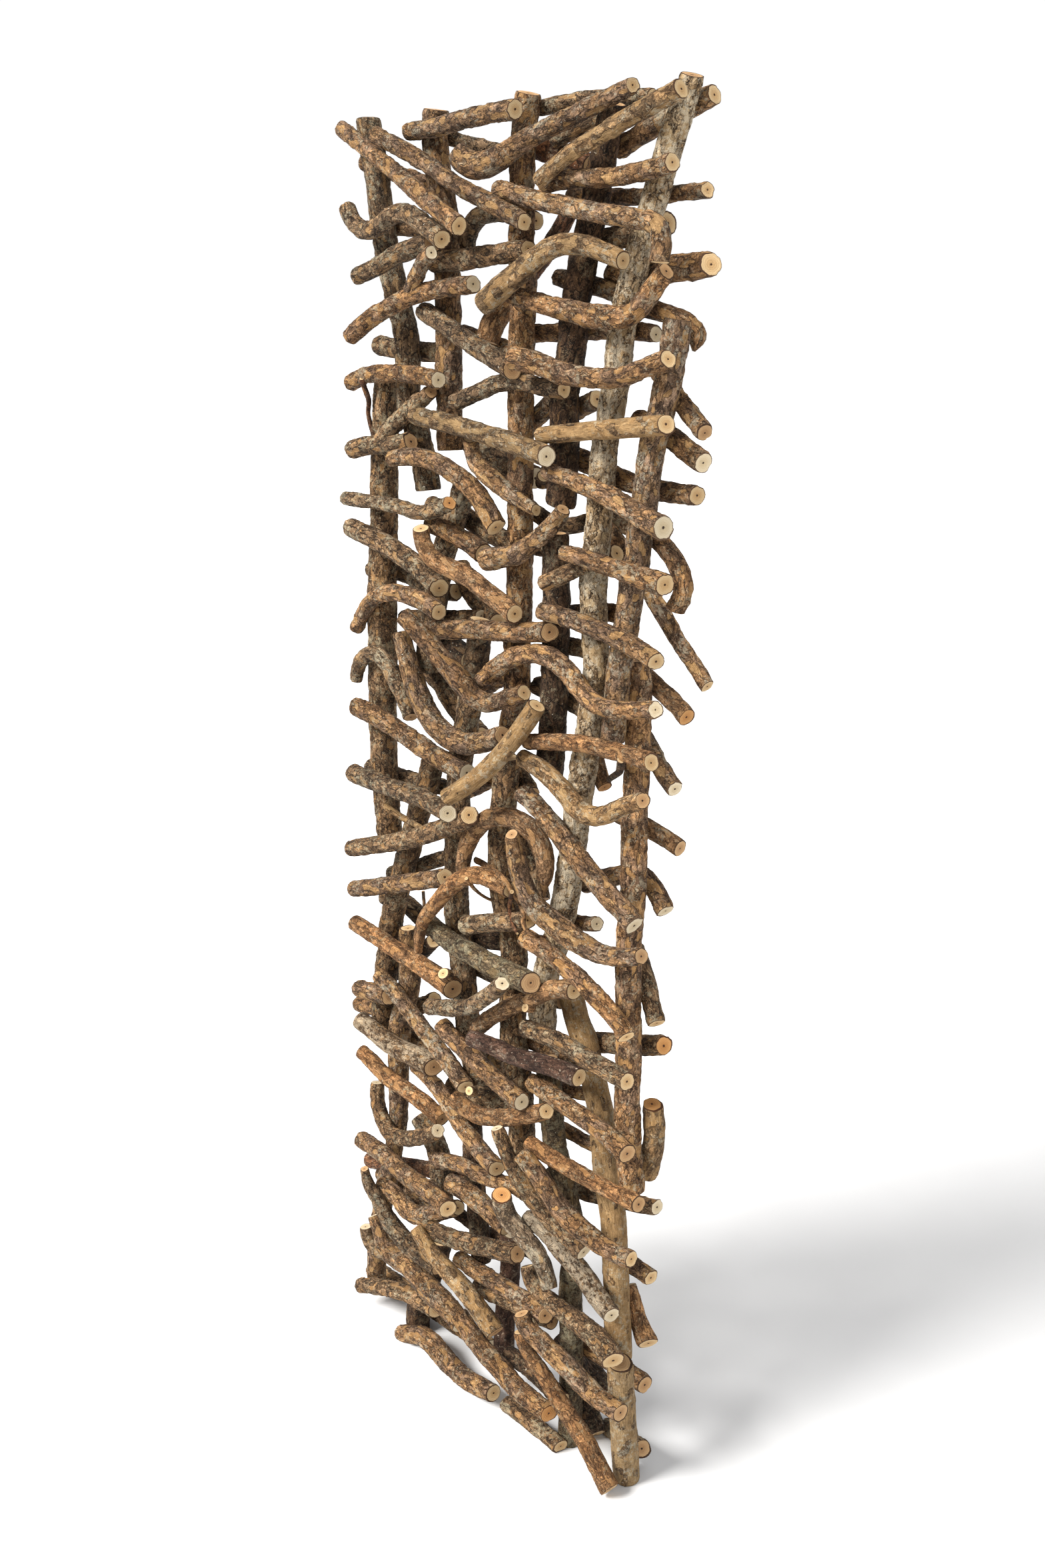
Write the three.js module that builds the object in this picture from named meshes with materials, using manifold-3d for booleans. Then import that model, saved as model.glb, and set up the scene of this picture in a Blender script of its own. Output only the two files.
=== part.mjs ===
// Openwork branch screen: a free-standing panel of rough poles with sawn branch
// lengths nailed across it on both faces. Millimetres, +Z up, +X along the panel,
// -Y is the front face. The origin is the middle of the footprint, on the floor.
import * as THREE from 'three';
import Module from 'manifold-3d';

// ---- driving dimensions (mm) ------------------------------------------------
const FLOOR_Z = 0;            // every foot is sawn level with this plane
const TUBE_SWELL = 1.04;      // corner radius of a faceted stick over its round radius
const CUT_BOX = 4000;         // size of the block that trims the feet
const POLE_ROUGHNESS = 0.92;
const BARK = {
  tb: 0x9a7a55,
  gb: 0x7d6a55,
  or: 0xa8703e,
  pl: 0xb89a6e,
  gy: 0x8d8578,
  li: 0xb3ab98,
  pu: 0x6b564d,
  gg: 0x8c8a72,
  dk: 0x54432f,
  rd: 0x7a4a34,
};

// Each node is one or more sticks. A stick is its number of sides, then the points
// of its centre line as [x, y, z, radius]. The sticks of one node are nailed and
// let into each other, so they make one solid.
const NODES = [
  { name: 'upright_01', bark: 'gb', sticks: [
    [8, [-230.9, 10.1, 1759.0, 15.0], [-198.2, 10.1, 1604.7, 15.2], [-160.3, 10.1, 1501.4, 15.2], [-156.1, 10.1, 1417.9, 15.4], [-134.9, 10.1, 1370.9, 15.4], [-118.8, 10.1, 1312.2, 15.5]],
    [6, [-266.1, -5.9, 1748.7, 9.2], [23.3, -65.6, 1626.1, 10.5]],
    [6, [-227.2, 29.6, 1631.2, 8.5], [-87.9, 39.6, 1623.4, 8.2]],
    [6, [-253.5, 39.6, 1487.1, 12.4], [-97.9, 33.7, 1482.9, 11.7]],
    [6, [-266.3, 30.0, 1711.3, 10.3], [-125.2, 39.6, 1673.2, 9.8]],
  ] },
  { name: 'upright_02', bark: 'tb', sticks: [
    [8, [-102.3, 10.1, 1760.3, 15.1], [-104.7, 10.1, 1721.0, 15.2], [-84.4, 10.1, 1631.4, 15.3], [-77.5, 10.1, 1366.1, 16.0]],
    [6, [-127.9, -12.7, 1736.2, 10.0], [62.3, -18.4, 1747.4, 10.3]],
    [6, [-199.7, -39.5, 1571.8, 10.0], [-117.3, -32.6, 1599.5, 11.2], [-65.8, -28.4, 1610.5, 11.9]],
    [6, [-80.5, -15.4, 1589.5, 12.0], [87.0, -18.4, 1602.3, 10.5]],
    [6, [-102.2, -12.2, 1533.0, 10.6], [77.1, -32.0, 1471.8, 11.5]],
    [6, [-143.9, 26.4, 1743.1, 8.1], [-24.2, 39.6, 1713.9, 7.8]],
    [6, [-71.2, 30.5, 1603.3, 10.6], [-64.2, 31.7, 1630.4, 10.5], [-46.8, 32.6, 1643.5, 10.4], [-0.7, 34.1, 1645.3, 10.2], [43.2, 35.6, 1635.2, 10.1]],
    [6, [-85.4, 39.0, 1382.6, 14.4], [-16.0, 39.8, 1353.6, 14.1], [46.3, 40.4, 1341.3, 13.9]],
    [6, [-18.2, 17.5, 1499.5, 14.5], [-9.0, 30.6, 1534.1, 14.5], [21.3, 43.7, 1558.6, 14.3]],
    [6, [-82.7, 33.6, 1508.6, 10.0], [8.5, 39.9, 1487.3, 9.7]],
  ] },
  { name: 'upright_03', bark: 'tb', sticks: [
    [8, [53.8, 10.1, 1767.0, 14.1], [45.9, 10.1, 1693.0, 14.4], [50.7, 10.1, 1541.2, 14.8], [51.8, 10.1, 1088.8, 16.0], [41.1, 10.1, 1024.0, 16.2]],
    [6, [-9.1, -16.7, 1386.6, 8.9], [-6.1, -15.9, 1367.1, 9.7], [1.8, -15.2, 1355.7, 10.3], [49.5, -13.3, 1330.7, 10.1], [100.2, -11.5, 1312.1, 7.1]],
    [6, [50.2, 30.0, 1752.8, 8.3], [211.7, 39.6, 1755.0, 7.8]],
    [6, [82.0, 21.9, 1715.7, 8.2], [192.0, 51.4, 1751.2, 7.9]],
    [6, [101.6, 36.3, 1651.5, 9.8], [37.9, 32.7, 1575.1, 10.2]],
    [6, [-150.3, 40.9, 1286.0, 12.4], [-86.7, 39.7, 1280.6, 12.1], [-4.3, 37.8, 1259.6, 11.8], [76.4, 36.0, 1260.7, 11.4]],
    [6, [25.0, 32.3, 1719.6, 13.0], [121.0, 46.1, 1689.5, 12.7]],
    [6, [26.3, 37.5, 1395.5, 11.4], [90.9, 31.3, 1440.8, 11.0]],
  ] },
  { name: 'upright_04', bark: 'dk', sticks: [
    [8, [184.5, 10.1, 1747.7, 14.1], [134.6, 11.6, 1548.1, 15.8], [119.8, 12.2, 1447.3, 16.5], [121.4, 12.7, 1365.4, 17.0], [115.9, 13.0, 1318.4, 17.3]],
    [6, [99.9, -8.8, 1669.6, 9.6], [213.7, -14.2, 1673.2, 9.5], [292.9, -18.4, 1682.7, 9.4]],
    [6, [-34.8, -21.1, 1427.2, 9.7], [46.8, -17.0, 1455.3, 9.7], [73.0, -15.8, 1457.3, 9.8], [141.8, -12.3, 1451.2, 9.8]],
    [6, [169.8, 33.5, 1705.0, 10.9], [295.3, 39.6, 1751.4, 10.2]],
    [6, [38.1, 37.6, 1509.9, 10.3], [232.8, 36.9, 1515.2, 9.5]],
    [6, [78.5, 39.6, 1572.4, 10.1], [188.3, 31.4, 1552.1, 9.6]],
    [6, [118.2, 37.0, 1601.4, 12.9], [242.4, 39.6, 1629.6, 12.1]],
    [6, [162.5, 49.5, 1550.4, 9.8], [273.2, 42.7, 1527.7, 10.4], [288.7, 41.1, 1515.7, 10.5], [285.5, 39.6, 1499.1, 10.8]],
    [6, [93.6, 39.6, 1375.6, 11.9], [200.4, 39.6, 1350.5, 11.5], [300.6, 39.6, 1346.1, 11.1]],
    [6, [75.6, 52.9, 1414.8, 11.2], [153.1, 30.9, 1440.6, 10.7]],
  ] },
  { name: 'upright_05', bark: 'pl', sticks: [
    [8, [289.1, 10.6, 1766.9, 13.4], [225.2, 10.5, 1591.7, 14.3], [207.6, 10.5, 1527.3, 14.6], [186.0, 10.4, 1384.8, 15.2], [176.2, 10.3, 1246.5, 15.6], [184.5, 10.3, 1103.4, 15.9], [145.3, 10.2, 824.6, 17.0], [111.8, 10.2, 692.7, 17.5], [109.6, 10.1, 621.4, 17.8]],
    [6, [125.2, -22.8, 1228.5, 9.5], [188.8, -9.9, 1261.2, 9.2]],
    [6, [9.9, -20.0, 597.1, 10.9], [60.5, -18.7, 643.8, 11.2], [140.8, -16.7, 701.8, 11.6], [188.4, -15.5, 718.8, 11.8]],
    [6, [103.0, -17.6, 635.0, 11.4], [171.3, -17.9, 639.9, 11.4], [285.4, -18.4, 631.8, 11.5]],
    [6, [77.1, 57.6, 1661.4, 9.2], [305.3, 25.0, 1659.3, 8.2]],
    [6, [153.2, 52.5, 1576.3, 14.3], [318.9, 18.9, 1586.4, 13.1]],
    [6, [28.3, 45.0, 1305.4, 9.9], [78.1, 51.9, 1285.6, 9.8], [153.4, 61.9, 1303.4, 9.5], [188.1, 67.3, 1288.6, 9.4]],
    [6, [98.8, 39.6, 1242.5, 10.6], [189.7, 33.5, 1267.8, 10.1]],
    [6, [143.9, 45.8, 1308.0, 10.4], [302.8, 74.3, 1123.1, 8.4]],
    [6, [142.7, 40.0, 1044.6, 9.9], [184.4, 33.4, 978.4, 9.9]],
    [6, [78.9, 39.1, 767.5, 9.7], [180.9, 32.2, 794.0, 9.3]],
  ] },
  { name: 'upright_06', bark: 'gb', sticks: [
    [8, [-198.7, 8.4, 1453.8, 15.6], [-215.2, 9.2, 1168.5, 19.7], [-218.0, 9.7, 963.1, 18.6], [-204.7, 10.1, 804.8, 17.2]],
    [6, [-247.6, -12.7, 1439.8, 10.5], [-212.5, -15.5, 1451.5, 10.5], [-185.7, -17.7, 1455.0, 10.5], [-114.0, -23.4, 1457.5, 10.5], [-55.1, -28.3, 1452.8, 10.5]],
    [6, [-240.5, -18.4, 1354.8, 11.5], [-120.4, -18.4, 1375.9, 11.8]],
    [6, [-178.9, -18.4, 1372.2, 11.6], [-83.8, -15.7, 1437.4, 9.1]],
    [6, [-266.0, -11.5, 1288.0, 9.0], [-156.7, -22.4, 1291.8, 9.0], [-92.9, -29.3, 1289.3, 9.0], [-57.2, -33.2, 1296.3, 9.0], [-24.6, -37.2, 1308.7, 9.0]],
    [6, [-242.5, -21.5, 1252.5, 12.6], [-128.3, -19.2, 1225.7, 13.2], [-97.9, -18.5, 1213.6, 13.4], [-67.3, -17.6, 1194.7, 13.6]],
    [6, [-243.4, -14.3, 1112.7, 9.2], [-201.8, -20.6, 1159.3, 10.0], [-170.1, -23.8, 1173.9, 10.4], [-116.2, -28.6, 1180.5, 11.0], [-46.8, -35.8, 1169.9, 11.8]],
    [6, [-240.9, -18.4, 1039.7, 8.3], [-237.4, -18.4, 1058.0, 9.2], [-224.4, -18.4, 1075.4, 10.0], [-201.4, -18.4, 1086.7, 10.8], [-186.6, -18.4, 1087.3, 11.0], [-170.6, -18.4, 1076.6, 11.2], [-140.3, -18.4, 1041.2, 11.0], [-123.9, -18.4, 1012.1, 9.8]],
    [6, [-239.7, -20.5, 1003.6, 13.0], [-176.7, -20.5, 995.6, 13.0], [-72.4, -20.3, 970.8, 13.0], [-10.0, -20.3, 960.7, 13.0]],
    [6, [-261.2, -11.8, 900.0, 12.4], [-53.7, -51.1, 919.7, 12.1], [3.1, -63.5, 920.1, 12.0]],
    [6, [-275.8, 38.0, 1184.2, 11.2], [-206.1, 38.9, 1187.8, 11.0], [-154.9, 39.6, 1177.3, 10.8], [-99.3, 40.3, 1177.8, 10.6]],
    [6, [-115.3, 60.0, 1211.1, 13.3], [-83.1, 56.2, 1176.4, 13.2], [-29.3, 51.9, 1147.9, 13.0]],
    [6, [-205.9, 37.9, 1128.3, 9.2], [-45.3, 35.6, 1154.2, 8.7]],
    [6, [-282.5, 37.9, 894.3, 11.7], [-82.5, 38.5, 906.0, 11.0]],
    [6, [-121.3, 66.6, 884.3, 12.2], [-15.1, 49.1, 944.6, 11.6]],
  ] },
  { name: 'upright_07', bark: 'tb', sticks: [
    [8, [285.9, 10.1, 1530.6, 14.8], [272.5, 8.2, 1444.1, 14.7], [259.3, 7.2, 1393.4, 14.7], [247.8, 4.7, 1268.7, 14.5], [227.7, 2.1, 1131.5, 14.4], [224.9, 0.6, 1052.9, 14.2]],
    [6, [166.6, -33.3, 1272.6, 9.2], [300.4, -7.7, 1251.7, 12.5]],
    [6, [122.8, -23.1, 1196.9, 10.3], [221.4, -20.7, 1187.7, 10.7], [301.6, -18.5, 1166.9, 11.2]],
    [6, [236.4, 39.6, 1475.4, 10.3], [318.8, 24.6, 1416.2, 10.0]],
    [6, [208.6, 39.6, 1420.8, 12.1], [317.8, 26.1, 1383.4, 11.6]],
    [6, [200.9, 32.2, 1301.5, 9.3], [251.5, 28.5, 1294.0, 9.7], [280.5, 25.6, 1278.2, 10.1], [304.0, 21.9, 1247.7, 10.7], [294.7, 19.1, 1221.0, 11.2]],
  ] },
  { name: 'upright_08', bark: 'gb', sticks: [
    [8, [-49.7, 10.1, 1324.9, 14.2], [-97.3, 11.0, 1210.5, 14.8], [-120.5, 11.7, 1116.6, 15.1], [-124.1, 12.0, 1071.7, 15.2]],
    [6, [-88.8, -14.5, 1274.6, 11.0], [-42.4, -10.5, 1265.6, 11.7], [3.5, -5.9, 1247.7, 12.4]],
    [6, [-154.6, 47.1, 1112.8, 15.5], [-61.7, 32.2, 1094.1, 15.0]],
  ] },
  { name: 'upright_09', bark: 'dk', sticks: [
    [8, [113.7, 10.1, 1284.3, 15.1], [116.8, 10.1, 1121.3, 16.4], [111.0, 10.1, 979.2, 17.6]],
    [6, [26.0, -22.7, 1245.6, 13.9], [64.8, -19.6, 1253.5, 12.7], [87.4, -17.5, 1264.1, 11.9], [119.4, -13.8, 1288.5, 10.6], [144.2, -10.2, 1316.9, 9.3]],
    [6, [-73.1, -24.4, 1141.6, 12.0], [130.6, -15.7, 1171.2, 12.0]],
    [6, [95.4, -14.4, 1025.9, 9.9], [193.2, -22.3, 1047.8, 10.2], [314.4, -33.1, 1055.2, 10.5]],
    [6, [101.0, 35.3, 1177.1, 11.5], [197.2, 39.6, 1197.0, 11.1]],
    [6, [57.3, 39.6, 1081.4, 11.9], [147.2, 35.8, 1066.2, 11.5]],
    [6, [86.1, 32.5, 1143.1, 10.8], [167.3, 39.6, 1142.5, 10.5]],
  ] },
  { name: 'upright_10', bark: 'tb', sticks: [
    [8, [230.8, 33.1, 1147.1, 14.9], [246.8, 23.2, 864.4, 15.5], [245.4, 20.7, 789.8, 15.7], [259.3, 14.0, 578.9, 16.1], [277.4, 10.1, 459.5, 16.3]],
    [6, [116.8, -18.4, 467.3, 10.8], [217.9, -16.5, 462.9, 10.9], [309.8, -14.8, 465.9, 10.9]],
    [6, [207.9, 59.2, 1126.8, 11.2], [293.6, 51.1, 1087.7, 10.9]],
    [6, [211.2, 61.0, 1055.3, 10.6], [287.9, 42.4, 1000.1, 10.3]],
    [6, [199.2, 42.1, 945.9, 11.1], [288.8, 57.2, 921.5, 10.9]],
    [6, [143.2, 45.8, 834.1, 12.0], [203.1, 47.1, 863.9, 11.7], [241.7, 48.0, 874.1, 11.5], [276.7, 49.4, 837.6, 11.5]],
    [6, [226.7, 48.6, 776.7, 11.8], [249.7, 45.7, 748.6, 11.7], [279.6, 40.4, 688.8, 11.7]],
    [6, [281.1, 39.6, 574.0, 13.6], [285.4, 39.5, 521.1, 13.7], [274.1, 39.3, 467.5, 13.9]],
  ] },
  { name: 'upright_12', bark: 'gb', sticks: [
    [8, [33.2, 12.1, 985.6, 16.3], [23.6, 11.6, 844.5, 16.8], [33.0, 11.4, 784.5, 16.9], [50.5, 11.2, 727.1, 16.9], [52.9, 10.8, 596.5, 17.3], [69.2, 10.5, 511.3, 17.4], [78.2, 10.1, 395.0, 17.6]],
    [6, [-13.5, -18.4, 744.0, 12.5], [102.9, -14.1, 788.1, 12.0]],
    [6, [-37.3, -16.8, 471.3, 12.3], [-4.5, -17.0, 463.7, 12.2], [27.0, -17.2, 467.6, 12.0], [76.8, -17.6, 488.9, 11.8], [146.9, -18.0, 529.4, 11.4]],
    [6, [60.1, 34.6, 520.9, 9.3], [166.4, 47.6, 536.5, 8.9]],
    [6, [-14.0, 39.6, 982.3, 10.6], [53.9, 36.2, 936.8, 10.4]],
    [6, [14.4, 38.2, 886.3, 11.5], [53.5, 38.9, 847.9, 11.5], [73.6, 39.6, 793.0, 11.5]],
    [6, [31.1, 34.0, 581.0, 12.9], [99.3, 45.2, 576.9, 12.7], [154.1, 55.4, 562.6, 12.6]],
  ] },
  { name: 'upright_13', bark: 'gb', sticks: [
    [8, [-16.9, 10.1, 1158.3, 15.3], [-56.4, 10.1, 952.7, 16.0], [-62.4, 10.1, 760.0, 16.6], [-37.6, 10.1, 579.9, 16.9], [-16.2, 10.1, 494.9, 17.0]],
    [6, [-65.9, -14.7, 574.0, 12.2], [24.7, -23.5, 550.5, 12.3], [116.1, -32.4, 535.5, 12.4]],
    [6, [-162.5, 39.6, 1068.0, 14.7], [-125.9, 39.4, 1050.8, 14.5], [-48.5, 38.9, 991.8, 14.3]],
    [6, [-74.4, 35.7, 656.8, 12.3], [108.4, 48.0, 654.0, 11.6]],
    [6, [-121.3, 69.8, 1021.2, 12.0], [10.4, 40.2, 1090.3, 11.2]],
    [6, [-94.1, 38.0, 685.1, 13.3], [19.4, 39.6, 712.5, 12.8]],
    [6, [-62.6, 32.4, 523.3, 12.5], [43.3, 46.0, 505.9, 12.1]],
  ] },
  { name: 'upright_14', bark: 'gg', sticks: [
    [8, [119.5, 10.1, 584.6, 15.1], [135.2, 10.1, 474.4, 15.3], [166.5, 10.1, 384.1, 15.4], [177.2, 10.1, 332.1, 15.4]],
    [6, [114.4, -14.7, 557.3, 11.5], [219.8, -16.8, 546.9, 12.1], [291.2, -18.4, 531.8, 12.6]],
    [6, [110.8, -15.1, 345.9, 11.0], [156.2, -15.8, 342.7, 12.0], [223.3, -17.1, 314.8, 13.1], [253.0, -17.8, 293.7, 12.6], [277.3, -18.4, 282.8, 12.2]],
    [6, [89.4, -42.2, 383.2, 13.7], [97.6, -40.2, 355.1, 13.4], [157.5, -35.1, 316.0, 11.9], [176.1, -31.9, 274.7, 10.8]],
  ] },
  { name: 'upright_14b', bark: 'gg', sticks: [
    [8, [177.5, 10.1, 291.5, 15.5], [182.4, 10.1, -14.2, 16.2]],
    [6, [156.5, 43.4, 102.2, 15.3], [208.0, 36.7, 9.9, 15.2]],
    [6, [74.9, -11.9, 10.3, 11.7], [188.9, -15.8, 8.4, 11.3]],
    [6, [73.4, -8.3, 91.9, 12.6], [120.5, -11.5, 98.9, 12.3], [192.4, -17.4, 91.6, 12.1]],
    [6, [150.2, 37.2, 149.9, 13.3], [290.9, 39.6, 146.6, 12.7]],
    [6, [105.1, 62.3, 101.2, 11.7], [198.5, 64.3, 55.8, 11.5]],
    [6, [106.5, 78.4, 88.6, 14.8], [197.9, 79.9, 44.1, 14.4]],
  ] },
  { name: 'upright_15', bark: 'pl', sticks: [
    [8, [117.0, 45.9, 690.7, 16.9], [142.7, 42.2, 638.1, 16.9], [163.6, 39.9, 608.0, 16.9], [199.9, 33.9, 519.4, 17.1], [213.6, 29.9, 454.3, 17.3], [237.1, 24.9, 375.9, 17.4], [265.0, 14.3, 191.9, 18.0]],
    [6, [131.8, 74.5, 593.4, 13.6], [287.0, 49.3, 657.4, 12.6]],
    [6, [96.9, 39.6, 385.5, 11.2], [175.1, 47.6, 385.7, 10.9], [280.8, 58.2, 413.0, 10.6]],
    [6, [197.6, 44.2, 319.8, 11.4], [282.1, 51.7, 307.7, 11.2]],
    [6, [251.2, 45.0, 282.5, 9.1], [293.0, 39.6, 215.0, 14.4]],
    [6, [74.7, 39.6, 471.3, 9.3], [218.7, 55.4, 459.9, 8.9]],
  ] },
  { name: 'upright_16', bark: 'gb', sticks: [
    [8, [-110.9, 10.1, 949.1, 15.5], [-202.3, 10.1, 688.2, 16.5], [-222.3, 10.1, 571.1, 16.9], [-228.9, 10.1, 501.5, 17.1]],
    [6, [-260.6, -14.5, 720.8, 11.8], [-51.7, -20.2, 802.4, 12.2]],
    [6, [-243.5, 35.9, 568.4, 11.1], [-145.1, 38.9, 659.0, 10.7]],
    [6, [-232.9, 32.5, 740.2, 10.8], [-83.2, 39.6, 811.3, 10.2]],
    [6, [-257.8, 39.6, 695.6, 13.0], [-213.4, 46.6, 693.5, 12.8], [-153.4, 59.5, 659.1, 12.7]],
    [6, [-319.6, 36.0, 495.7, 12.5], [-233.2, 37.8, 515.4, 12.2], [-143.1, 39.9, 565.8, 11.8]],
  ] },
  { name: 'upright_17', bark: 'tb', sticks: [
    [8, [-169.0, 10.1, 681.0, 12.5], [-164.3, 10.1, 599.2, 15.0], [-188.8, 10.1, 499.3, 16.2], [-192.3, 10.1, 367.4, 14.2], [-236.7, 10.1, 176.4, 14.8], [-249.8, 10.1, 94.9, 15.0], [-253.7, 10.1, 39.1, 15.1]],
    [6, [-245.1, -18.8, 461.4, 11.1], [-188.6, -14.4, 438.8, 11.5], [-130.5, -10.6, 431.2, 11.8], [-73.2, -6.3, 414.5, 12.1]],
    [6, [-224.4, -5.5, 411.7, 10.1], [-219.9, -9.2, 386.5, 10.5], [-211.7, -12.0, 370.2, 10.7], [-192.4, -15.7, 353.2, 11.0], [-178.5, -17.6, 349.4, 11.1], [-159.9, -19.4, 351.5, 11.2], [-128.3, -22.2, 364.8, 11.3], [-58.1, -28.7, 411.7, 11.5]],
    [6, [-263.7, -8.3, 296.7, 12.5], [-210.4, -16.3, 304.9, 12.6], [-137.3, -29.0, 305.7, 12.9], [-61.0, -41.8, 315.9, 13.1], [-10.5, -51.4, 316.9, 13.3]],
    [6, [-247.6, 39.6, 483.3, 13.3], [-133.8, 35.8, 481.3, 12.9]],
    [6, [-284.8, 52.8, 200.5, 15.1], [-126.7, 12.6, 211.5, 14.4]],
  ] },
  { name: 'upright_18', bark: 'pl', sticks: [
    [8, [292.9, -15.6, 214.3, 17.6], [284.8, 18.5, -7.7, 18.5]],
    [6, [140.3, -50.6, 222.8, 11.0], [147.4, -49.3, 207.5, 11.6], [156.4, -48.4, 202.3, 12.0], [225.8, -42.9, 181.1, 14.3], [269.6, -39.1, 162.7, 13.3], [314.6, -35.7, 159.2, 12.3]],
    [6, [200.3, 70.3, -3.2, 13.5], [291.8, 41.1, 36.8, 12.9]],
  ] },
  { name: 'upright_19', bark: 'gb', sticks: [
    [8, [-143.2, 10.1, 381.1, 15.0], [-118.0, 10.7, 362.3, 15.4], [-100.6, 11.4, 337.3, 15.8], [-96.4, 12.8, 253.5, 17.0]],
    [6, [-301.4, 38.3, 222.0, 12.9], [-66.2, 39.6, 297.4, 12.0]],
  ] },
  { name: 'upright_21', bark: 'pu', sticks: [
    [8, [55.0, 10.1, 279.9, 14.3], [55.4, 10.1, 212.4, 14.4], [39.8, 10.1, 42.8, 14.8]],
    [6, [10.0, -14.1, 183.6, 10.7], [44.7, -13.4, 182.3, 10.6], [162.1, -11.3, 201.2, 10.2]],
  ] },
  { name: 'upright_22', bark: 'dk', sticks: [
    [8, [-96.5, 10.1, 192.5, 17.2], [-108.1, 10.1, 143.7, 17.4], [-146.5, 10.1, 45.9, 17.8], [-151.1, 10.1, -10.0, 17.9]],
    [6, [-259.3, -18.4, 34.5, 11.8], [-164.6, -18.4, 76.2, 12.4], [-75.4, -18.5, 92.0, 13.1]],
    [6, [-157.1, -18.9, 1.0, 12.6], [-98.5, -20.5, 28.5, 14.3], [-82.8, -21.0, 28.8, 14.9], [-38.3, -22.8, 16.4, 14.5], [-10.4, -23.9, 13.6, 14.0], [61.4, -26.2, 26.9, 12.7]],
    [6, [-305.2, 44.1, 11.0, 14.4], [-14.0, 37.6, 29.2, 13.2]],
  ] },
  { name: 'upright_25', bark: 'dk', sticks: [
    [8, [-31.2, 10.1, 447.7, 14.3], [-5.8, 10.1, 202.7, 14.7]],
    [6, [-140.6, -1.6, 475.4, 9.8], [-79.5, -7.7, 461.8, 10.6], [-16.1, -15.9, 427.8, 11.8], [60.9, -24.7, 404.0, 12.9]],
    [6, [-30.0, -13.4, 205.0, 11.8], [164.6, -25.8, 221.1, 12.8]],
    [6, [-82.5, -12.4, 343.7, 11.7], [-28.1, -13.8, 364.9, 11.0], [27.3, -15.5, 370.3, 10.3], [84.3, -17.1, 385.8, 9.5], [111.7, -18.0, 384.0, 9.1]],
    [6, [-45.4, -16.4, 327.1, 13.5], [0.9, -17.1, 329.6, 14.0], [75.8, -18.4, 310.9, 11.2]],
    [6, [-73.6, 24.4, 242.4, 9.0], [-27.6, 29.2, 235.8, 8.9], [77.2, 39.6, 241.7, 8.6]],
    [6, [-101.9, 42.5, 438.1, 19.8], [-34.5, 42.2, 448.2, 19.3], [25.3, 41.8, 447.4, 19.0]],
  ] },
  { name: 'front_branch_09', bark: 'tb', sticks: [
    [6, [38.2, -20.8, 1666.2, 10.2], [162.6, -26.8, 1642.8, 10.1], [283.2, -33.1, 1626.5, 10.0], [296.3, -34.4, 1614.6, 10.0], [297.2, -36.6, 1587.4, 10.2]],
    [6, [-172.9, -27.0, 1734.3, 9.7], [96.6, -35.0, 1629.6, 9.6]],
  ] },
  { name: 'front_branch_05', bark: 'tb', sticks: [
    [6, [-30.9, -18.4, 1705.8, 13.9], [-8.8, -18.4, 1693.4, 14.1], [23.1, -18.4, 1695.0, 14.0], [89.0, -18.4, 1718.4, 10.6], [235.8, -18.4, 1758.4, 8.2]],
  ] },
  { name: 'front_branch_07', bark: 'pl', sticks: [
    [6, [114.5, -31.8, 1670.6, 8.7], [165.4, -28.0, 1700.2, 9.1], [299.6, -18.4, 1750.5, 10.0]],
  ] },
  { name: 'front_branch_10', bark: 'gb', sticks: [
    [6, [-241.8, -18.4, 1655.1, 10.1], [-223.6, -22.3, 1637.0, 10.3], [-203.2, -25.3, 1627.1, 10.3], [-177.8, -28.3, 1626.6, 10.4], [-133.6, -34.2, 1641.7, 10.5], [-100.7, -38.2, 1643.8, 10.6], [-25.0, -49.1, 1613.1, 10.8]],
  ] },
  { name: 'front_branch_12', bark: 'tb', sticks: [
    [6, [-218.2, -35.4, 1498.6, 11.0], [-173.3, -32.2, 1524.5, 10.8], [-117.6, -28.6, 1546.1, 10.6], [-72.3, -25.7, 1556.2, 10.4], [-1.5, -21.3, 1564.0, 10.1]],
    [6, [-106.8, -26.7, 1550.5, 10.1], [-80.6, -37.1, 1578.9, 9.3], [-48.0, -45.8, 1599.0, 8.6]],
  ] },
  { name: 'front_branch_14', bark: 'pl', sticks: [
    [6, [42.6, -45.9, 1542.1, 13.7], [121.2, -33.1, 1596.1, 11.9], [144.8, -29.8, 1605.3, 11.3], [181.9, -25.1, 1604.8, 10.6], [230.3, -18.4, 1589.6, 9.9]],
  ] },
  { name: 'front_branch_18', bark: 'tb', sticks: [
    [6, [93.2, -47.0, 1485.0, 12.8], [174.2, -36.3, 1469.7, 11.4], [222.8, -29.8, 1468.5, 10.7], [243.1, -27.0, 1471.1, 10.5], [298.4, -18.4, 1491.7, 9.8]],
  ] },
  { name: 'front_branch_19', bark: 'pl', sticks: [
    [6, [59.0, -18.3, 1553.3, 9.9], [176.1, -18.4, 1534.3, 12.0], [234.7, -18.4, 1532.1, 11.5], [253.8, -18.4, 1539.9, 11.0], [291.0, -18.4, 1578.8, 9.7]],
  ] },
  { name: 'front_branch_22', bark: 'pl', sticks: [
    [6, [-97.6, -30.5, 1408.1, 10.8], [14.0, -33.1, 1398.9, 11.4], [139.9, -36.4, 1379.2, 12.1]],
  ] },
  { name: 'front_branch_23', bark: 'tb', sticks: [
    [6, [-144.5, -30.8, 1351.9, 10.2], [-85.8, -27.9, 1358.7, 10.8], [-35.1, -25.0, 1345.5, 11.4], [5.4, -22.0, 1323.7, 12.0], [38.5, -18.4, 1285.6, 12.9]],
  ] },
  { name: 'front_branch_26', bark: 'tb', sticks: [
    [6, [121.1, -18.4, 1360.6, 9.3], [211.5, -20.7, 1344.0, 11.0], [307.2, -23.6, 1315.5, 13.0]],
  ] },
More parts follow.
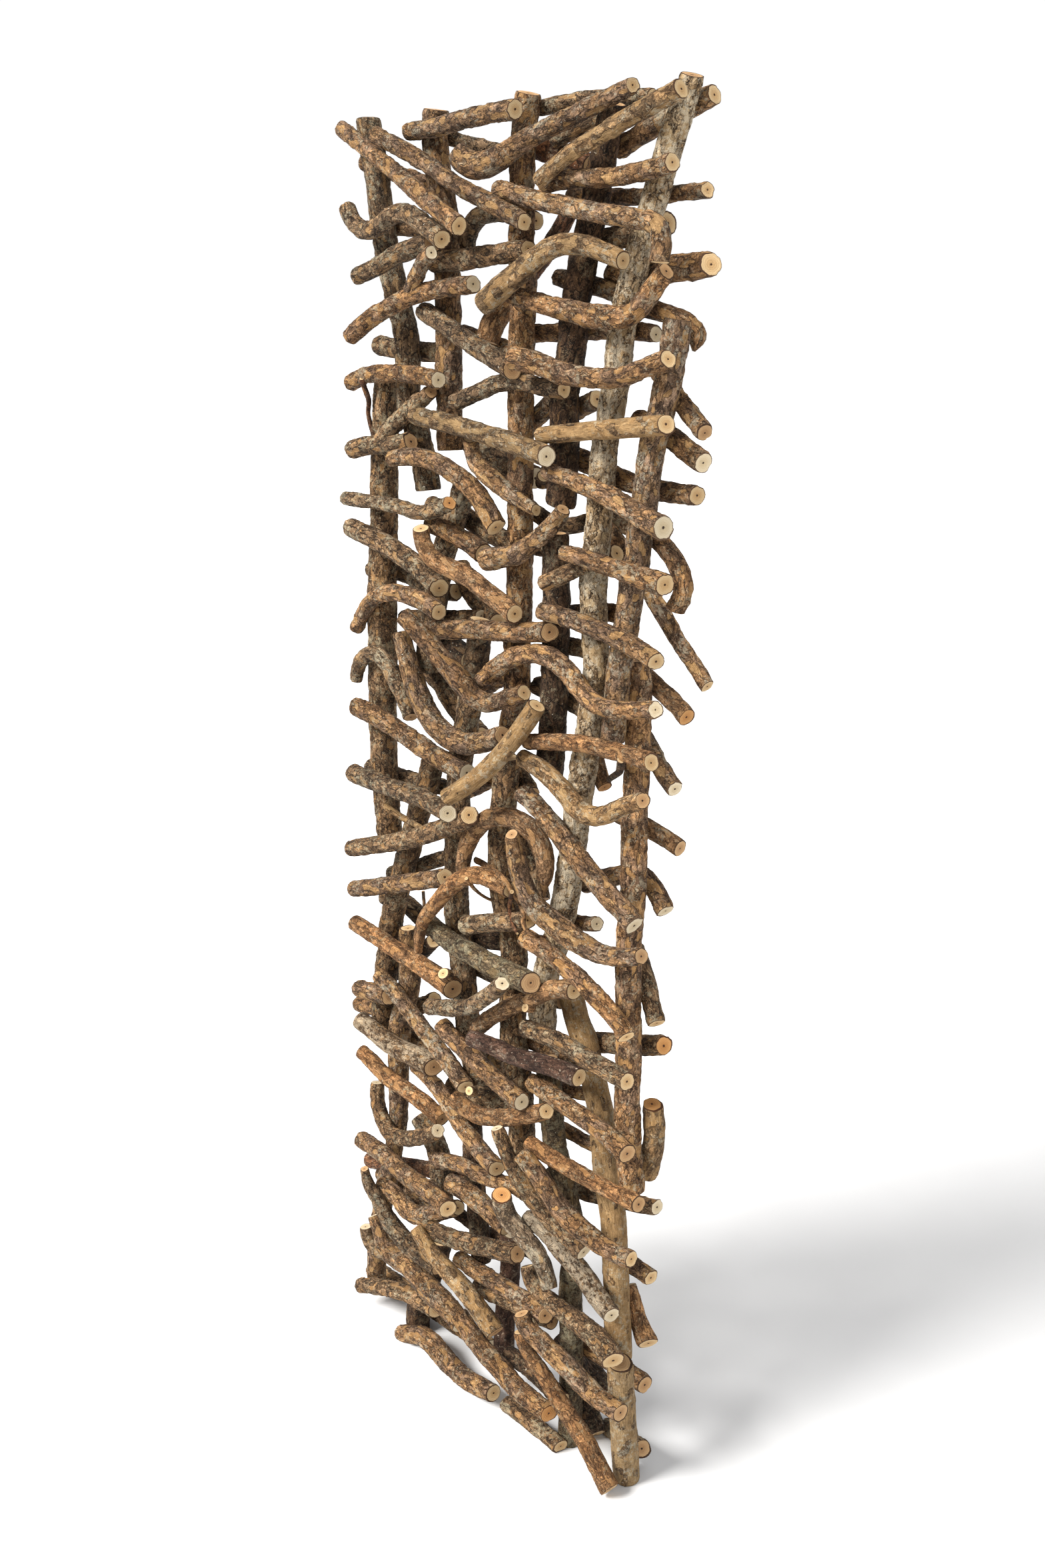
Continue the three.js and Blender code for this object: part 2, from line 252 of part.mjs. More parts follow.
  { name: 'front_branch_28', bark: 'or', sticks: [
    [6, [-78.7, -37.1, 1271.7, 10.9], [-72.9, -36.1, 1247.1, 11.2], [-60.5, -35.5, 1236.7, 11.3], [4.3, -33.5, 1221.5, 11.6], [86.6, -30.5, 1186.9, 12.0]],
  ] },
  { name: 'front_branch_30', bark: 'pl', sticks: [
    [6, [112.0, -18.4, 1399.3, 10.0], [301.9, -19.8, 1424.3, 11.3]],
  ] },
  { name: 'front_branch_32', bark: 'tb', sticks: [
    [6, [9.9, -17.2, 1083.3, 11.0], [68.1, -19.7, 1127.7, 11.3], [116.7, -21.5, 1143.0, 11.5], [155.0, -23.0, 1138.5, 11.7], [205.4, -25.8, 1107.6, 11.2], [227.4, -26.9, 1100.9, 10.9], [314.6, -30.4, 1115.7, 9.7]],
  ] },
  { name: 'front_branch_38', bark: 'tb', sticks: [
    [6, [-75.7, -70.8, 1166.5, 11.0], [28.8, -37.4, 1070.0, 12.2], [51.8, -32.7, 1070.4, 11.1], [96.6, -23.1, 1091.1, 9.8]],
  ] },
  { name: 'front_branch_39', bark: 'tb', sticks: [
    [6, [-141.8, -18.4, 1125.6, 11.5], [-125.5, -19.2, 1085.8, 12.8], [-97.7, -20.3, 1038.7, 14.4], [-82.7, -20.8, 1022.0, 14.9], [-62.1, -21.2, 1008.7, 14.5], [-36.2, -21.6, 1001.2, 14.1], [-13.6, -21.9, 1000.3, 13.7], [60.8, -23.0, 1027.9, 12.5]],
  ] },
  { name: 'front_branch_43', bark: 'pl', sticks: [
    [6, [19.7, -82.6, 948.5, 11.8], [50.2, -68.8, 972.9, 11.8], [78.1, -53.0, 1004.4, 11.9], [115.7, -19.4, 1077.5, 12.2]],
  ] },
  { name: 'front_branch_45', bark: 'pl', sticks: [
    [6, [91.8, -21.2, 1006.7, 10.8], [138.8, -20.6, 995.1, 12.0], [188.1, -19.8, 964.0, 12.8], [204.0, -19.5, 959.6, 12.2], [229.0, -19.2, 964.3, 11.4], [291.5, -18.4, 1000.2, 10.0]],
  ] },
  { name: 'front_branch_47', bark: 'gb', sticks: [
    [6, [-261.5, -18.4, 785.2, 11.6], [-109.4, -29.9, 845.5, 12.3], [20.3, -41.4, 915.0, 12.9]],
  ] },
  { name: 'front_branch_49', bark: 'or', sticks: [
    [6, [-17.9, -18.4, 821.8, 8.9], [-11.5, -18.4, 857.8, 11.0], [12.4, -18.4, 893.6, 11.9], [37.4, -18.4, 911.7, 12.2], [74.2, -18.4, 921.1, 12.6], [106.2, -18.4, 915.8, 13.0], [127.2, -18.4, 899.6, 13.0], [135.3, -18.4, 875.3, 11.8], [134.1, -18.4, 830.6, 6.3]],
  ] },
  { name: 'front_branch_50', bark: 'or', sticks: [
    [6, [-80.9, -43.8, 689.7, 5.5], [-73.7, -40.6, 738.4, 8.6], [-15.3, -35.8, 809.7, 11.0], [25.4, -33.4, 833.1, 11.3], [52.8, -31.8, 834.0, 11.2], [83.6, -29.8, 828.4, 11.1]],
  ] },
  { name: 'front_branch_51', bark: 'tb', sticks: [
    [6, [108.1, -50.5, 915.6, 9.1], [119.9, -42.6, 853.6, 12.1], [132.7, -39.3, 831.9, 12.8], [148.2, -36.7, 818.9, 14.0], [187.2, -31.5, 802.0, 14.4], [235.2, -25.6, 791.2, 12.3], [264.4, -22.3, 794.0, 11.1], [299.4, -18.4, 805.4, 10.3]],
  ] },
  { name: 'front_branch_52', bark: 'tb', sticks: [
    [6, [93.2, -20.8, 962.1, 11.7], [138.0, -20.3, 938.6, 12.1], [285.0, -18.4, 841.0, 13.5]],
  ] },
  { name: 'front_branch_54', bark: 'or', sticks: [
    [6, [-254.9, -19.5, 670.4, 11.8], [-103.3, -21.6, 655.8, 13.1], [-31.9, -22.8, 644.3, 14.7]],
  ] },
  { name: 'front_branch_55', bark: 'gg', sticks: [
    [6, [-94.2, -18.4, 727.8, 12.0], [-30.1, -24.2, 713.8, 13.4], [48.0, -30.7, 711.9, 14.3], [133.2, -37.8, 717.7, 14.5]],
    [6, [-67.2, -36.2, 609.0, 11.2], [26.8, -46.9, 647.3, 10.7], [100.9, -57.6, 711.3, 10.3]],
  ] },
  { name: 'front_branch_58', bark: 'tb', sticks: [
    [6, [113.1, -32.6, 774.2, 11.9], [158.8, -29.4, 764.1, 11.8], [214.0, -25.1, 741.9, 11.6], [262.2, -20.7, 713.2, 11.5], [281.7, -18.4, 691.4, 11.4]],
  ] },
  { name: 'front_branch_60', bark: 'tb', sticks: [
    [6, [-202.0, -18.4, 605.3, 10.7], [-146.2, -18.9, 581.7, 11.1], [-37.4, -20.1, 521.3, 11.9], [-8.9, -20.5, 500.9, 12.1]],
    [6, [-244.2, -22.3, 568.8, 12.9], [-174.9, -19.7, 580.3, 13.6]],
  ] },
  { name: 'front_branch_61', bark: 'li', sticks: [
    [6, [-241.9, -22.9, 517.5, 13.0], [-170.5, -20.8, 503.4, 14.1], [-107.3, -19.2, 505.3, 14.9], [-79.1, -18.4, 501.9, 15.3]],
  ] },
  { name: 'front_branch_63', bark: 'pu', sticks: [
    [6, [23.4, -40.9, 597.3, 10.8], [95.9, -32.1, 596.4, 11.6], [204.7, -18.4, 604.3, 12.8]],
  ] },
  { name: 'front_branch_71', bark: 'gb', sticks: [
    [6, [-206.0, -47.4, 287.8, 6.1], [-201.1, -43.6, 260.9, 8.2], [-156.7, -32.4, 202.9, 13.2], [-118.9, -25.9, 181.8, 14.1], [-66.9, -18.4, 171.1, 12.9]],
  ] },
  { name: 'front_branch_72', bark: 'tb', sticks: [
    [6, [-220.4, -18.4, 184.5, 10.4], [-185.5, -21.6, 142.9, 14.5], [-120.5, -24.6, 142.1, 16.1], [-88.2, -26.4, 132.1, 16.6], [-38.9, -28.9, 125.0, 16.2], [-3.9, -31.1, 111.6, 14.7]],
    [6, [-242.5, -18.4, 152.8, 9.5], [-237.3, -19.1, 133.6, 10.2], [-228.2, -19.6, 127.2, 10.6], [-187.3, -20.6, 133.0, 11.4]],
  ] },
  { name: 'front_branch_75', bark: 'pl', sticks: [
    [6, [-65.5, -64.7, 263.2, 9.7], [-41.1, -60.5, 238.5, 11.1], [33.7, -49.8, 193.8, 13.6], [81.0, -42.1, 154.1, 14.2]],
    [6, [-72.6, -42.6, 249.3, 12.7], [4.7, -37.2, 263.2, 12.8], [109.5, -29.7, 292.6, 12.9]],
  ] },
  { name: 'front_branch_76', bark: 'tb', sticks: [
    [6, [1.4, -41.0, 138.3, 12.7], [48.8, -43.2, 114.1, 13.5], [124.4, -46.3, 91.6, 13.8], [197.7, -49.0, 92.5, 12.8]],
  ] },
  { name: 'front_branch_78', bark: 'or', sticks: [
    [6, [136.0, -47.9, 189.4, 9.2], [148.6, -45.5, 164.4, 9.8], [245.8, -33.8, 76.3, 12.7], [293.9, -26.7, 13.4, 13.6]],
  ] },
  { name: 'front_branch_80', bark: 'gb', sticks: [
    [6, [119.4, -18.4, 273.4, 10.2], [127.4, -20.4, 258.7, 10.7], [140.6, -22.5, 250.2, 11.2], [260.3, -34.8, 250.4, 14.1], [283.2, -37.6, 246.8, 14.8], [301.4, -40.3, 237.5, 15.6]],
  ] },
  { name: 'front_branch_84', bark: 'tb', sticks: [
    [6, [124.3, -41.9, 464.3, 11.6], [150.8, -38.3, 447.2, 12.3], [187.2, -32.3, 411.0, 13.6], [208.9, -29.2, 397.4, 13.8], [259.7, -23.2, 382.0, 12.3], [305.3, -18.4, 382.6, 11.1]],
  ] },
  { name: 'front_branch_86', bark: 'gb', sticks: [
    [6, [75.4, -38.3, 480.4, 9.0], [100.9, -33.1, 431.9, 10.9], [133.9, -28.3, 397.5, 12.6], [164.7, -24.7, 377.0, 12.5], [223.4, -18.4, 351.5, 12.4]],
  ] },
  { name: 'front_branch_90', bark: 'tb', sticks: [
    [6, [-202.5, -18.4, 250.5, 11.3], [-170.7, -18.4, 248.4, 12.3], [-140.0, -18.4, 235.8, 13.6], [-124.9, -18.4, 234.9, 14.1], [-88.3, -18.4, 251.5, 12.8], [-25.8, -18.4, 295.8, 10.6]],
  ] },
];

const wasm = await Module();
wasm.setup();

const yAxis = new THREE.Vector3(0, 1, 0);

// A closed faceted tube along a polyline, with one corner always facing front.
function stickGeometry(sides, rows) {
  const pts = rows.map((q) => new THREE.Vector3(q[0], q[1], q[2]));
  const pos = [];
  const idx = [];
  for (let k = 0; k < pts.length; k++) {
    const t = new THREE.Vector3();
    if (k > 0) t.add(pts[k].clone().sub(pts[k - 1]).normalize());
    if (k < pts.length - 1) t.add(pts[k + 1].clone().sub(pts[k]).normalize());
    t.normalize();
    const u = yAxis.clone().addScaledVector(t, -yAxis.dot(t)).normalize();
    const v = new THREE.Vector3().crossVectors(t, u);
    for (let i = 0; i < sides; i++) {
      const a = (2 * Math.PI * i) / sides;
      const p = pts[k].clone()
        .addScaledVector(u, Math.cos(a) * rows[k][3] * TUBE_SWELL)
        .addScaledVector(v, Math.sin(a) * rows[k][3] * TUBE_SWELL);
      pos.push(p.x, p.y, p.z);
    }
  }
  for (let k = 0; k < pts.length - 1; k++) {
    for (let i = 0; i < sides; i++) {
      const a = k * sides + i;
      const b = k * sides + ((i + 1) % sides);
      idx.push(a, b, b + sides, a, b + sides, a + sides);
    }
  }
  const last = (pts.length - 1) * sides;
  for (let i = 1; i < sides - 1; i++) {
    idx.push(0, i + 1, i);
    idx.push(last, last + i, last + i + 1);
  }
  const g = new THREE.BufferGeometry();
  g.setAttribute('position', new THREE.Float32BufferAttribute(pos, 3));
  g.setIndex(idx);
  return g;
}

function toManifold(g) {
  return new wasm.Manifold(new wasm.Mesh({
    numProp: 3,
    vertProperties: new Float32Array(g.attributes.position.array),
    triVerts: new Uint32Array(g.index.array),
  }));
}

function toGeometry(m) {
  const mesh = m.getMesh();
  const n = mesh.numVert;
  const pos = new Float32Array(n * 3);
  for (let i = 0; i < n; i++) {
    for (let c = 0; c < 3; c++) pos[i * 3 + c] = mesh.vertProperties[i * mesh.numProp + c];
  }
  const g = new THREE.BufferGeometry();
  g.setAttribute('position', new THREE.BufferAttribute(pos, 3));
  g.setIndex(new THREE.BufferAttribute(new Uint32Array(mesh.triVerts), 1));
  g.computeVertexNormals();
  return g;
}

function aboveFloorBlock() {
  const s = CUT_BOX / 2;
  const c = [[-s, -s], [s, -s], [s, s], [-s, s]];
  const pos = [];
  for (const z of [FLOOR_Z, FLOOR_Z + CUT_BOX]) for (const [x, y] of c) pos.push(x, y, z);
  const idx = [0, 2, 1, 0, 3, 2, 4, 5, 6, 4, 6, 7];
  for (let i = 0; i < 4; i++) {
    const j = (i + 1) % 4;
    idx.push(i, j, j + 4, i, j + 4, i + 4);
  }
  const g = new THREE.BufferGeometry();
  g.setAttribute('position', new THREE.Float32BufferAttribute(pos, 3));
  g.setIndex(idx);
  return g;
}

const above = toManifold(aboveFloorBlock());
const screen = new THREE.Group();
screen.name = 'branch_screen';

for (const node of NODES) {
  let solid = null;
  for (const [sides, ...rows] of node.sticks) {
    const m = toManifold(stickGeometry(sides, rows));
    solid = solid ? solid.add(m) : m;
  }
  if (solid.boundingBox().min[2] < FLOOR_Z) solid = solid.intersect(above);
  const mesh = new THREE.Mesh(
    toGeometry(solid),
    new THREE.MeshStandardMaterial({ color: BARK[node.bark], roughness: POLE_ROUGHNESS, metalness: 0 }),
  );
  mesh.name = node.name;
  screen.add(mesh);
}

export default screen;
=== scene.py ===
# Openwork branch screen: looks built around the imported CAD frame.
# Every branch is rebuilt as its own closed, barked mesh along the centre line of
# the CAD stick that it stands for. Lengths in metres, +Z up, -Y is the front.
import math

import bpy
import numpy as np
from mathutils import Matrix


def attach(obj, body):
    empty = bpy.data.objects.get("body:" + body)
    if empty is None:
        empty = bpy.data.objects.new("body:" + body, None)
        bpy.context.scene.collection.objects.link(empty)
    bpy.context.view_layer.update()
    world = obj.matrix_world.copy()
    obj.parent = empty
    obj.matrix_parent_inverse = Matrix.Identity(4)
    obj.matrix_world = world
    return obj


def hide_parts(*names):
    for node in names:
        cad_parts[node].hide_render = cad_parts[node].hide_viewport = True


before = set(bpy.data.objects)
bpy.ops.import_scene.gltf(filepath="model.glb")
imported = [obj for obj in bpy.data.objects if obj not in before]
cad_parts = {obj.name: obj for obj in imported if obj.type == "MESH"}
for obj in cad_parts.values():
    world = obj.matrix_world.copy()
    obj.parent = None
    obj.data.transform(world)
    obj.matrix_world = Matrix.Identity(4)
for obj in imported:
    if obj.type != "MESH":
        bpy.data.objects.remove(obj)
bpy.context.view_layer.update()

# ---- camera -------------------------------------------------------------------
CAM_POS = (1.35111, -1.25817, 1.55200)
CAM_AIM = (-0.7124, 0.7017)      # plan direction the camera looks along
CAM_PITCH = 18.2                 # degrees below level
CAM_ROLL = 1.0                   # degrees
CAM_LENS = 2226.0 / 2352.0 * 36.0

# ---- bark build ----------------------------------------------------------------
RING_STEP = {"U": 0.0032, "F": 0.0030, "B": 0.0042, "T": 0.0030}
SIDES = {"U": 40, "F": 36, "B": 24, "T": 12}
CUT_RINGS = (0.93, 0.80, 0.60, 0.38, 0.17)

# ---- branches: name, bark, CAD node, centre line (x, y, z, radius) in mm --------
STICKS = [
    ('U1', 'gb', 'upright_01', [(-230.9, 10.1, 1759, 15), (-228.8, 10.1, 1743.1, 15), (-225.3, 10.1, 1727.5, 15), (-221, 10.1, 1712.1, 15), (-217, 10.1, 1696.6, 15.1), (-213.9, 10.1, 1680.9, 15.1), (-211.3, 10.1, 1665, 15.1), (-208.5, 10.1, 1649.3, 15.1), (-205.2, 10.1, 1633.6, 15.1), (-201.6, 10.1, 1618, 15.2), (-197.6, 10.1, 1602.5, 15.2), (-193, 10.1, 1587.2, 15.2), (-187.4, 10.1, 1572.2, 15.2), (-181.3, 10.1, 1557.3, 15.2), (-175.4, 10.1, 1542.5, 15.2), (-169.7, 10.1, 1527.5, 15.2), (-163.9, 10.1, 1512.6, 15.2), (-159.4, 10.1, 1497.2, 15.2), (-158, 10.1, 1481.3, 15.3), (-157.8, 10.1, 1465.3, 15.3), (-157.8, 10.1, 1449.3, 15.4), (-157.7, 10.1, 1433.3, 15.4), (-155.9, 10.1, 1417.4, 15.4), (-149, 10.1, 1403, 15.4), (-141.6, 10.1, 1388.8, 15.4), (-135.9, 10.1, 1373.8, 15.4), (-130.8, 10.1, 1358.7, 15.4), (-126.1, 10.1, 1343.4, 15.4), (-122.1, 10.1, 1327.9, 15.5), (-118.8, 10.1, 1312.2, 15.5)]),
    ('U2', 'tb', 'upright_02', [(-102.3, 10.1, 1760.3, 15.1), (-105.1, 10.1, 1744.7, 15.1), (-105.5, 10.1, 1728.9, 15.2), (-103.3, 10.1, 1713.2, 15.2), (-99.8, 10.1, 1697.7, 15.2), (-96.1, 10.1, 1682.2, 15.2), (-92.2, 10.1, 1666.9, 15.2), (-87.9, 10.1, 1651.6, 15.3), (-84.8, 10.1, 1636, 15.3), (-83.9, 10.1, 1620.1, 15.3), (-83.5, 10.1, 1604.3, 15.4), (-83.3, 10.1, 1588.4, 15.4), (-82.9, 10.1, 1572.5, 15.4), (-82.4, 10.1, 1556.6, 15.5), (-81.7, 10.1, 1540.8, 15.5), (-81, 10.1, 1524.9, 15.6), (-80.4, 10.1, 1509, 15.6), (-79.9, 10.1, 1493.2, 15.6), (-79.5, 10.1, 1477.3, 15.7), (-79.1, 10.1, 1461.4, 15.7), (-78.7, 10.1, 1445.5, 15.8), (-78.4, 10.1, 1429.6, 15.8), (-78.1, 10.1, 1413.8, 15.8), (-77.8, 10.1, 1397.9, 15.9), (-77.6, 10.1, 1382, 15.9), (-77.5, 10.1, 1366.1, 16)]),
    ('U3', 'tb', 'upright_03', [(53.8, 10.1, 1767, 14.1), (51.1, 10.1, 1751.4, 14.2), (48.8, 10.1, 1735.7, 14.2), (47, 10.1, 1720, 14.3), (46, 10.1, 1704.1, 14.4), (45.9, 10.1, 1688.3, 14.4), (45.9, 10.1, 1672.4, 14.4), (46, 10.1, 1656.6, 14.5), (46.2, 10.1, 1640.7, 14.5), (46.6, 10.1, 1624.9, 14.6), (47.2, 10.1, 1609.1, 14.6), (48, 10.1, 1593.2, 14.6), (49, 10.1, 1577.4, 14.7), (49.9, 10.1, 1561.6, 14.7), (50.6, 10.1, 1545.8, 14.7), (50.4, 10.1, 1529.9, 14.8), (49.4, 10.1, 1514.1, 14.8), (49, 10.1, 1498.3, 14.9), (48.7, 10.1, 1482.4, 14.9), (48.5, 10.1, 1466.6, 15), (48.5, 10.1, 1450.7, 15), (48.7, 10.1, 1434.9, 15.1), (49.1, 10.1, 1419, 15.1), (49.5, 10.1, 1403.2, 15.1), (49.8, 10.1, 1387.3, 15.2), (50.2, 10.1, 1371.5, 15.2), (50.6, 10.1, 1355.7, 15.3), (50.8, 10.1, 1339.8, 15.3), (50.9, 10.1, 1324, 15.3), (50.9, 10.1, 1308.1, 15.4), (51, 10.1, 1292.3, 15.4), (51.2, 10.1, 1276.4, 15.5), (51.6, 10.1, 1260.6, 15.5), (52, 10.1, 1244.7, 15.5), (52.3, 10.1, 1228.9, 15.6), (52.7, 10.1, 1213, 15.6), (53, 10.1, 1197.2, 15.7), (52.9, 10.1, 1181.3, 15.7), (52, 10.1, 1165.5, 15.8), (51.2, 10.1, 1149.7, 15.8), (51, 10.1, 1133.9, 15.8), (51.3, 10.1, 1118, 15.9), (51.6, 10.1, 1102.2, 15.9), (51.7, 10.1, 1086.3, 16), (50.6, 10.1, 1070.5, 16), (48.5, 10.1, 1054.8, 16.1), (45.5, 10.1, 1039.2, 16.1), (41.1, 10.1, 1024, 16.2)]),
    ('U4', 'dk', 'upright_04', [(184.5, 10.1, 1747.7, 14.1), (179.6, 10.2, 1732.3, 14.3), (175, 10.4, 1716.8, 14.4), (170.8, 10.5, 1701.1, 14.5), (167.3, 10.6, 1685.3, 14.7), (164.2, 10.7, 1669.4, 14.8), (160.7, 10.8, 1653.6, 14.9), (156.5, 10.9, 1638, 15), (152, 11, 1622.4, 15.2), (147.9, 11.2, 1606.8, 15.3), (143.9, 11.3, 1591, 15.4), (140.2, 11.4, 1575.3, 15.5), (136.7, 11.5, 1559.5, 15.7), (133.9, 11.6, 1543.5, 15.8), (132.3, 11.7, 1527.4, 15.9), (131.2, 11.8, 1511.3, 16), (129.5, 11.9, 1495.2, 16.1), (126.3, 12, 1479.3, 16.2), (122.5, 12.1, 1463.5, 16.4), (119.9, 12.2, 1447.6, 16.5), (119.6, 12.3, 1431.4, 16.6), (120.2, 12.4, 1415.2, 16.7), (120.8, 12.5, 1399, 16.8), (121.3, 12.6, 1382.8, 16.9), (121.4, 12.7, 1366.6, 17), (120.3, 12.8, 1350.5, 17.1), (118.3, 12.9, 1334.4, 17.2), (115.9, 13, 1318.4, 17.3)]),
    ('U5', 'pl', 'upright_05', [(289.1, 10.6, 1766.9, 13.4), (283.1, 10.6, 1752.1, 13.5), (277.3, 10.6, 1737.2, 13.6), (271.5, 10.6, 1722.2, 13.7), (265.9, 10.5, 1707.2, 13.8), (260.5, 10.5, 1692.1, 13.8), (255.1, 10.5, 1677, 13.9), (249.7, 10.5, 1661.9, 14), (244.4, 10.5, 1646.8, 14.1), (239.1, 10.5, 1631.7, 14.1), (233.9, 10.5, 1616.6, 14.2), (228.5, 10.5, 1601.5, 14.3), (223.4, 10.5, 1586.3, 14.4), (218.2, 10.5, 1571.1, 14.4), (213.5, 10.5, 1555.9, 14.5), (209.9, 10.5, 1540.2, 14.6), (207.1, 10.5, 1524.5, 14.6), (205.1, 10.4, 1508.6, 14.7), (203.8, 10.4, 1492.6, 14.7), (202.2, 10.4, 1476.7, 14.8), (200.2, 10.4, 1460.8, 14.9), (197.6, 10.4, 1445, 14.9), (194.2, 10.4, 1429.3, 15), (190.7, 10.4, 1413.7, 15), (187.8, 10.4, 1397.9, 15.1), (185.8, 10.4, 1382.1, 15.2), (184.7, 10.4, 1366.1, 15.2), (183.9, 10.4, 1350.1, 15.3), (183, 10.4, 1334.1, 15.3), (182.1, 10.4, 1318.1, 15.4), (181.2, 10.4, 1302.1, 15.4), (180, 10.4, 1286.1, 15.5), (178.4, 10.4, 1270.2, 15.5), (176.8, 10.3, 1254.2, 15.6), (175.9, 10.3, 1238.3, 15.6), (176.3, 10.3, 1222.2, 15.7), (177.6, 10.3, 1206.3, 15.7), (179.3, 10.3, 1190.3, 15.7), (181, 10.3, 1174.4, 15.8), (182.7, 10.3, 1158.5, 15.8), (184.5, 10.3, 1142.6, 15.8), (185.6, 10.3, 1126.6, 15.9), (185.2, 10.3, 1110.6, 15.9), (183.4, 10.3, 1094.7, 16), (181.1, 10.3, 1078.8, 16), (178.9, 10.3, 1063, 16.1), (176.7, 10.3, 1047.1, 16.2), (174.2, 10.3, 1031.3, 16.2), (171.7, 10.3, 1015.4, 16.3), (169, 10.3, 999.7, 16.3), (166.2, 10.2, 983.9, 16.4), (163.6, 10.2, 968.1, 16.5), (161.5, 10.2, 952.2, 16.5), (159.8, 10.2, 936.3, 16.6), (158.2, 10.2, 920.3, 16.6), (156.6, 10.2, 904.4, 16.7), (154.7, 10.2, 888.5, 16.7), (152.6, 10.2, 872.6, 16.8), (150.4, 10.2, 856.7, 16.8), (148, 10.2, 840.9, 16.9), (145.4, 10.2, 825.1, 17), (142.5, 10.2, 809.4, 17), (139.3, 10.2, 793.7, 17.1), (135.6, 10.2, 778.1, 17.2), (131.1, 10.2, 762.7, 17.2), (125.7, 10.2, 747.6, 17.3), (120.4, 10.2, 732.5, 17.4), (116.3, 10.2, 717, 17.4), (113.2, 10.2, 701.3, 17.5), (110.9, 10.2, 685.5, 17.6), (109.6, 10.1, 669.5, 17.6), (109.4, 10.1, 653.5, 17.7), (109.4, 10.1, 637.5, 17.7), (109.6, 10.1, 621.4, 17.8)]),
    ('U6', 'gb', 'upright_06', [(-198.7, 8.4, 1453.8, 15.6), (-200.4, 8.5, 1438.1, 15.8), (-201.8, 8.5, 1422.3, 16), (-202.9, 8.6, 1406.4, 16.3), (-203.8, 8.6, 1390.6, 16.5), (-204.6, 8.7, 1374.8, 16.7), (-205.3, 8.7, 1358.9, 17), (-206.1, 8.7, 1343.1, 17.2), (-206.7, 8.8, 1327.2, 17.4), (-207.3, 8.8, 1311.4, 17.7), (-207.9, 8.9, 1295.5, 17.9), (-208.5, 8.9, 1279.7, 18.1), (-209.2, 9, 1263.9, 18.3), (-210.2, 9, 1248, 18.6), (-211.5, 9.1, 1232.2, 18.8), (-212.7, 9.1, 1216.4, 19), (-213.6, 9.1, 1200.6, 19.3), (-214.5, 9.2, 1184.7, 19.5), (-215.2, 9.2, 1168.9, 19.7), (-215.7, 9.3, 1153, 20), (-215.7, 9.3, 1137.2, 20), (-215.5, 9.3, 1121.3, 19.9), (-215.3, 9.4, 1105.5, 19.8), (-215.5, 9.4, 1089.6, 19.7), (-215.9, 9.5, 1073.7, 19.5), (-216.2, 9.5, 1057.9, 19.4), (-216.5, 9.5, 1042, 19.3), (-216.8, 9.6, 1026.2, 19.1), (-217.1, 9.6, 1010.3, 19), (-217.5, 9.7, 994.5, 18.9), (-217.8, 9.7, 978.6, 18.8), (-218, 9.7, 962.7, 18.6), (-217.8, 9.8, 946.9, 18.5), (-216.8, 9.8, 931.1, 18.4), (-215.6, 9.9, 915.3, 18.2), (-214.4, 9.9, 899.4, 18.1), (-213.1, 9.9, 883.6, 18), (-211.7, 10, 867.8, 17.8), (-210.2, 10, 852, 17.7), (-208.6, 10.1, 836.3, 17.5), (-206.7, 10.1, 820.5, 17.4), (-204.7, 10.1, 804.8, 17.2)]),
    ('U7', 'tb', 'upright_07', [(285.9, 10.1, 1530.6, 14.8), (284.4, 9.8, 1514.6, 14.8), (282.4, 9.4, 1498.6, 14.8), (279.8, 9.1, 1482.7, 14.8), (276.7, 8.7, 1466.9, 14.8), (273.7, 8.4, 1451.1, 14.7), (270.6, 8.1, 1435.3, 14.7), (266.2, 7.7, 1419.9, 14.7), (261.4, 7.4, 1404.5, 14.7), (258.7, 7.1, 1388.6, 14.7), (257.4, 6.7, 1372.6, 14.7), (256, 6.4, 1356.6, 14.7), (254.5, 6.1, 1340.5, 14.6), (252.2, 5.8, 1324.6, 14.6), (249.9, 5.4, 1308.7, 14.6), (248.9, 5.1, 1292.6, 14.6), (248.5, 4.8, 1276.5, 14.5), (246.3, 4.5, 1260.6, 14.5), (242.6, 4.2, 1245, 14.5), (240.3, 3.9, 1229, 14.5), (238.9, 3.6, 1213, 14.5), (237, 3.3, 1197, 14.4), (234.8, 3, 1181.1, 14.4), (232.5, 2.7, 1165.2, 14.4), (230, 2.4, 1149.3, 14.4), (227.9, 2.1, 1133.3, 14.4), (226.7, 1.8, 1117.3, 14.3), (225.9, 1.5, 1101.2, 14.3), (225.4, 1.2, 1085.1, 14.3), (225.1, 0.9, 1069, 14.2), (224.9, 0.6, 1052.9, 14.2)]),
    ('U8', 'gb', 'upright_08', [(-49.7, 10.1, 1324.9, 14.2), (-55.3, 10.2, 1310.3, 14.3), (-61.2, 10.4, 1295.8, 14.4), (-67.5, 10.5, 1281.5, 14.4), (-74.4, 10.6, 1267.4, 14.5), (-81.5, 10.7, 1253.5, 14.6), (-87.7, 10.8, 1239.1, 14.6), (-93, 10.9, 1224.4, 14.7), (-97.6, 11, 1209.5, 14.8), (-101.5, 11.1, 1194.3, 14.8), (-104.7, 11.2, 1179, 14.9), (-107.7, 11.3, 1163.7, 14.9), (-111.4, 11.5, 1148.5, 15), (-116.1, 11.6, 1133.5, 15), (-120.1, 11.7, 1118.4, 15.1), (-122.3, 11.8, 1103, 15.1), (-123.5, 11.9, 1087.4, 15.2), (-124.1, 12, 1071.7, 15.2)]),
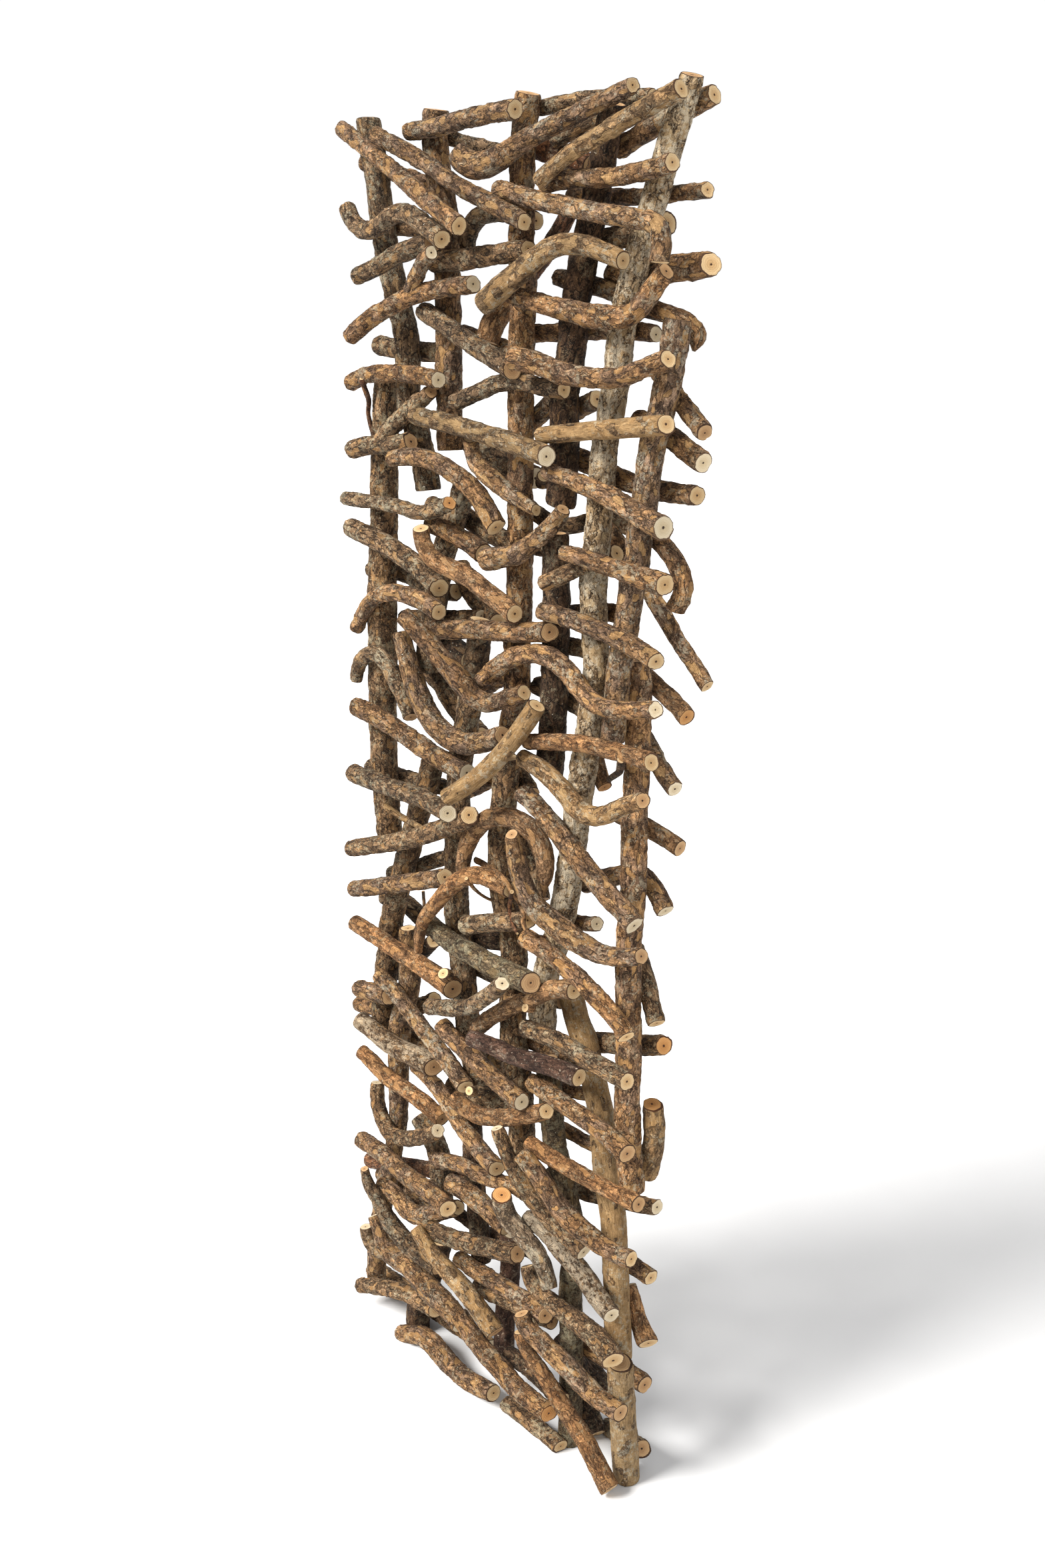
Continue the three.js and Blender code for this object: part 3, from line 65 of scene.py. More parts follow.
    ('U9', 'dk', 'upright_09', [(113.7, 10.1, 1284.3, 15.1), (113.6, 10.1, 1268.3, 15.2), (113.8, 10.1, 1252.2, 15.3), (114.3, 10.1, 1236.1, 15.5), (115.3, 10.1, 1220.1, 15.6), (116.3, 10.1, 1204.1, 15.7), (116.8, 10.1, 1188, 15.9), (117, 10.1, 1171.9, 16), (117, 10.1, 1155.9, 16.1), (116.9, 10.1, 1139.8, 16.2), (116.8, 10.1, 1123.7, 16.4), (116.6, 10.1, 1107.6, 16.5), (116.2, 10.1, 1091.6, 16.6), (115.6, 10.1, 1075.5, 16.8), (114.9, 10.1, 1059.5, 16.9), (114.1, 10.1, 1043.4, 17), (113.4, 10.1, 1027.4, 17.2), (112.7, 10.1, 1011.3, 17.3), (111.8, 10.1, 995.2, 17.5), (111, 10.1, 979.2, 17.6)]),
    ('U10', 'tb', 'upright_10', [(230.8, 33.1, 1147.1, 14.9), (232.3, 32.5, 1131.1, 15), (233.8, 31.9, 1115.1, 15), (235.3, 31.3, 1099.2, 15), (236.6, 30.7, 1083.2, 15), (237.8, 30.2, 1067.2, 15.1), (238.8, 29.6, 1051.1, 15.1), (239.8, 29, 1035.1, 15.1), (240.4, 28.5, 1019.1, 15.2), (240.9, 27.9, 1003, 15.2), (241, 27.3, 987, 15.2), (240.9, 26.8, 970.9, 15.3), (241.2, 26.2, 954.9, 15.3), (242, 25.7, 938.9, 15.4), (243.1, 25.1, 922.8, 15.4), (244.3, 24.6, 906.8, 15.4), (245.3, 24, 890.8, 15.5), (246.3, 23.5, 874.8, 15.5), (246.9, 23, 858.8, 15.5), (246.6, 22.4, 842.7, 15.6), (245.7, 21.9, 826.7, 15.6), (244.9, 21.4, 810.7, 15.7), (245.1, 20.9, 794.6, 15.7), (246, 20.3, 778.6, 15.7), (247, 19.8, 762.6, 15.8), (248.2, 19.3, 746.6, 15.8), (249.6, 18.8, 730.6, 15.8), (251, 18.3, 714.6, 15.9), (252.3, 17.7, 698.6, 15.9), (253.7, 17.2, 682.6, 15.9), (255.1, 16.7, 666.6, 16), (256.5, 16.2, 650.6, 16), (257.8, 15.7, 634.6, 16), (258.6, 15.2, 618.6, 16), (258.7, 14.7, 602.5, 16.1), (258.9, 14.2, 586.5, 16.1), (259.9, 13.7, 570.4, 16.2), (261.7, 13.2, 554.5, 16.2), (263.9, 12.7, 538.6, 16.2), (266.3, 12.2, 522.7, 16.2), (268.8, 11.7, 506.9, 16.3), (271.5, 11.1, 491, 16.3), (274.3, 10.6, 475.2, 16.3), (277.4, 10.1, 459.5, 16.3)]),
    ('U12', 'gb', 'upright_12', [(33.2, 12.1, 985.6, 16.3), (31.7, 12, 969.5, 16.4), (30.3, 11.9, 953.5, 16.4), (28.9, 11.9, 937.4, 16.5), (27.4, 11.8, 921.4, 16.5), (25.8, 11.8, 905.3, 16.6), (24.3, 11.7, 889.3, 16.7), (23.3, 11.7, 873.2, 16.7), (23.1, 11.6, 857, 16.7), (23.9, 11.6, 840.9, 16.8), (25.7, 11.5, 824.9, 16.8), (28.3, 11.5, 809, 16.8), (31.2, 11.4, 793.1, 16.9), (35, 11.4, 777.5, 16.9), (40.3, 11.3, 762.3, 16.9), (45.9, 11.2, 747.1, 16.9), (49.8, 11.2, 731.5, 16.9), (51.3, 11.1, 715.5, 17), (51.5, 11.1, 699.4, 17), (51.7, 11, 683.2, 17), (51.8, 11, 667.1, 17.1), (51.9, 10.9, 651, 17.1), (52, 10.9, 634.9, 17.2), (52.1, 10.8, 618.7, 17.2), (52.5, 10.8, 602.6, 17.2), (54.2, 10.7, 586.6, 17.3), (57.7, 10.7, 570.9, 17.3), (61.6, 10.6, 555.2, 17.3), (64.7, 10.6, 539.4, 17.4), (67.4, 10.5, 523.5, 17.4), (69.7, 10.5, 507.5, 17.4), (71.3, 10.4, 491.5, 17.4), (72.5, 10.4, 475.4, 17.5), (73.6, 10.3, 459.3, 17.5), (74.8, 10.3, 443.2, 17.5), (75.9, 10.2, 427.2, 17.6), (77.1, 10.2, 411.1, 17.6), (78.2, 10.1, 395, 17.6)]),
    ('U13', 'gb', 'upright_13', [(-16.9, 10.1, 1158.3, 15.3), (-18.8, 10.1, 1142.4, 15.4), (-21, 10.1, 1126.6, 15.4), (-23.8, 10.1, 1110.8, 15.5), (-27.1, 10.1, 1095.1, 15.5), (-30.7, 10.1, 1079.6, 15.6), (-34.3, 10.1, 1064, 15.6), (-37.5, 10.1, 1048.3, 15.7), (-40.2, 10.1, 1032.5, 15.8), (-42.7, 10.1, 1016.7, 15.8), (-46, 10.1, 1001, 15.9), (-49.8, 10.1, 985.5, 15.9), (-53.6, 10.1, 969.9, 16), (-56.2, 10.1, 954.2, 16), (-57.7, 10.1, 938.2, 16.1), (-58.9, 10.1, 922.3, 16.1), (-59.8, 10.1, 906.3, 16.2), (-60.5, 10.1, 890.3, 16.2), (-61.1, 10.1, 874.3, 16.3), (-61.4, 10.1, 858.3, 16.3), (-61.7, 10.1, 842.3, 16.4), (-62, 10.1, 826.3, 16.4), (-62.1, 10.1, 810.3, 16.4), (-62.3, 10.1, 794.3, 16.5), (-62.4, 10.1, 778.3, 16.5), (-62.4, 10.1, 762.3, 16.6), (-62.2, 10.1, 746.3, 16.6), (-60.8, 10.1, 730.4, 16.6), (-57.9, 10.1, 714.6, 16.7), (-54.4, 10.1, 699, 16.7), (-51.5, 10.1, 683.3, 16.7), (-49.3, 10.1, 667.4, 16.7), (-47.5, 10.1, 651.5, 16.8), (-45.6, 10.1, 635.6, 16.8), (-43.5, 10.1, 619.8, 16.8), (-41.3, 10.1, 603.9, 16.8), (-38.9, 10.1, 588.1, 16.9), (-36.2, 10.1, 572.3, 16.9), (-32.8, 10.1, 556.7, 16.9), (-28.9, 10.1, 541.2, 16.9), (-24.8, 10.1, 525.7, 17), (-20.6, 10.1, 510.3, 17), (-16.2, 10.1, 494.9, 17)]),
    ('U14', 'gg', 'upright_14', [(119.5, 10.1, 584.6, 15.1), (122.3, 10.1, 568.6, 15.2), (125, 10.1, 552.6, 15.2), (127.3, 10.1, 536.5, 15.2), (129.2, 10.1, 520.3, 15.2), (130.9, 10.1, 504.1, 15.3), (132.9, 10.1, 488, 15.3), (135.8, 10.1, 472, 15.3), (140.5, 10.1, 456.4, 15.3), (146, 10.1, 441.1, 15.3), (151.8, 10.1, 425.9, 15.3), (157.8, 10.1, 410.8, 15.4), (163, 10.1, 395.4, 15.4), (167.8, 10.1, 379.9, 15.4), (171.9, 10.1, 364.1, 15.4), (175.1, 10.1, 348.2, 15.4), (177.2, 10.1, 332.1, 15.4)]),
    ('U14b', 'gg', 'upright_14b', [(177.5, 10.1, 291.5, 15.5), (176.1, 10.1, 275.5, 15.6), (175.4, 10.1, 259.4, 15.6), (175.6, 10.1, 243.3, 15.7), (176.6, 10.1, 227.2, 15.7), (177.9, 10.1, 211.2, 15.7), (179.2, 10.1, 195.1, 15.8), (180.3, 10.1, 179.1, 15.8), (181, 10.1, 163, 15.8), (181.5, 10.1, 146.9, 15.9), (181.8, 10.1, 130.8, 15.9), (182.1, 10.1, 114.7, 15.9), (182.3, 10.1, 98.5, 16), (182.5, 10.1, 82.4, 16), (182.6, 10.1, 66.3, 16), (182.7, 10.1, 50.2, 16.1), (182.7, 10.1, 34.1, 16.1), (182.6, 10.1, 18, 16.2), (182.5, 10.1, 1.9, 16.2), (182.4, 10.1, -14.2, 16.2)]),
    ('U15', 'pl', 'upright_15', [(117, 45.9, 690.7, 16.9), (124.8, 44.9, 676.8, 16.9), (131.9, 43.9, 662.5, 16.9), (138, 42.9, 647.8, 16.9), (145.5, 41.9, 633.8, 16.9), (155.6, 40.9, 621.5, 16.9), (163.7, 39.9, 607.8, 16.9), (170.1, 38.9, 593.2, 17), (176.1, 37.9, 578.5, 17), (182.1, 36.9, 563.7, 17), (188.3, 35.9, 549, 17), (194.7, 34.9, 534.5, 17.1), (199.9, 33.9, 519.4, 17.1), (203.5, 33, 503.9, 17.1), (206.4, 32, 488.2, 17.2), (209.4, 31.1, 472.6, 17.2), (212.9, 30.1, 457, 17.3), (217, 29.1, 441.6, 17.3), (221.5, 28.2, 426.4, 17.3), (226.5, 27.2, 411.2, 17.4), (231.9, 26.2, 396.2, 17.4), (236.1, 25.2, 380.9, 17.4), (239, 24.3, 365.2, 17.5), (241.5, 23.4, 349.5, 17.5), (243.8, 22.5, 333.7, 17.6), (246, 21.5, 317.9, 17.6), (248.1, 20.6, 302.1, 17.7), (250.4, 19.7, 286.4, 17.7), (252.7, 18.8, 270.6, 17.8), (255.1, 17.9, 254.9, 17.8), (257.6, 17, 239.1, 17.9), (260, 16.1, 223.4, 17.9), (262.5, 15.2, 207.6, 18), (265, 14.3, 191.9, 18)]),
    ('U16', 'gb', 'upright_16', [(-110.9, 10.1, 949.1, 15.5), (-115.1, 10.1, 933.7, 15.5), (-120.1, 10.1, 918.4, 15.6), (-125.7, 10.1, 903.4, 15.6), (-131.7, 10.1, 888.5, 15.7), (-137.7, 10.1, 873.6, 15.8), (-143.5, 10.1, 858.6, 15.8), (-149.1, 10.1, 843.6, 15.9), (-154.6, 10.1, 828.5, 16), (-160, 10.1, 813.4, 16), (-165.4, 10.1, 798.2, 16.1), (-170.9, 10.1, 783.2, 16.2), (-176.4, 10.1, 768.1, 16.2), (-181.9, 10.1, 753, 16.3), (-187.3, 10.1, 737.9, 16.4), (-192.3, 10.1, 722.6, 16.4), (-196.9, 10.1, 707.3, 16.5), (-201.3, 10.1, 691.8, 16.5), (-205.3, 10.1, 676.3, 16.6), (-208.4, 10.1, 660.5, 16.6), (-210.7, 10.1, 644.6, 16.7), (-212.5, 10.1, 628.7, 16.7), (-214.6, 10.1, 612.8, 16.8), (-217.5, 10.1, 597, 16.8), (-220.6, 10.1, 581.2, 16.9), (-223.1, 10.1, 565.4, 16.9), (-225.1, 10.1, 549.5, 17), (-226.7, 10.1, 533.5, 17), (-228, 10.1, 517.5, 17.1), (-228.9, 10.1, 501.5, 17.1)]),
    ('U17', 'tb', 'upright_17', [(-169, 10.1, 681, 12.5), (-167.5, 10.1, 665.2, 13), (-166.2, 10.1, 649.4, 13.5), (-165.2, 10.1, 633.5, 14), (-164.4, 10.1, 617.6, 14.4), (-164.2, 10.1, 601.7, 14.9), (-166, 10.1, 585.9, 15.4), (-169.8, 10.1, 570.5, 15.8), (-174.6, 10.1, 555.3, 16.3), (-179.9, 10.1, 540.3, 16.7), (-184.6, 10.1, 525.1, 16.6), (-187.4, 10.1, 509.5, 16.4), (-189.4, 10.1, 493.7, 16.1), (-190.9, 10.1, 477.9, 15.8), (-191.7, 10.1, 462, 15.6), (-191.9, 10.1, 446.1, 15.3), (-191.9, 10.1, 430.2, 15), (-191.7, 10.1, 414.3, 14.7), (-191.6, 10.1, 398.4, 14.4), (-191.6, 10.1, 382.5, 14.2), (-192.4, 10.1, 366.6, 14.2), (-195, 10.1, 350.9, 14.3), (-198.5, 10.1, 335.4, 14.3), (-201.6, 10.1, 319.8, 14.3), (-204.5, 10.1, 304.2, 14.4), (-207.7, 10.1, 288.6, 14.4), (-211.7, 10.1, 273.2, 14.5), (-216.2, 10.1, 258, 14.5), (-220.7, 10.1, 242.7, 14.6), (-224.9, 10.1, 227.4, 14.6), (-229, 10.1, 212, 14.7), (-232.7, 10.1, 196.5, 14.7), (-235.9, 10.1, 180.9, 14.8), (-238.7, 10.1, 165.3, 14.8), (-241.3, 10.1, 149.6, 14.8), (-243.9, 10.1, 133.9, 14.9), (-246.5, 10.1, 118.2, 14.9), (-248.8, 10.1, 102.5, 15), (-250.7, 10.1, 86.7, 15), (-252, 10.1, 70.9, 15), (-253, 10.1, 55, 15.1), (-253.7, 10.1, 39.1, 15.1)]),
    ('U18', 'pl', 'upright_18', [(292.9, -15.6, 214.3, 17.6), (292.1, -13.1, 198.5, 17.7), (291.3, -10.6, 182.6, 17.7), (290.6, -8.1, 166.8, 17.8), (289.9, -5.6, 150.9, 17.9), (289.3, -3.1, 135.1, 17.9), (288.6, -0.7, 119.2, 18), (288, 1.8, 103.4, 18), (287.5, 4.2, 87.5, 18.1), (286.9, 6.6, 71.6, 18.2), (286.4, 9, 55.8, 18.2), (286, 11.4, 39.9, 18.3), (285.6, 13.8, 24, 18.3), (285.2, 16.2, 8.1, 18.4), (284.8, 18.5, -7.7, 18.5)]),
    ('U19', 'gb', 'upright_19', [(-143.2, 10.1, 381.1, 15), (-129.5, 10.4, 372.4, 15.2), (-117.3, 10.8, 361.6, 15.4), (-107, 11.1, 349.1, 15.6), (-99.8, 11.4, 334.6, 15.8), (-97.4, 11.7, 318.6, 16.1), (-96.7, 12, 302.3, 16.3), (-96.5, 12.3, 286.1, 16.5), (-96.4, 12.6, 269.8, 16.8), (-96.4, 12.8, 253.5, 17)]),
    ('U21', 'pu', 'upright_21', [(55, 10.1, 279.9, 14.3), (55.3, 10.1, 264, 14.3), (55.7, 10.1, 248.1, 14.3), (55.9, 10.1, 232.3, 14.4), (55.7, 10.1, 216.4, 14.4), (54.1, 10.1, 200.6, 14.5), (51.9, 10.1, 184.9, 14.5), (49.7, 10.1, 169.2, 14.5), (48.2, 10.1, 153.4, 14.6), (46.9, 10.1, 137.6, 14.6), (46, 10.1, 121.8, 14.7), (45.5, 10.1, 105.9, 14.7), (45.1, 10.1, 90, 14.7), (44.2, 10.1, 74.2, 14.8), (42.4, 10.1, 58.4, 14.8), (39.8, 10.1, 42.8, 14.8)]),
    ('U22', 'dk', 'upright_22', [(-96.5, 10.1, 192.5, 17.2), (-99.2, 10.1, 176.5, 17.2), (-102.9, 10.1, 160.6, 17.3), (-107.7, 10.1, 145.1, 17.4), (-113.5, 10.1, 129.9, 17.4), (-119.7, 10.1, 114.8, 17.5), (-125.8, 10.1, 99.7, 17.5), (-131.6, 10.1, 84.5, 17.6), (-137.5, 10.1, 69.3, 17.7), (-143.6, 10.1, 54.2, 17.8), (-148.2, 10.1, 38.7, 17.8), (-150.1, 10.1, 22.5, 17.9), (-150.7, 10.1, 6.3, 17.9), (-151.1, 10.1, -10, 17.9)]),
    ('B90', 'dk', 'upright_14b', [(156.5, 43.4, 102.2, 15.3), (164.6, 42.4, 89.3, 15.3), (171.2, 41.5, 75.7, 15.3), (176.6, 40.5, 61.6, 15.3), (183.1, 39.6, 47.9, 15.3), (191.3, 38.7, 35.2, 15.3), (199.8, 37.7, 22.6, 15.3), (208, 36.7, 9.9, 15.2)]),
    ('U25', 'dk', 'upright_25', [(-31.2, 10.1, 447.7, 14.3), (-29.5, 10.1, 431.4, 14.4), (-28, 10.1, 415, 14.4), (-26.7, 10.1, 398.6, 14.4), (-25.5, 10.1, 382.3, 14.4), (-24.1, 10.1, 365.9, 14.5), (-22.6, 10.1, 349.5, 14.5), (-21, 10.1, 333.2, 14.5), (-19.2, 10.1, 316.8, 14.5), (-17.2, 10.1, 300.5, 14.6), (-14.7, 10.1, 284.3, 14.6), (-12.2, 10.1, 268.1, 14.6), (-10.2, 10.1, 251.8, 14.6), (-8.5, 10.1, 235.4, 14.7), (-7, 10.1, 219.1, 14.7), (-5.8, 10.1, 202.7, 14.7)]),
    ('F1', 'or', 'upright_01', [(-266.1, -5.9, 1748.7, 9.2), (-251.5, -8.7, 1742.6, 9.3), (-237, -11.4, 1736.5, 9.4), (-222.5, -14.2, 1730.4, 9.4), (-208, -17, 1724.3, 9.5), (-193.5, -19.9, 1718.1, 9.6), (-179, -22.7, 1712, 9.6), (-164.5, -25.6, 1705.9, 9.7), (-150, -28.5, 1699.7, 9.8), (-135.5, -31.5, 1693.6, 9.8), (-121.1, -34.4, 1687.3, 9.9), (-106.7, -37.5, 1680.9, 10), (-92.4, -40.5, 1674.4, 10), (-78.2, -43.6, 1667.9, 10.1), (-63.9, -46.8, 1661.4, 10.1), (-49.5, -49.9, 1655.1, 10.2), (-35, -53, 1649, 10.3), (-20.5, -56.1, 1643.1, 10.3), (-5.9, -59.3, 1637.3, 10.4), (8.7, -62.5, 1631.6, 10.4), (23.3, -65.6, 1626.1, 10.5)]),
    ('F2', 'tb', 'front_branch_09', [(-172.9, -27, 1734.3, 9.7), (-157.7, -27.4, 1729.1, 9.7), (-142.6, -27.8, 1723.8, 9.7), (-127.5, -28.2, 1718.2, 9.7), (-112.5, -28.6, 1712.5, 9.7), (-97.6, -29.1, 1706.5, 9.6), (-82.7, -29.5, 1700.3, 9.6), (-68, -29.9, 1693.9, 9.6), (-53.3, -30.4, 1687.2, 9.6), (-38.7, -30.9, 1680.5, 9.6), (-24, -31.3, 1674.2, 9.6), (-9, -31.8, 1668.4, 9.6), (6.2, -32.2, 1663, 9.6), (21.3, -32.7, 1657.6, 9.6), (36.4, -33.1, 1652.1, 9.6), (51.5, -33.6, 1646.5, 9.6), (66.5, -34.1, 1640.9, 9.6), (81.6, -34.5, 1635.3, 9.6), (96.6, -35, 1629.6, 9.6)]),
    ('F3', 'tb', 'upright_02', [(-127.9, -12.7, 1736.2, 10), (-112, -13.2, 1736.4, 10), (-96.1, -13.6, 1736.8, 10), (-80.3, -14.1, 1737.5, 10), (-64.4, -14.5, 1738.8, 10.1), (-48.6, -15, 1740.5, 10.1), (-32.9, -15.5, 1742.3, 10.1), (-17, -15.9, 1743.7, 10.2), (-1.2, -16.4, 1744.8, 10.2), (14.7, -16.9, 1745.7, 10.2), (30.5, -17.4, 1746.4, 10.2), (46.4, -17.9, 1747, 10.3), (62.3, -18.4, 1747.4, 10.3)]),
    ('F5', 'tb', 'front_branch_05', [(-30.9, -18.4, 1705.8, 13.9), (-17.2, -18.4, 1696.7, 14), (-1.5, -18.4, 1692.4, 14.2), (14.9, -18.4, 1693.6, 14.4), (31, -18.4, 1696.9, 13.5), (46.7, -18.4, 1702, 12.4), (61.7, -18.4, 1708.7, 11.3), (77.1, -18.4, 1714.6, 10.8), (92.8, -18.4, 1719.5, 10.5), (108.6, -18.4, 1724, 10.2), (124.5, -18.4, 1728.4, 10.1), (140.4, -18.4, 1732.8, 10), (156.3, -18.4, 1737.1, 9.9), (172.2, -18.4, 1741.3, 9.5), (188.1, -18.4, 1745.6, 9.2), (204, -18.4, 1749.8, 8.9), (219.9, -18.4, 1754.1, 8.5), (235.8, -18.4, 1758.4, 8.2)]),
    ('F7', 'pl', 'front_branch_07', [(114.5, -31.8, 1670.6, 8.7), (127.3, -30.8, 1679.5, 8.8), (140.5, -29.8, 1687.7, 8.9), (154.2, -28.7, 1695, 9), (168.4, -27.8, 1701.4, 9.1), (182.9, -26.8, 1707.2, 9.2), (197.4, -25.8, 1712.9, 9.3), (211.8, -24.7, 1718.8, 9.4), (226.2, -23.7, 1724.6, 9.5), (240.8, -22.7, 1730.2, 9.6), (255.4, -21.6, 1735.6, 9.7), (270.1, -20.5, 1740.7, 9.8), (284.8, -19.5, 1745.7, 9.9), (299.6, -18.4, 1750.5, 10)]),
    ('F8', 'tb', 'upright_04', [(99.9, -8.8, 1669.6, 9.6), (116, -9.6, 1671.7, 9.6), (132, -10.3, 1673.2, 9.6), (148.2, -11.1, 1673.6, 9.6), (164.3, -11.8, 1673.3, 9.5), (180.5, -12.6, 1672.8, 9.5), (196.6, -13.3, 1672.6, 9.5), (212.8, -14.1, 1673.1, 9.5), (228.9, -15, 1674.3, 9.5), (245, -15.8, 1675.9, 9.5), (261, -16.6, 1677.7, 9.5), (277, -17.5, 1680, 9.5), (292.9, -18.4, 1682.7, 9.4)]),
    ('F9', 'tb', 'front_branch_09', [(38.2, -20.8, 1666.2, 10.2), (54.2, -21.6, 1662.9, 10.2), (70.2, -22.3, 1659.7, 10.2), (86.3, -23.1, 1656.5, 10.1), (102.3, -23.8, 1653.4, 10.1), (118.4, -24.6, 1650.5, 10.1), (134.5, -25.4, 1647.5, 10.1), (150.6, -26.2, 1644.8, 10.1), (166.7, -27, 1642.1, 10.1), (182.9, -27.8, 1639.6, 10.1), (199.1, -28.7, 1637.2, 10.1), (215.3, -29.5, 1634.9, 10.1), (231.5, -30.4, 1632.7, 10), (247.7, -31.2, 1630.7, 10), (264, -32.1, 1629.2, 10), (280.2, -33, 1627.2, 10), (294, -34, 1619.3, 10), (297.8, -35.3, 1603.6, 10.1), (297.2, -36.6, 1587.4, 10.2)]),
    ('F10', 'gb', 'front_branch_10', [(-241.8, -18.4, 1655.1, 10.1), (-231.5, -20.8, 1643.3, 10.2), (-218.9, -23.1, 1634, 10.3), (-204.6, -25.1, 1627.6, 10.3), (-189, -27, 1625.6, 10.4), (-173.4, -28.8, 1627.5, 10.4), (-158.3, -30.7, 1631.8, 10.4), (-143.9, -32.8, 1638.1, 10.5), (-128.9, -34.8, 1642.6, 10.5), (-113.2, -36.7, 1644.2, 10.5), (-97.5, -38.6, 1643.2, 10.6), (-82.5, -40.6, 1638.6, 10.6), (-68.1, -42.7, 1632.3, 10.7), (-53.7, -44.8, 1626.1, 10.7), (-39.3, -46.9, 1619.7, 10.8), (-25, -49.1, 1613.1, 10.8)]),
    ('F11', 'gb', 'upright_02', [(-199.7, -39.5, 1571.8, 10), (-184.7, -38.3, 1575.9, 10.2), (-169.8, -37.1, 1580.3, 10.4), (-155.1, -35.9, 1585.2, 10.6), (-140.6, -34.6, 1590.9, 10.8), (-126.2, -33.4, 1596.6, 11), (-111.4, -32.1, 1601.2, 11.3), (-96.3, -30.8, 1604.9, 11.5), (-81.1, -29.6, 1608.1, 11.7), (-65.8, -28.4, 1610.5, 11.9)]),
    ('F12', 'tb', 'front_branch_12', [(-218.2, -35.4, 1498.6, 11), (-204.5, -34.4, 1507.6, 11), (-190.4, -33.4, 1515.8, 10.9), (-175.8, -32.4, 1523.3, 10.8), (-160.8, -31.4, 1530.1, 10.8), (-145.6, -30.4, 1536.2, 10.7), (-130.3, -29.4, 1541.9, 10.6), (-114.7, -28.4, 1547, 10.6), (-98.9, -27.4, 1551.2, 10.5), (-82.8, -26.4, 1554.4, 10.4), (-66.6, -25.4, 1557, 10.4), (-50.4, -24.4, 1559.2, 10.3), (-34.1, -23.3, 1561.1, 10.3), (-17.8, -22.3, 1562.7, 10.2), (-1.5, -21.3, 1564, 10.1)]),
    ('F12b', 'tb', 'front_branch_12', [(-106.8, -26.7, 1550.5, 10.1), (-97.5, -31, 1562.6, 9.8), (-86.7, -35, 1573.5, 9.5), (-74.8, -38.9, 1583.3, 9.1), (-61.7, -42.4, 1591.6, 8.8), (-48, -45.8, 1599, 8.6)]),
    ('F13', 'gy', 'upright_02', [(-80.5, -15.4, 1589.5, 12), (-65.2, -15.7, 1590, 11.9), (-50, -15.9, 1590.6, 11.7), (-34.7, -16.2, 1591.4, 11.6), (-19.5, -16.5, 1592.3, 11.5), (-4.2, -16.7, 1593.4, 11.3), (11, -17, 1594.8, 11.2), (26.2, -17.3, 1596.3, 11), (41.4, -17.5, 1597.8, 10.9), (56.6, -17.8, 1599.3, 10.8), (71.8, -18.1, 1600.8, 10.6), (87, -18.4, 1602.3, 10.5)]),
    ('F14', 'pl', 'front_branch_14', [(42.6, -45.9, 1542.1, 13.7), (55.6, -43.8, 1551.5, 13.5), (68.8, -41.6, 1560.8, 13.2), (82.1, -39.5, 1569.8, 13), (95.6, -37.4, 1578.5, 12.7), (108.8, -35.2, 1587.6, 12.3), (122.1, -33, 1596.6, 11.9), (136.8, -30.8, 1603, 11.5), (152.5, -28.8, 1606.5, 11.1), (168.5, -26.8, 1606.4, 10.7), (184.5, -24.7, 1604.3, 10.5), (199.9, -22.6, 1600, 10.3), (215.1, -20.5, 1594.8, 10.1), (230.3, -18.4, 1589.6, 9.9)]),
    ('F15', 'gb', 'upright_02', [(-102.2, -12.2, 1533, 10.6), (-87.3, -13.7, 1528, 10.7), (-72.3, -15.3, 1522.8, 10.8), (-57.4, -16.9, 1517.5, 10.8), (-42.6, -18.5, 1512, 10.9), (-27.8, -20.2, 1506.5, 11), (-13, -21.9, 1501, 11.1), (1.9, -23.5, 1495.9, 11.1), (17, -25.2, 1491, 11.2), (32, -26.8, 1486.3, 11.3), (47.1, -28.5, 1481.4, 11.3), (62.1, -30.2, 1476.6, 11.4), (77.1, -32, 1471.8, 11.5)]),
    ('F16', 'tb', 'upright_06', [(-247.6, -12.7, 1439.8, 10.5), (-232.4, -13.9, 1445.5, 10.5), (-216.9, -15.2, 1450.3, 10.5), (-201, -16.5, 1453.5, 10.5), (-184.8, -17.7, 1455, 10.5), (-168.6, -19, 1455.8, 10.5), (-152.3, -20.3, 1456.6, 10.5), (-136.1, -21.6, 1457.3, 10.5), (-119.9, -22.9, 1457.5, 10.5), (-103.6, -24.2, 1457.1, 10.5), (-87.4, -25.6, 1456.1, 10.5), (-71.2, -27, 1454.6, 10.5), (-55.1, -28.3, 1452.8, 10.5)]),
    ('F17', 'gb', 'upright_04', [(-34.8, -21.1, 1427.2, 9.7), (-19.1, -20.3, 1432.5, 9.7), (-3.5, -19.6, 1438.2, 9.7), (11.8, -18.8, 1444.4, 9.7), (27, -18, 1450.8, 9.7), (43.1, -17.2, 1454.7, 9.7), (59.5, -16.4, 1456.8, 9.8), (76, -15.6, 1457.1, 9.8), (92.4, -14.8, 1455.3, 9.8), (108.8, -14, 1453.3, 9.8), (125.3, -13.2, 1452.1, 9.8), (141.8, -12.3, 1451.2, 9.8)]),
    ('F18', 'tb', 'front_branch_18', [(93.2, -47, 1485, 12.8), (109.4, -45, 1483.9, 12.5), (125.5, -43, 1481.8, 12.3), (141.2, -40.8, 1477.6, 12), (156.7, -38.7, 1472.8, 11.7), (172.6, -36.5, 1469.9, 11.4), (188.8, -34.4, 1468.4, 11.1), (205, -32.2, 1468.1, 10.9), (221.3, -30, 1468.5, 10.7), (237.4, -27.8, 1469.8, 10.5), (253, -25.5, 1474.4, 10.3), (268.1, -23.2, 1480.2, 10.2), (283.3, -20.8, 1485.8, 10), (298.4, -18.4, 1491.7, 9.8)]),
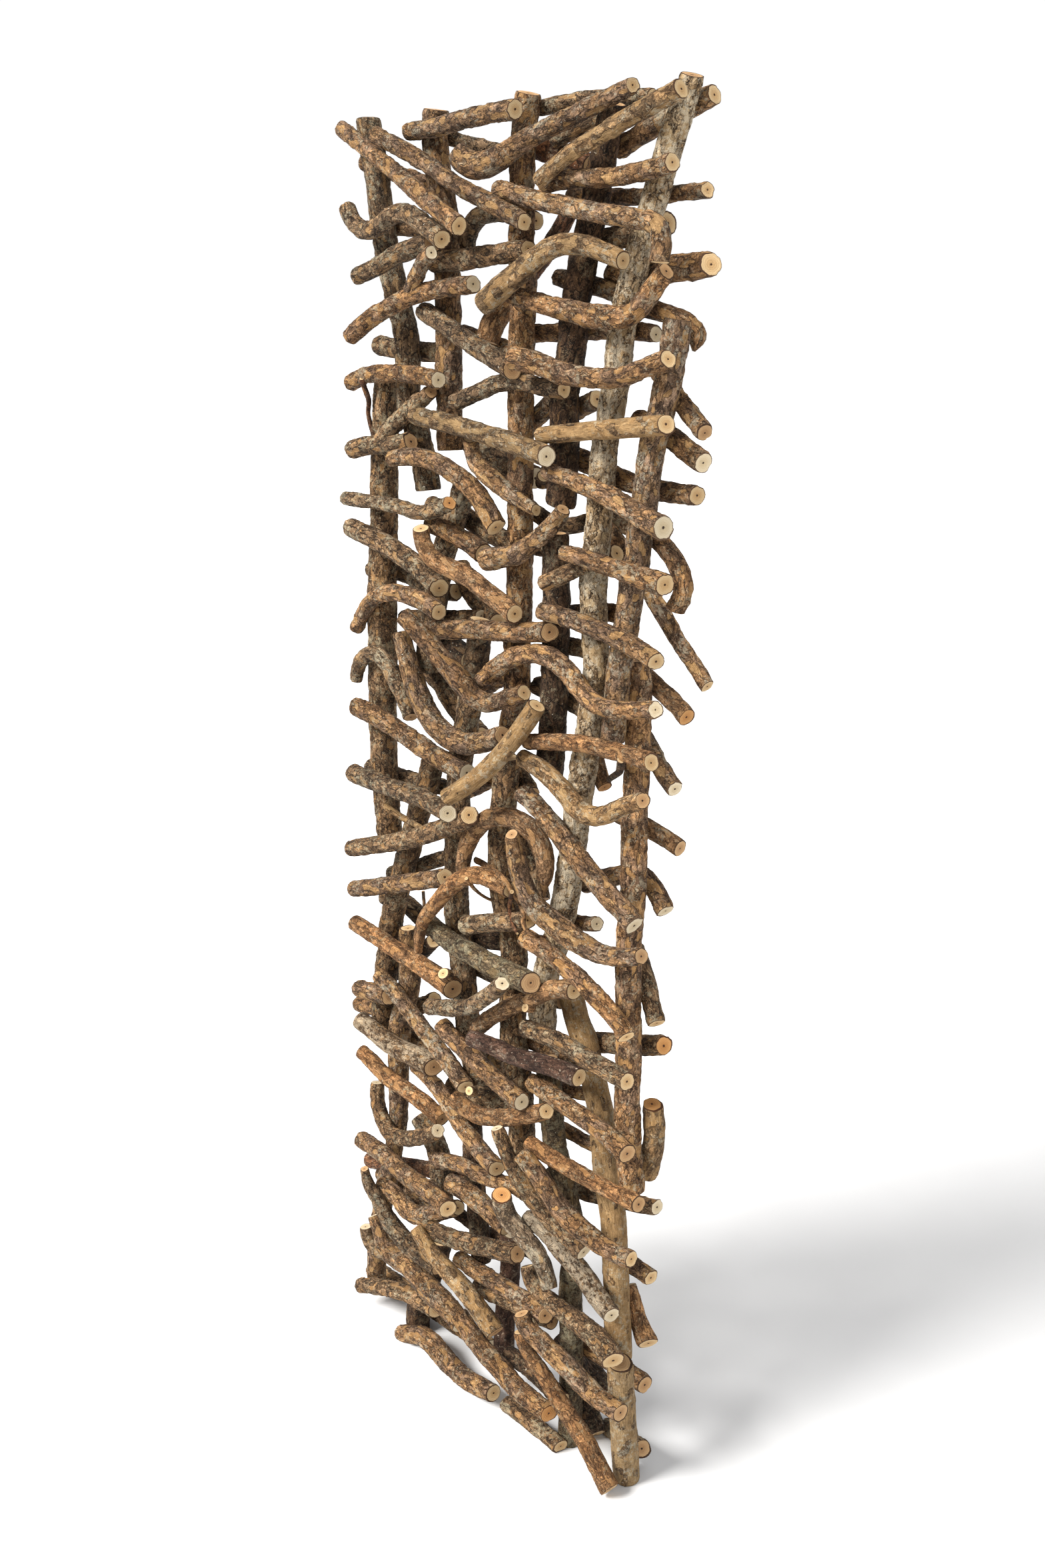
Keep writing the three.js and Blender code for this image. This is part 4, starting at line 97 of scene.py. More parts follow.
    ('F19', 'pl', 'front_branch_19', [(59, -18.3, 1553.3, 9.9), (74.5, -18.3, 1550.3, 10.2), (90, -18.3, 1547.4, 10.5), (105.5, -18.3, 1544.7, 10.8), (121.1, -18.4, 1542.2, 11), (136.6, -18.4, 1539.8, 11.3), (152.2, -18.4, 1537.6, 11.6), (167.8, -18.4, 1535.4, 11.8), (183.5, -18.4, 1533.4, 12.1), (199.2, -18.4, 1532.2, 12.3), (214.9, -18.4, 1531.6, 11.9), (230.7, -18.4, 1531.7, 11.6), (245.9, -18.4, 1535.3, 11.2), (258.7, -18.4, 1544.4, 10.9), (269.3, -18.4, 1556, 10.5), (279.7, -18.4, 1567.9, 10.1), (291, -18.4, 1578.8, 9.7)]),
    ('F21', 'gb', 'upright_06', [(-240.5, -18.4, 1354.8, 11.5), (-225.7, -18.4, 1358.9, 11.5), (-210.8, -18.4, 1362.3, 11.6), (-195.7, -18.4, 1364.6, 11.6), (-180.5, -18.4, 1366, 11.6), (-165.2, -18.4, 1366.9, 11.7), (-150, -18.4, 1368.3, 11.7), (-135.1, -18.4, 1371.4, 11.8), (-120.4, -18.4, 1375.9, 11.8)]),
    ('F21b', 'gb', 'upright_06', [(-178.9, -18.4, 1372.2, 11.6), (-166.2, -18, 1382.7, 11.3), (-153.2, -17.6, 1392.9, 10.9), (-139.8, -17.2, 1402.5, 10.5), (-126.1, -16.8, 1411.6, 10.1), (-112.1, -16.5, 1420.4, 9.8), (-98, -16.1, 1429, 9.4), (-83.8, -15.7, 1437.4, 9.1)]),
    ('F22', 'pl', 'front_branch_22', [(-97.6, -30.5, 1408.1, 10.8), (-81.7, -30.8, 1407.3, 10.9), (-65.7, -31.2, 1406.3, 10.9), (-49.8, -31.6, 1405.2, 11), (-33.9, -31.9, 1403.9, 11.1), (-18, -32.3, 1402.4, 11.2), (-2.1, -32.7, 1400.8, 11.3), (13.7, -33.1, 1398.9, 11.4), (29.6, -33.5, 1396.9, 11.5), (45.4, -33.9, 1394.8, 11.6), (61.2, -34.3, 1392.5, 11.7), (76.9, -34.7, 1390, 11.7), (92.7, -35.1, 1387.4, 11.8), (108.4, -35.5, 1384.8, 11.9), (124.2, -36, 1382.1, 12), (139.9, -36.4, 1379.2, 12.1)]),
    ('F23', 'tb', 'front_branch_23', [(-144.5, -30.8, 1351.9, 10.2), (-128.7, -30.1, 1354.8, 10.3), (-112.8, -29.3, 1356.9, 10.5), (-96.8, -28.5, 1358.4, 10.7), (-80.7, -27.6, 1358.3, 10.8), (-65, -26.7, 1355.2, 11), (-49.7, -25.8, 1350.5, 11.2), (-34.5, -24.9, 1345.3, 11.4), (-19.7, -23.9, 1339, 11.6), (-5.6, -22.9, 1331.3, 11.8), (7.4, -21.9, 1322, 12.1), (19.2, -20.7, 1311.2, 12.3), (29.6, -19.6, 1299, 12.6), (38.5, -18.4, 1285.6, 12.9)]),
    ('F24', 'tb', 'upright_03', [(-9.1, -16.7, 1386.6, 8.9), (-7.2, -16, 1371, 9.5), (0.1, -15.3, 1357.3, 10.2), (13.3, -14.8, 1348.8, 10.7), (27.3, -14.2, 1341.6, 11.1), (41.3, -13.7, 1334.5, 10.6), (55.7, -13.1, 1328, 9.7), (70.3, -12.6, 1322.1, 8.8), (85.2, -12, 1316.8, 7.9), (100.2, -11.5, 1312.1, 7.1)]),
    ('F25', 'gb', 'upright_06', [(-266, -11.5, 1288, 9), (-249.7, -13.1, 1288.8, 9), (-233.4, -14.6, 1289.5, 9), (-217.1, -16.2, 1290.1, 9), (-200.8, -17.9, 1290.7, 9), (-184.5, -19.5, 1291.2, 9), (-168.2, -21.2, 1291.6, 9), (-151.9, -22.9, 1291.9, 9), (-135.5, -24.6, 1291.6, 9), (-119.3, -26.4, 1290.5, 9), (-103, -28.2, 1289.3, 9), (-86.8, -30, 1289.9, 9), (-70.7, -31.7, 1292.8, 9), (-55, -33.5, 1297.1, 9), (-39.6, -35.3, 1302.4, 9), (-24.6, -37.2, 1308.7, 9)]),
    ('F26', 'tb', 'front_branch_26', [(121.1, -18.4, 1360.6, 9.3), (136.9, -18.8, 1358.2, 9.6), (152.6, -19.2, 1355.6, 9.9), (168.4, -19.6, 1352.9, 10.2), (184.1, -20, 1349.9, 10.5), (199.8, -20.4, 1346.7, 10.8), (215.4, -20.9, 1343.1, 11.1), (230.8, -21.3, 1339, 11.4), (246.2, -21.7, 1334.5, 11.7), (261.5, -22.2, 1329.9, 12), (276.8, -22.7, 1325.3, 12.3), (292, -23.1, 1320.5, 12.7), (307.2, -23.6, 1315.5, 13)]),
    ('F27', 'gb', 'upright_06', [(-242.5, -21.5, 1252.5, 12.6), (-227.2, -21.3, 1249.9, 12.6), (-211.9, -21, 1247.1, 12.7), (-196.7, -20.6, 1244.1, 12.8), (-181.6, -20.3, 1240.7, 12.8), (-166.5, -20, 1237, 12.9), (-151.6, -19.7, 1232.9, 13), (-136.7, -19.4, 1228.4, 13.1), (-122, -19.1, 1223.6, 13.2), (-107.5, -18.7, 1218, 13.3), (-93.5, -18.4, 1211.4, 13.4), (-80.1, -18, 1203.5, 13.5), (-67.3, -17.6, 1194.7, 13.6)]),
    ('F28', 'or', 'front_branch_28', [(-78.7, -37.1, 1271.7, 10.9), (-76.4, -36.5, 1255.4, 11.1), (-68, -35.8, 1241.6, 11.3), (-53.5, -35.3, 1233.8, 11.3), (-37.6, -34.8, 1229.6, 11.4), (-21.3, -34.3, 1227.2, 11.5), (-5, -33.8, 1224.2, 11.5), (10.7, -33.3, 1219.3, 11.6), (26.1, -32.7, 1213.3, 11.7), (41.4, -32.2, 1207, 11.8), (56.6, -31.6, 1200.6, 11.9), (71.7, -31, 1193.9, 12), (86.6, -30.5, 1186.9, 12)]),
    ('F29a', 'tb', 'upright_08', [(-88.8, -14.5, 1274.6, 11), (-72.8, -13.2, 1272.3, 11.2), (-57, -11.8, 1269.2, 11.5), (-41.4, -10.4, 1265.3, 11.7), (-26.1, -8.9, 1260.4, 11.9), (-11.1, -7.4, 1254.5, 12.2), (3.5, -5.9, 1247.7, 12.4)]),
    ('F29b', 'tb', 'upright_09', [(26, -22.7, 1245.6, 13.9), (41.7, -21.5, 1248.2, 13.4), (57.2, -20.2, 1251.5, 12.9), (72.3, -18.9, 1256.2, 12.4), (86.4, -17.6, 1263.5, 11.9), (99.5, -16.2, 1272.4, 11.4), (112, -14.8, 1282.1, 10.9), (123.8, -13.3, 1292.7, 10.4), (134.6, -11.8, 1304.3, 9.8), (144.2, -10.2, 1316.9, 9.3)]),
    ('F30', 'pl', 'front_branch_30', [(112, -18.4, 1399.3, 10), (127.8, -18.5, 1401.5, 10.1), (143.6, -18.6, 1403.7, 10.2), (159.5, -18.7, 1405.8, 10.3), (175.3, -18.8, 1407.9, 10.4), (191.1, -18.9, 1410.1, 10.6), (206.9, -19.1, 1412.2, 10.7), (222.7, -19.2, 1414.3, 10.8), (238.5, -19.3, 1416.3, 10.9), (254.4, -19.4, 1418.4, 11), (270.2, -19.5, 1420.4, 11.1), (286, -19.7, 1422.3, 11.2), (301.9, -19.8, 1424.3, 11.3)]),
    ('F31', 'tb', 'upright_09', [(-73.1, -24.4, 1141.6, 12), (-57.4, -23.8, 1144.1, 12), (-41.8, -23.2, 1146.7, 12), (-26.2, -22.5, 1149.2, 12), (-10.5, -21.9, 1151.6, 12), (5.2, -21.2, 1153.8, 12), (20.9, -20.6, 1155.4, 12), (36.7, -19.9, 1156.9, 12), (52.4, -19.2, 1158.8, 12), (68.1, -18.5, 1161.1, 12), (83.7, -17.8, 1163.6, 12), (99.3, -17.1, 1166.1, 12), (114.9, -16.4, 1168.7, 12), (130.6, -15.7, 1171.2, 12)]),
    ('F32', 'tb', 'front_branch_32', [(9.9, -17.2, 1083.3, 11), (21.5, -17.7, 1094.2, 11.1), (33.7, -18.3, 1104.4, 11.1), (46.6, -18.8, 1113.8, 11.2), (59.8, -19.4, 1122.7, 11.3), (73.6, -19.9, 1130.6, 11.3), (88.4, -20.5, 1136.6, 11.4), (103.8, -21, 1140.6, 11.4), (119.5, -21.6, 1143.2, 11.5), (135.4, -22.2, 1142.9, 11.6), (151, -22.9, 1139.7, 11.7), (165.8, -23.6, 1133.7, 11.8), (179.4, -24.3, 1125.4, 11.7), (192.2, -25.1, 1116, 11.4), (205.7, -25.9, 1107.5, 11.2), (220.6, -26.6, 1102.1, 11), (236.4, -27.2, 1100.9, 10.8), (252.3, -27.9, 1102.4, 10.5), (268, -28.5, 1105, 10.3), (283.6, -29.2, 1108.2, 10.1), (299.2, -29.8, 1111.8, 9.9), (314.6, -30.4, 1115.7, 9.7)]),
    ('F33', 'tb', 'upright_07', [(166.6, -33.3, 1272.6, 9.2), (181.6, -30.6, 1271.3, 9.6), (196.6, -27.8, 1269.6, 9.9), (211.5, -25.1, 1267.4, 10.3), (226.3, -22.2, 1264.6, 10.6), (241.1, -19.4, 1261.9, 11), (255.9, -16.5, 1259.3, 11.4), (270.7, -13.6, 1256.7, 11.8), (285.5, -10.7, 1254.2, 12.1), (300.4, -7.7, 1251.7, 12.5)]),
    ('F34', 'gb', 'upright_05', [(125.2, -22.8, 1228.5, 9.5), (137.8, -20.3, 1235.3, 9.4), (150.4, -17.7, 1241.9, 9.4), (163.2, -15.2, 1248.5, 9.3), (175.9, -12.6, 1254.9, 9.3), (188.8, -9.9, 1261.2, 9.2)]),
    ('F37', 'tb', 'upright_07', [(122.8, -23.1, 1196.9, 10.3), (139.4, -22.8, 1196.3, 10.4), (155.9, -22.4, 1195.4, 10.4), (172.4, -22, 1194.1, 10.5), (188.9, -21.6, 1192.4, 10.6), (205.3, -21.1, 1190.2, 10.7), (221.6, -20.7, 1187.6, 10.7), (237.9, -20.3, 1184.7, 10.8), (254.1, -19.8, 1181.3, 10.9), (270.2, -19.4, 1177.2, 11), (286, -18.9, 1172.4, 11.1), (301.6, -18.5, 1166.9, 11.2)]),
    ('F38', 'tb', 'front_branch_38', [(-75.7, -70.8, 1166.5, 11), (-63.8, -67.3, 1156.8, 11.3), (-52.1, -63.7, 1146.9, 11.7), (-40.6, -60.2, 1136.6, 11.8), (-29.5, -56.6, 1126, 11.8), (-18.4, -53, 1115.4, 12.4), (-7.2, -49.4, 1104.9, 13.5), (3.9, -45.8, 1094.4, 14), (13.9, -42.2, 1082.7, 13.2), (24.5, -38.5, 1071.9, 12.4), (39.4, -35.2, 1068.5, 11.7), (54.5, -32.1, 1071.5, 11), (68.5, -29.2, 1078.1, 10.5), (82.5, -26.2, 1084.7, 10.2), (96.6, -23.1, 1091.1, 9.8)]),
    ('F39', 'tb', 'front_branch_39', [(-141.8, -18.4, 1125.6, 11.5), (-136.3, -18.7, 1110.4, 12), (-130.1, -19, 1095.6, 12.5), (-123.1, -19.3, 1081.1, 13), (-115.2, -19.7, 1067, 13.5), (-106.9, -20, 1053.2, 13.9), (-98.2, -20.3, 1039.5, 14.4), (-88, -20.6, 1027.1, 14.9), (-75.8, -20.9, 1016.6, 14.8), (-61.8, -21.2, 1008.6, 14.5), (-46.6, -21.5, 1003.5, 14.3), (-30.7, -21.7, 1000.5, 14), (-14.6, -21.9, 1000.3, 13.8), (1.1, -22.2, 1003.4, 13.5), (16.4, -22.4, 1008.6, 13.3), (31.5, -22.6, 1014.4, 13), (46.3, -22.8, 1020.8, 12.8), (60.8, -23, 1027.9, 12.5)]),
    ('F40', 'gy', 'upright_06', [(-243.4, -14.3, 1112.7, 9.2), (-233.9, -16, 1125.4, 9.4), (-223.6, -17.6, 1137.6, 9.6), (-212.8, -19.2, 1149.2, 9.8), (-201, -20.7, 1159.9, 10), (-187.3, -22.3, 1167.8, 10.2), (-172.3, -23.6, 1173.2, 10.4), (-156.9, -25, 1177.2, 10.5), (-141.2, -26.4, 1179.9, 10.7), (-125.3, -27.8, 1180.7, 10.9), (-109.4, -29.3, 1180.1, 11), (-93.5, -30.8, 1178.9, 11.2), (-77.8, -32.4, 1176.9, 11.4), (-62.2, -34.1, 1173.8, 11.6), (-46.8, -35.8, 1169.9, 11.8)]),
    ('F41', 'gy', 'upright_06', [(-240.9, -18.4, 1039.7, 8.3), (-238, -18.4, 1055.8, 9.1), (-230, -18.4, 1070.1, 9.8), (-217.2, -18.4, 1080.3, 10.3), (-202, -18.4, 1086.5, 10.8), (-185.8, -18.4, 1086.9, 11), (-172.1, -18.4, 1078, 11.2), (-161, -18.4, 1065.9, 11.5), (-150.7, -18.4, 1053.1, 11.6), (-139.9, -18.4, 1040.7, 11), (-130.7, -18.4, 1027.1, 10.4), (-123.9, -18.4, 1012.1, 9.8)]),
    ('F42', 'tb', 'upright_06', [(-239.7, -20.5, 1003.6, 13), (-224.2, -20.5, 1002.1, 13), (-208.7, -20.5, 1000.4, 13), (-193.2, -20.5, 998.2, 13), (-177.8, -20.5, 995.8, 13), (-162.5, -20.5, 992.8, 13), (-147.3, -20.4, 989.3, 13), (-132.2, -20.4, 985.6, 13), (-117, -20.4, 981.8, 13), (-101.9, -20.4, 978, 13), (-86.8, -20.4, 974.1, 13), (-71.6, -20.3, 970.6, 13), (-56.3, -20.3, 967.6, 13), (-40.9, -20.3, 965, 13), (-25.5, -20.3, 962.7, 13), (-10, -20.3, 960.7, 13)]),
    ('F43', 'pl', 'front_branch_43', [(19.7, -82.6, 948.5, 11.8), (31.9, -77.4, 957.4, 11.8), (43.5, -72.1, 966.9, 11.8), (54.5, -66.6, 977, 11.9), (64.8, -61, 987.9, 11.9), (74.3, -55.4, 999.4, 11.9), (83, -49.6, 1011.5, 12), (90.7, -43.7, 1024.1, 12), (97.8, -37.7, 1037.1, 12), (104.4, -31.6, 1050.3, 12.1), (110.4, -25.5, 1063.8, 12.1), (115.7, -19.4, 1077.5, 12.2)]),
    ('F44', 'or', 'upright_09', [(95.4, -14.4, 1025.9, 9.9), (110.8, -15.6, 1029.6, 10), (126.2, -16.8, 1033.3, 10), (141.6, -18.1, 1037, 10), (157, -19.3, 1040.7, 10.1), (172.5, -20.6, 1044.2, 10.1), (188.1, -21.9, 1047, 10.2), (203.8, -23.2, 1049, 10.2), (219.5, -24.5, 1050.6, 10.3), (235.3, -25.9, 1051.9, 10.3), (251.1, -27.3, 1053, 10.3), (266.9, -28.7, 1053.7, 10.4), (282.8, -30.2, 1054.3, 10.4), (298.6, -31.7, 1054.8, 10.5), (314.4, -33.1, 1055.2, 10.5)]),
    ('F45', 'pl', 'front_branch_45', [(91.8, -21.2, 1006.7, 10.8), (107.4, -21.1, 1004.1, 11.2), (122.8, -20.9, 1000.4, 11.6), (137.8, -20.6, 995.5, 12), (152.2, -20.4, 988.9, 12.3), (165.7, -20.2, 980.6, 12.6), (178, -19.9, 970.7, 12.8), (191.5, -19.7, 962.5, 12.7), (206.9, -19.5, 959.7, 12.1), (222.5, -19.3, 962.1, 11.6), (236.8, -19.1, 968.6, 11.2), (249.8, -18.9, 977.6, 10.8), (263.2, -18.7, 986, 10.6), (277.2, -18.6, 993.4, 10.3), (291.5, -18.4, 1000.2, 10)]),
    ('F46', 'gb', 'upright_06', [(-261.2, -11.8, 900, 12.4), (-245.6, -14.6, 900.7, 12.4), (-229.9, -17.5, 901.6, 12.4), (-214.3, -20.4, 902.6, 12.3), (-198.8, -23.3, 903.9, 12.3), (-183.2, -26.2, 905.3, 12.3), (-167.6, -29.1, 907, 12.3), (-152.1, -32, 908.7, 12.2), (-136.6, -34.9, 910.5, 12.2), (-121.1, -37.8, 912.3, 12.2), (-105.6, -40.8, 914.2, 12.2), (-90.1, -43.8, 916.1, 12.1), (-74.5, -46.9, 917.9, 12.1), (-59, -50, 919.3, 12.1), (-43.5, -53.3, 920.3, 12.1), (-28, -56.6, 920.7, 12), (-12.4, -60, 920.6, 12), (3.1, -63.5, 920.1, 12)]),
    ('F47', 'gb', 'front_branch_47', [(-261.5, -18.4, 785.2, 11.6), (-246.2, -19.5, 790.9, 11.7), (-230.9, -20.6, 796.7, 11.8), (-215.6, -21.7, 802.6, 11.8), (-200.3, -22.8, 808.4, 11.9), (-185, -24, 814.3, 12), (-169.7, -25.1, 820.2, 12), (-154.5, -26.3, 826.1, 12.1), (-139.3, -27.5, 832.3, 12.2), (-124.3, -28.7, 838.8, 12.2), (-109.4, -29.9, 845.5, 12.3), (-94.6, -31.1, 852.6, 12.4), (-79.9, -32.3, 859.7, 12.4), (-65.3, -33.6, 867, 12.5), (-50.7, -34.9, 874.5, 12.5), (-36.3, -36.1, 882.2, 12.6), (-22, -37.4, 890.1, 12.7), (-7.8, -38.7, 898.3, 12.7), (6.3, -40.1, 906.6, 12.8), (20.3, -41.4, 915, 12.9)]),
    ('F48', 'tb', 'upright_16', [(-260.6, -14.5, 720.8, 11.8), (-245.5, -14.9, 726.3, 11.8), (-230.5, -15.3, 731.9, 11.8), (-215.6, -15.7, 737.6, 11.8), (-200.6, -16.1, 743.5, 11.9), (-185.8, -16.5, 749.4, 11.9), (-170.9, -16.9, 755.4, 11.9), (-156.1, -17.3, 761.4, 12), (-141.2, -17.7, 767.4, 12), (-126.3, -18.1, 773.2, 12), (-111.4, -18.5, 779, 12.1), (-96.5, -18.9, 784.9, 12.1), (-81.5, -19.4, 790.7, 12.1), (-66.6, -19.8, 796.6, 12.2), (-51.7, -20.2, 802.4, 12.2)]),
    ('F49', 'or', 'front_branch_49', [(-17.9, -18.4, 821.8, 8.9), (-16.6, -18.4, 838.1, 9.9), (-12.9, -18.4, 854.1, 10.8), (-5.9, -18.4, 869, 11.5), (3.1, -18.4, 882.7, 11.7), (13.9, -18.4, 895.1, 11.9), (26.4, -18.4, 905.7, 12.1), (41, -18.4, 913.1, 12.2), (56.7, -18.4, 918.1, 12.4), (72.8, -18.4, 921, 12.6), (89.2, -18.4, 919.9, 12.8), (105.1, -18.4, 916.1, 13), (119.5, -18.4, 908.3, 13.3), (129.6, -18.4, 895.4, 12.8), (134.7, -18.4, 879.9, 12), (135.6, -18.4, 863.5, 10.6), (134.9, -18.4, 847.1, 8.5), (134.1, -18.4, 830.6, 6.3)]),
    ('F50', 'or', 'front_branch_50', [(-80.9, -43.8, 689.7, 5.5), (-80.4, -42.8, 705.2, 6.5), (-79.2, -41.8, 720.7, 7.5), (-75, -40.8, 735.5, 8.4), (-66.7, -39.9, 748.5, 9.2), (-57, -39.2, 760.7, 9.9), (-47.2, -38.4, 772.7, 10.2), (-37.7, -37.5, 785, 10.5), (-28, -36.7, 797.1, 10.7), (-17.1, -35.9, 808.1, 11), (-4.9, -35.1, 817.7, 11.2), (8.2, -34.4, 826, 11.4), (22.4, -33.6, 832.1, 11.3), (37.7, -32.7, 834.5, 11.3), (53.2, -31.8, 834, 11.2), (68.5, -30.8, 831.9, 11.2), (83.6, -29.8, 828.4, 11.1)]),
    ('F51', 'tb', 'front_branch_51', [(108.1, -50.5, 915.6, 9.1), (109.6, -48.5, 900, 10), (111.8, -46.6, 884.4, 11), (114.7, -44.7, 869, 11.8), (119.6, -42.7, 854.1, 12.1), (126.8, -40.6, 840.2, 12.4), (136.4, -38.6, 827.8, 13.1), (149, -36.6, 818.5, 14), (163, -34.6, 811.4, 14.8), (177.5, -32.7, 805.4, 14.6), (192.4, -30.8, 800.4, 14.3), (207.6, -28.9, 796.3, 13.9), (222.9, -27, 792.9, 13), (238.5, -25.2, 791.1, 12.1), (254.2, -23.4, 792.1, 11.3), (269.5, -21.7, 795.4, 11), (284.6, -20, 800.1, 10.7), (299.4, -18.4, 805.4, 10.3)]),
    ('F52', 'tb', 'front_branch_52', [(93.2, -20.8, 962.1, 11.7), (107.9, -20.7, 955.2, 11.8), (122.3, -20.5, 947.7, 11.9), (136.4, -20.3, 939.6, 12.1), (149.9, -20.2, 930.7, 12.2), (163.3, -20, 921.4, 12.3), (176.6, -19.8, 912.2, 12.5), (190.1, -19.6, 903.1, 12.6), (203.5, -19.5, 894, 12.7), (217, -19.3, 884.9, 12.9), (230.5, -19.1, 876, 13), (244.6, -18.9, 867.7, 13.1), (259, -18.7, 860.2, 13.2), (272.6, -18.6, 851.5, 13.4), (285, -18.4, 841, 13.5)]),
    ('F53', 'gb', 'upright_12', [(-13.5, -18.4, 744, 12.5), (0.9, -17.9, 749.8, 12.4), (15.4, -17.3, 755.4, 12.4), (30, -16.8, 760.9, 12.3), (44.6, -16.3, 766.2, 12.3), (59.2, -15.8, 771.5, 12.2), (73.8, -15.2, 776.9, 12.1), (88.4, -14.7, 782.5, 12.1), (102.9, -14.1, 788.1, 12)]),
    ('F54', 'or', 'front_branch_54', [(-254.9, -19.5, 670.4, 11.8), (-238.9, -19.7, 669.2, 11.9), (-222.9, -19.9, 667.9, 11.9), (-206.9, -20.1, 666.4, 12), (-190.9, -20.4, 664.6, 12.1), (-175, -20.6, 662.7, 12.2), (-159.1, -20.8, 660.9, 12.2), (-143.1, -21.1, 659.3, 12.3), (-127.1, -21.3, 658, 12.6), (-111.1, -21.5, 656.6, 12.9), (-95.2, -21.8, 654.8, 13.2), (-79.3, -22, 652.6, 13.6), (-63.4, -22.3, 650.1, 14), (-47.6, -22.5, 647.3, 14.3), (-31.9, -22.8, 644.3, 14.7)]),
    ('F55', 'gg', 'front_branch_55', [(-94.2, -18.4, 727.8, 12), (-78.7, -19.9, 722.5, 12.4), (-62.8, -21.3, 718.4, 12.8), (-46.7, -22.8, 715.4, 13.1), (-30.4, -24.2, 713.8, 13.4), (-14, -25.5, 713.3, 13.7), (2.4, -26.9, 713.2, 14), (18.7, -28.2, 712.7, 14.3), (35.1, -29.6, 712.1, 14.3), (51.5, -31, 712, 14.3), (67.9, -32.3, 712.8, 14.4), (84.2, -33.7, 714, 14.4), (100.6, -35.1, 715.3, 14.4), (116.9, -36.4, 716.5, 14.4), (133.2, -37.8, 717.7, 14.5)]),
    ('F56', 'gb', 'front_branch_55', [(-67.2, -36.2, 609, 11.2), (-52.7, -37.8, 614, 11.1), (-38.2, -39.4, 619.2, 11), (-23.8, -41, 624.6, 10.9), (-9.5, -42.6, 630.4, 10.9), (4.6, -44.2, 636.3, 10.8), (18.6, -45.9, 642.7, 10.7), (31.8, -47.5, 650.6, 10.7), (44.2, -49.1, 659.7, 10.6), (56.1, -50.8, 669.3, 10.5), (67.9, -52.4, 679.3, 10.5), (79.3, -54.2, 689.6, 10.4), (90.2, -55.9, 700.3, 10.4), (100.9, -57.6, 711.3, 10.3)]),
    ('F57', 'or', 'upright_05', [(9.9, -20, 597.1, 10.9), (21, -19.7, 608.2, 11), (32.3, -19.4, 619, 11.1), (43.8, -19.1, 629.5, 11.1), (55.6, -18.8, 639.8, 11.2), (67.8, -18.5, 649.6, 11.3), (80.4, -18.2, 658.8, 11.3), (93.3, -17.9, 667.7, 11.4), (106.4, -17.5, 676.3, 11.4), (119.3, -17.2, 685.1, 11.5), (131.6, -16.9, 694.7, 11.5), (144.2, -16.6, 704, 11.6), (158.2, -16.2, 711, 11.7), (173.1, -15.8, 715.7, 11.7), (188.4, -15.5, 718.8, 11.8)]),
    ('F58', 'tb', 'front_branch_58', [(113.1, -32.6, 774.2, 11.9), (128.9, -31.6, 771.6, 11.9), (144.6, -30.5, 768.2, 11.8), (159.9, -29.4, 763.7, 11.8), (174.9, -28.2, 758.2, 11.7), (189.8, -27.1, 752.2, 11.7), (204.6, -25.9, 746.2, 11.6), (219, -24.7, 739.3, 11.6), (232.7, -23.4, 731, 11.5), (246.3, -22.2, 722.6, 11.5), (260.1, -20.9, 714.6, 11.5), (272.3, -19.6, 704.3, 11.4), (281.7, -18.4, 691.4, 11.4)]),
    ('F59', 'tb', 'front_branch_60', [(-244.2, -22.3, 568.8, 12.9), (-226.9, -21.6, 571.5, 13.1), (-209.5, -21, 574.3, 13.3), (-192.2, -20.3, 577.3, 13.4), (-174.9, -19.7, 580.3, 13.6)]),
    ('F60', 'tb', 'front_branch_60', [(-202, -18.4, 605.3, 10.7), (-187.1, -18.5, 600.3, 10.8), (-172.5, -18.6, 594.5, 10.9), (-158.2, -18.8, 588, 11), (-144.3, -18.9, 580.7, 11.1), (-130.5, -19.1, 573, 11.2), (-116.9, -19.2, 565.2, 11.3), (-103.1, -19.4, 557.5, 11.4), (-89.3, -19.5, 550, 11.5), (-75.5, -19.7, 542.5, 11.6), (-61.7, -19.8, 534.9, 11.7), (-47.9, -20, 527.3, 11.8), (-34.3, -20.2, 519.3, 11.9), (-21.3, -20.3, 510.5, 12), (-8.9, -20.5, 500.9, 12.1)]),
    ('F61', 'li', 'front_branch_61', [(-241.9, -22.9, 517.5, 13), (-225.7, -22.4, 514.6, 13.2), (-209.6, -22, 511.4, 13.5), (-193.5, -21.5, 507.7, 13.7), (-177.5, -21, 504.2, 14), (-161.1, -20.6, 502.9, 14.2), (-144.6, -20.2, 503.1, 14.4), (-128.2, -19.7, 504.4, 14.6), (-111.8, -19.3, 505.3, 14.8), (-95.3, -18.9, 504.5, 15), (-79.1, -18.4, 501.9, 15.3)]),
    ('F62', 'tb', 'upright_13', [(-65.9, -14.7, 574, 12.2), (-51.2, -16.2, 568.9, 12.2), (-36.3, -17.6, 564.6, 12.3), (-21.2, -19.1, 561, 12.3), (-6.1, -20.5, 557.5, 12.3), (9.1, -22, 554, 12.3), (24.2, -23.5, 550.6, 12.3), (39.5, -25, 547.6, 12.3), (54.7, -26.5, 544.4, 12.3), (69.9, -28, 541.2, 12.4), (85.2, -29.5, 538.6, 12.4), (100.6, -31, 536.7, 12.4), (116.1, -32.4, 535.5, 12.4)]),
    ('F63', 'pu', 'front_branch_63', [(23.4, -40.9, 597.3, 10.8), (39.9, -39, 597.8, 11), (56.5, -37, 597.7, 11.2), (73, -34.9, 596.9, 11.4), (89.5, -32.9, 596.3, 11.6), (106, -30.8, 596.9, 11.7), (122.4, -28.8, 598.5, 11.9), (138.8, -26.9, 601, 12.1), (155.2, -24.8, 603.1, 12.2), (171.7, -22.7, 603.9, 12.4), (188.2, -20.6, 604.2, 12.6), (204.7, -18.4, 604.3, 12.8)]),
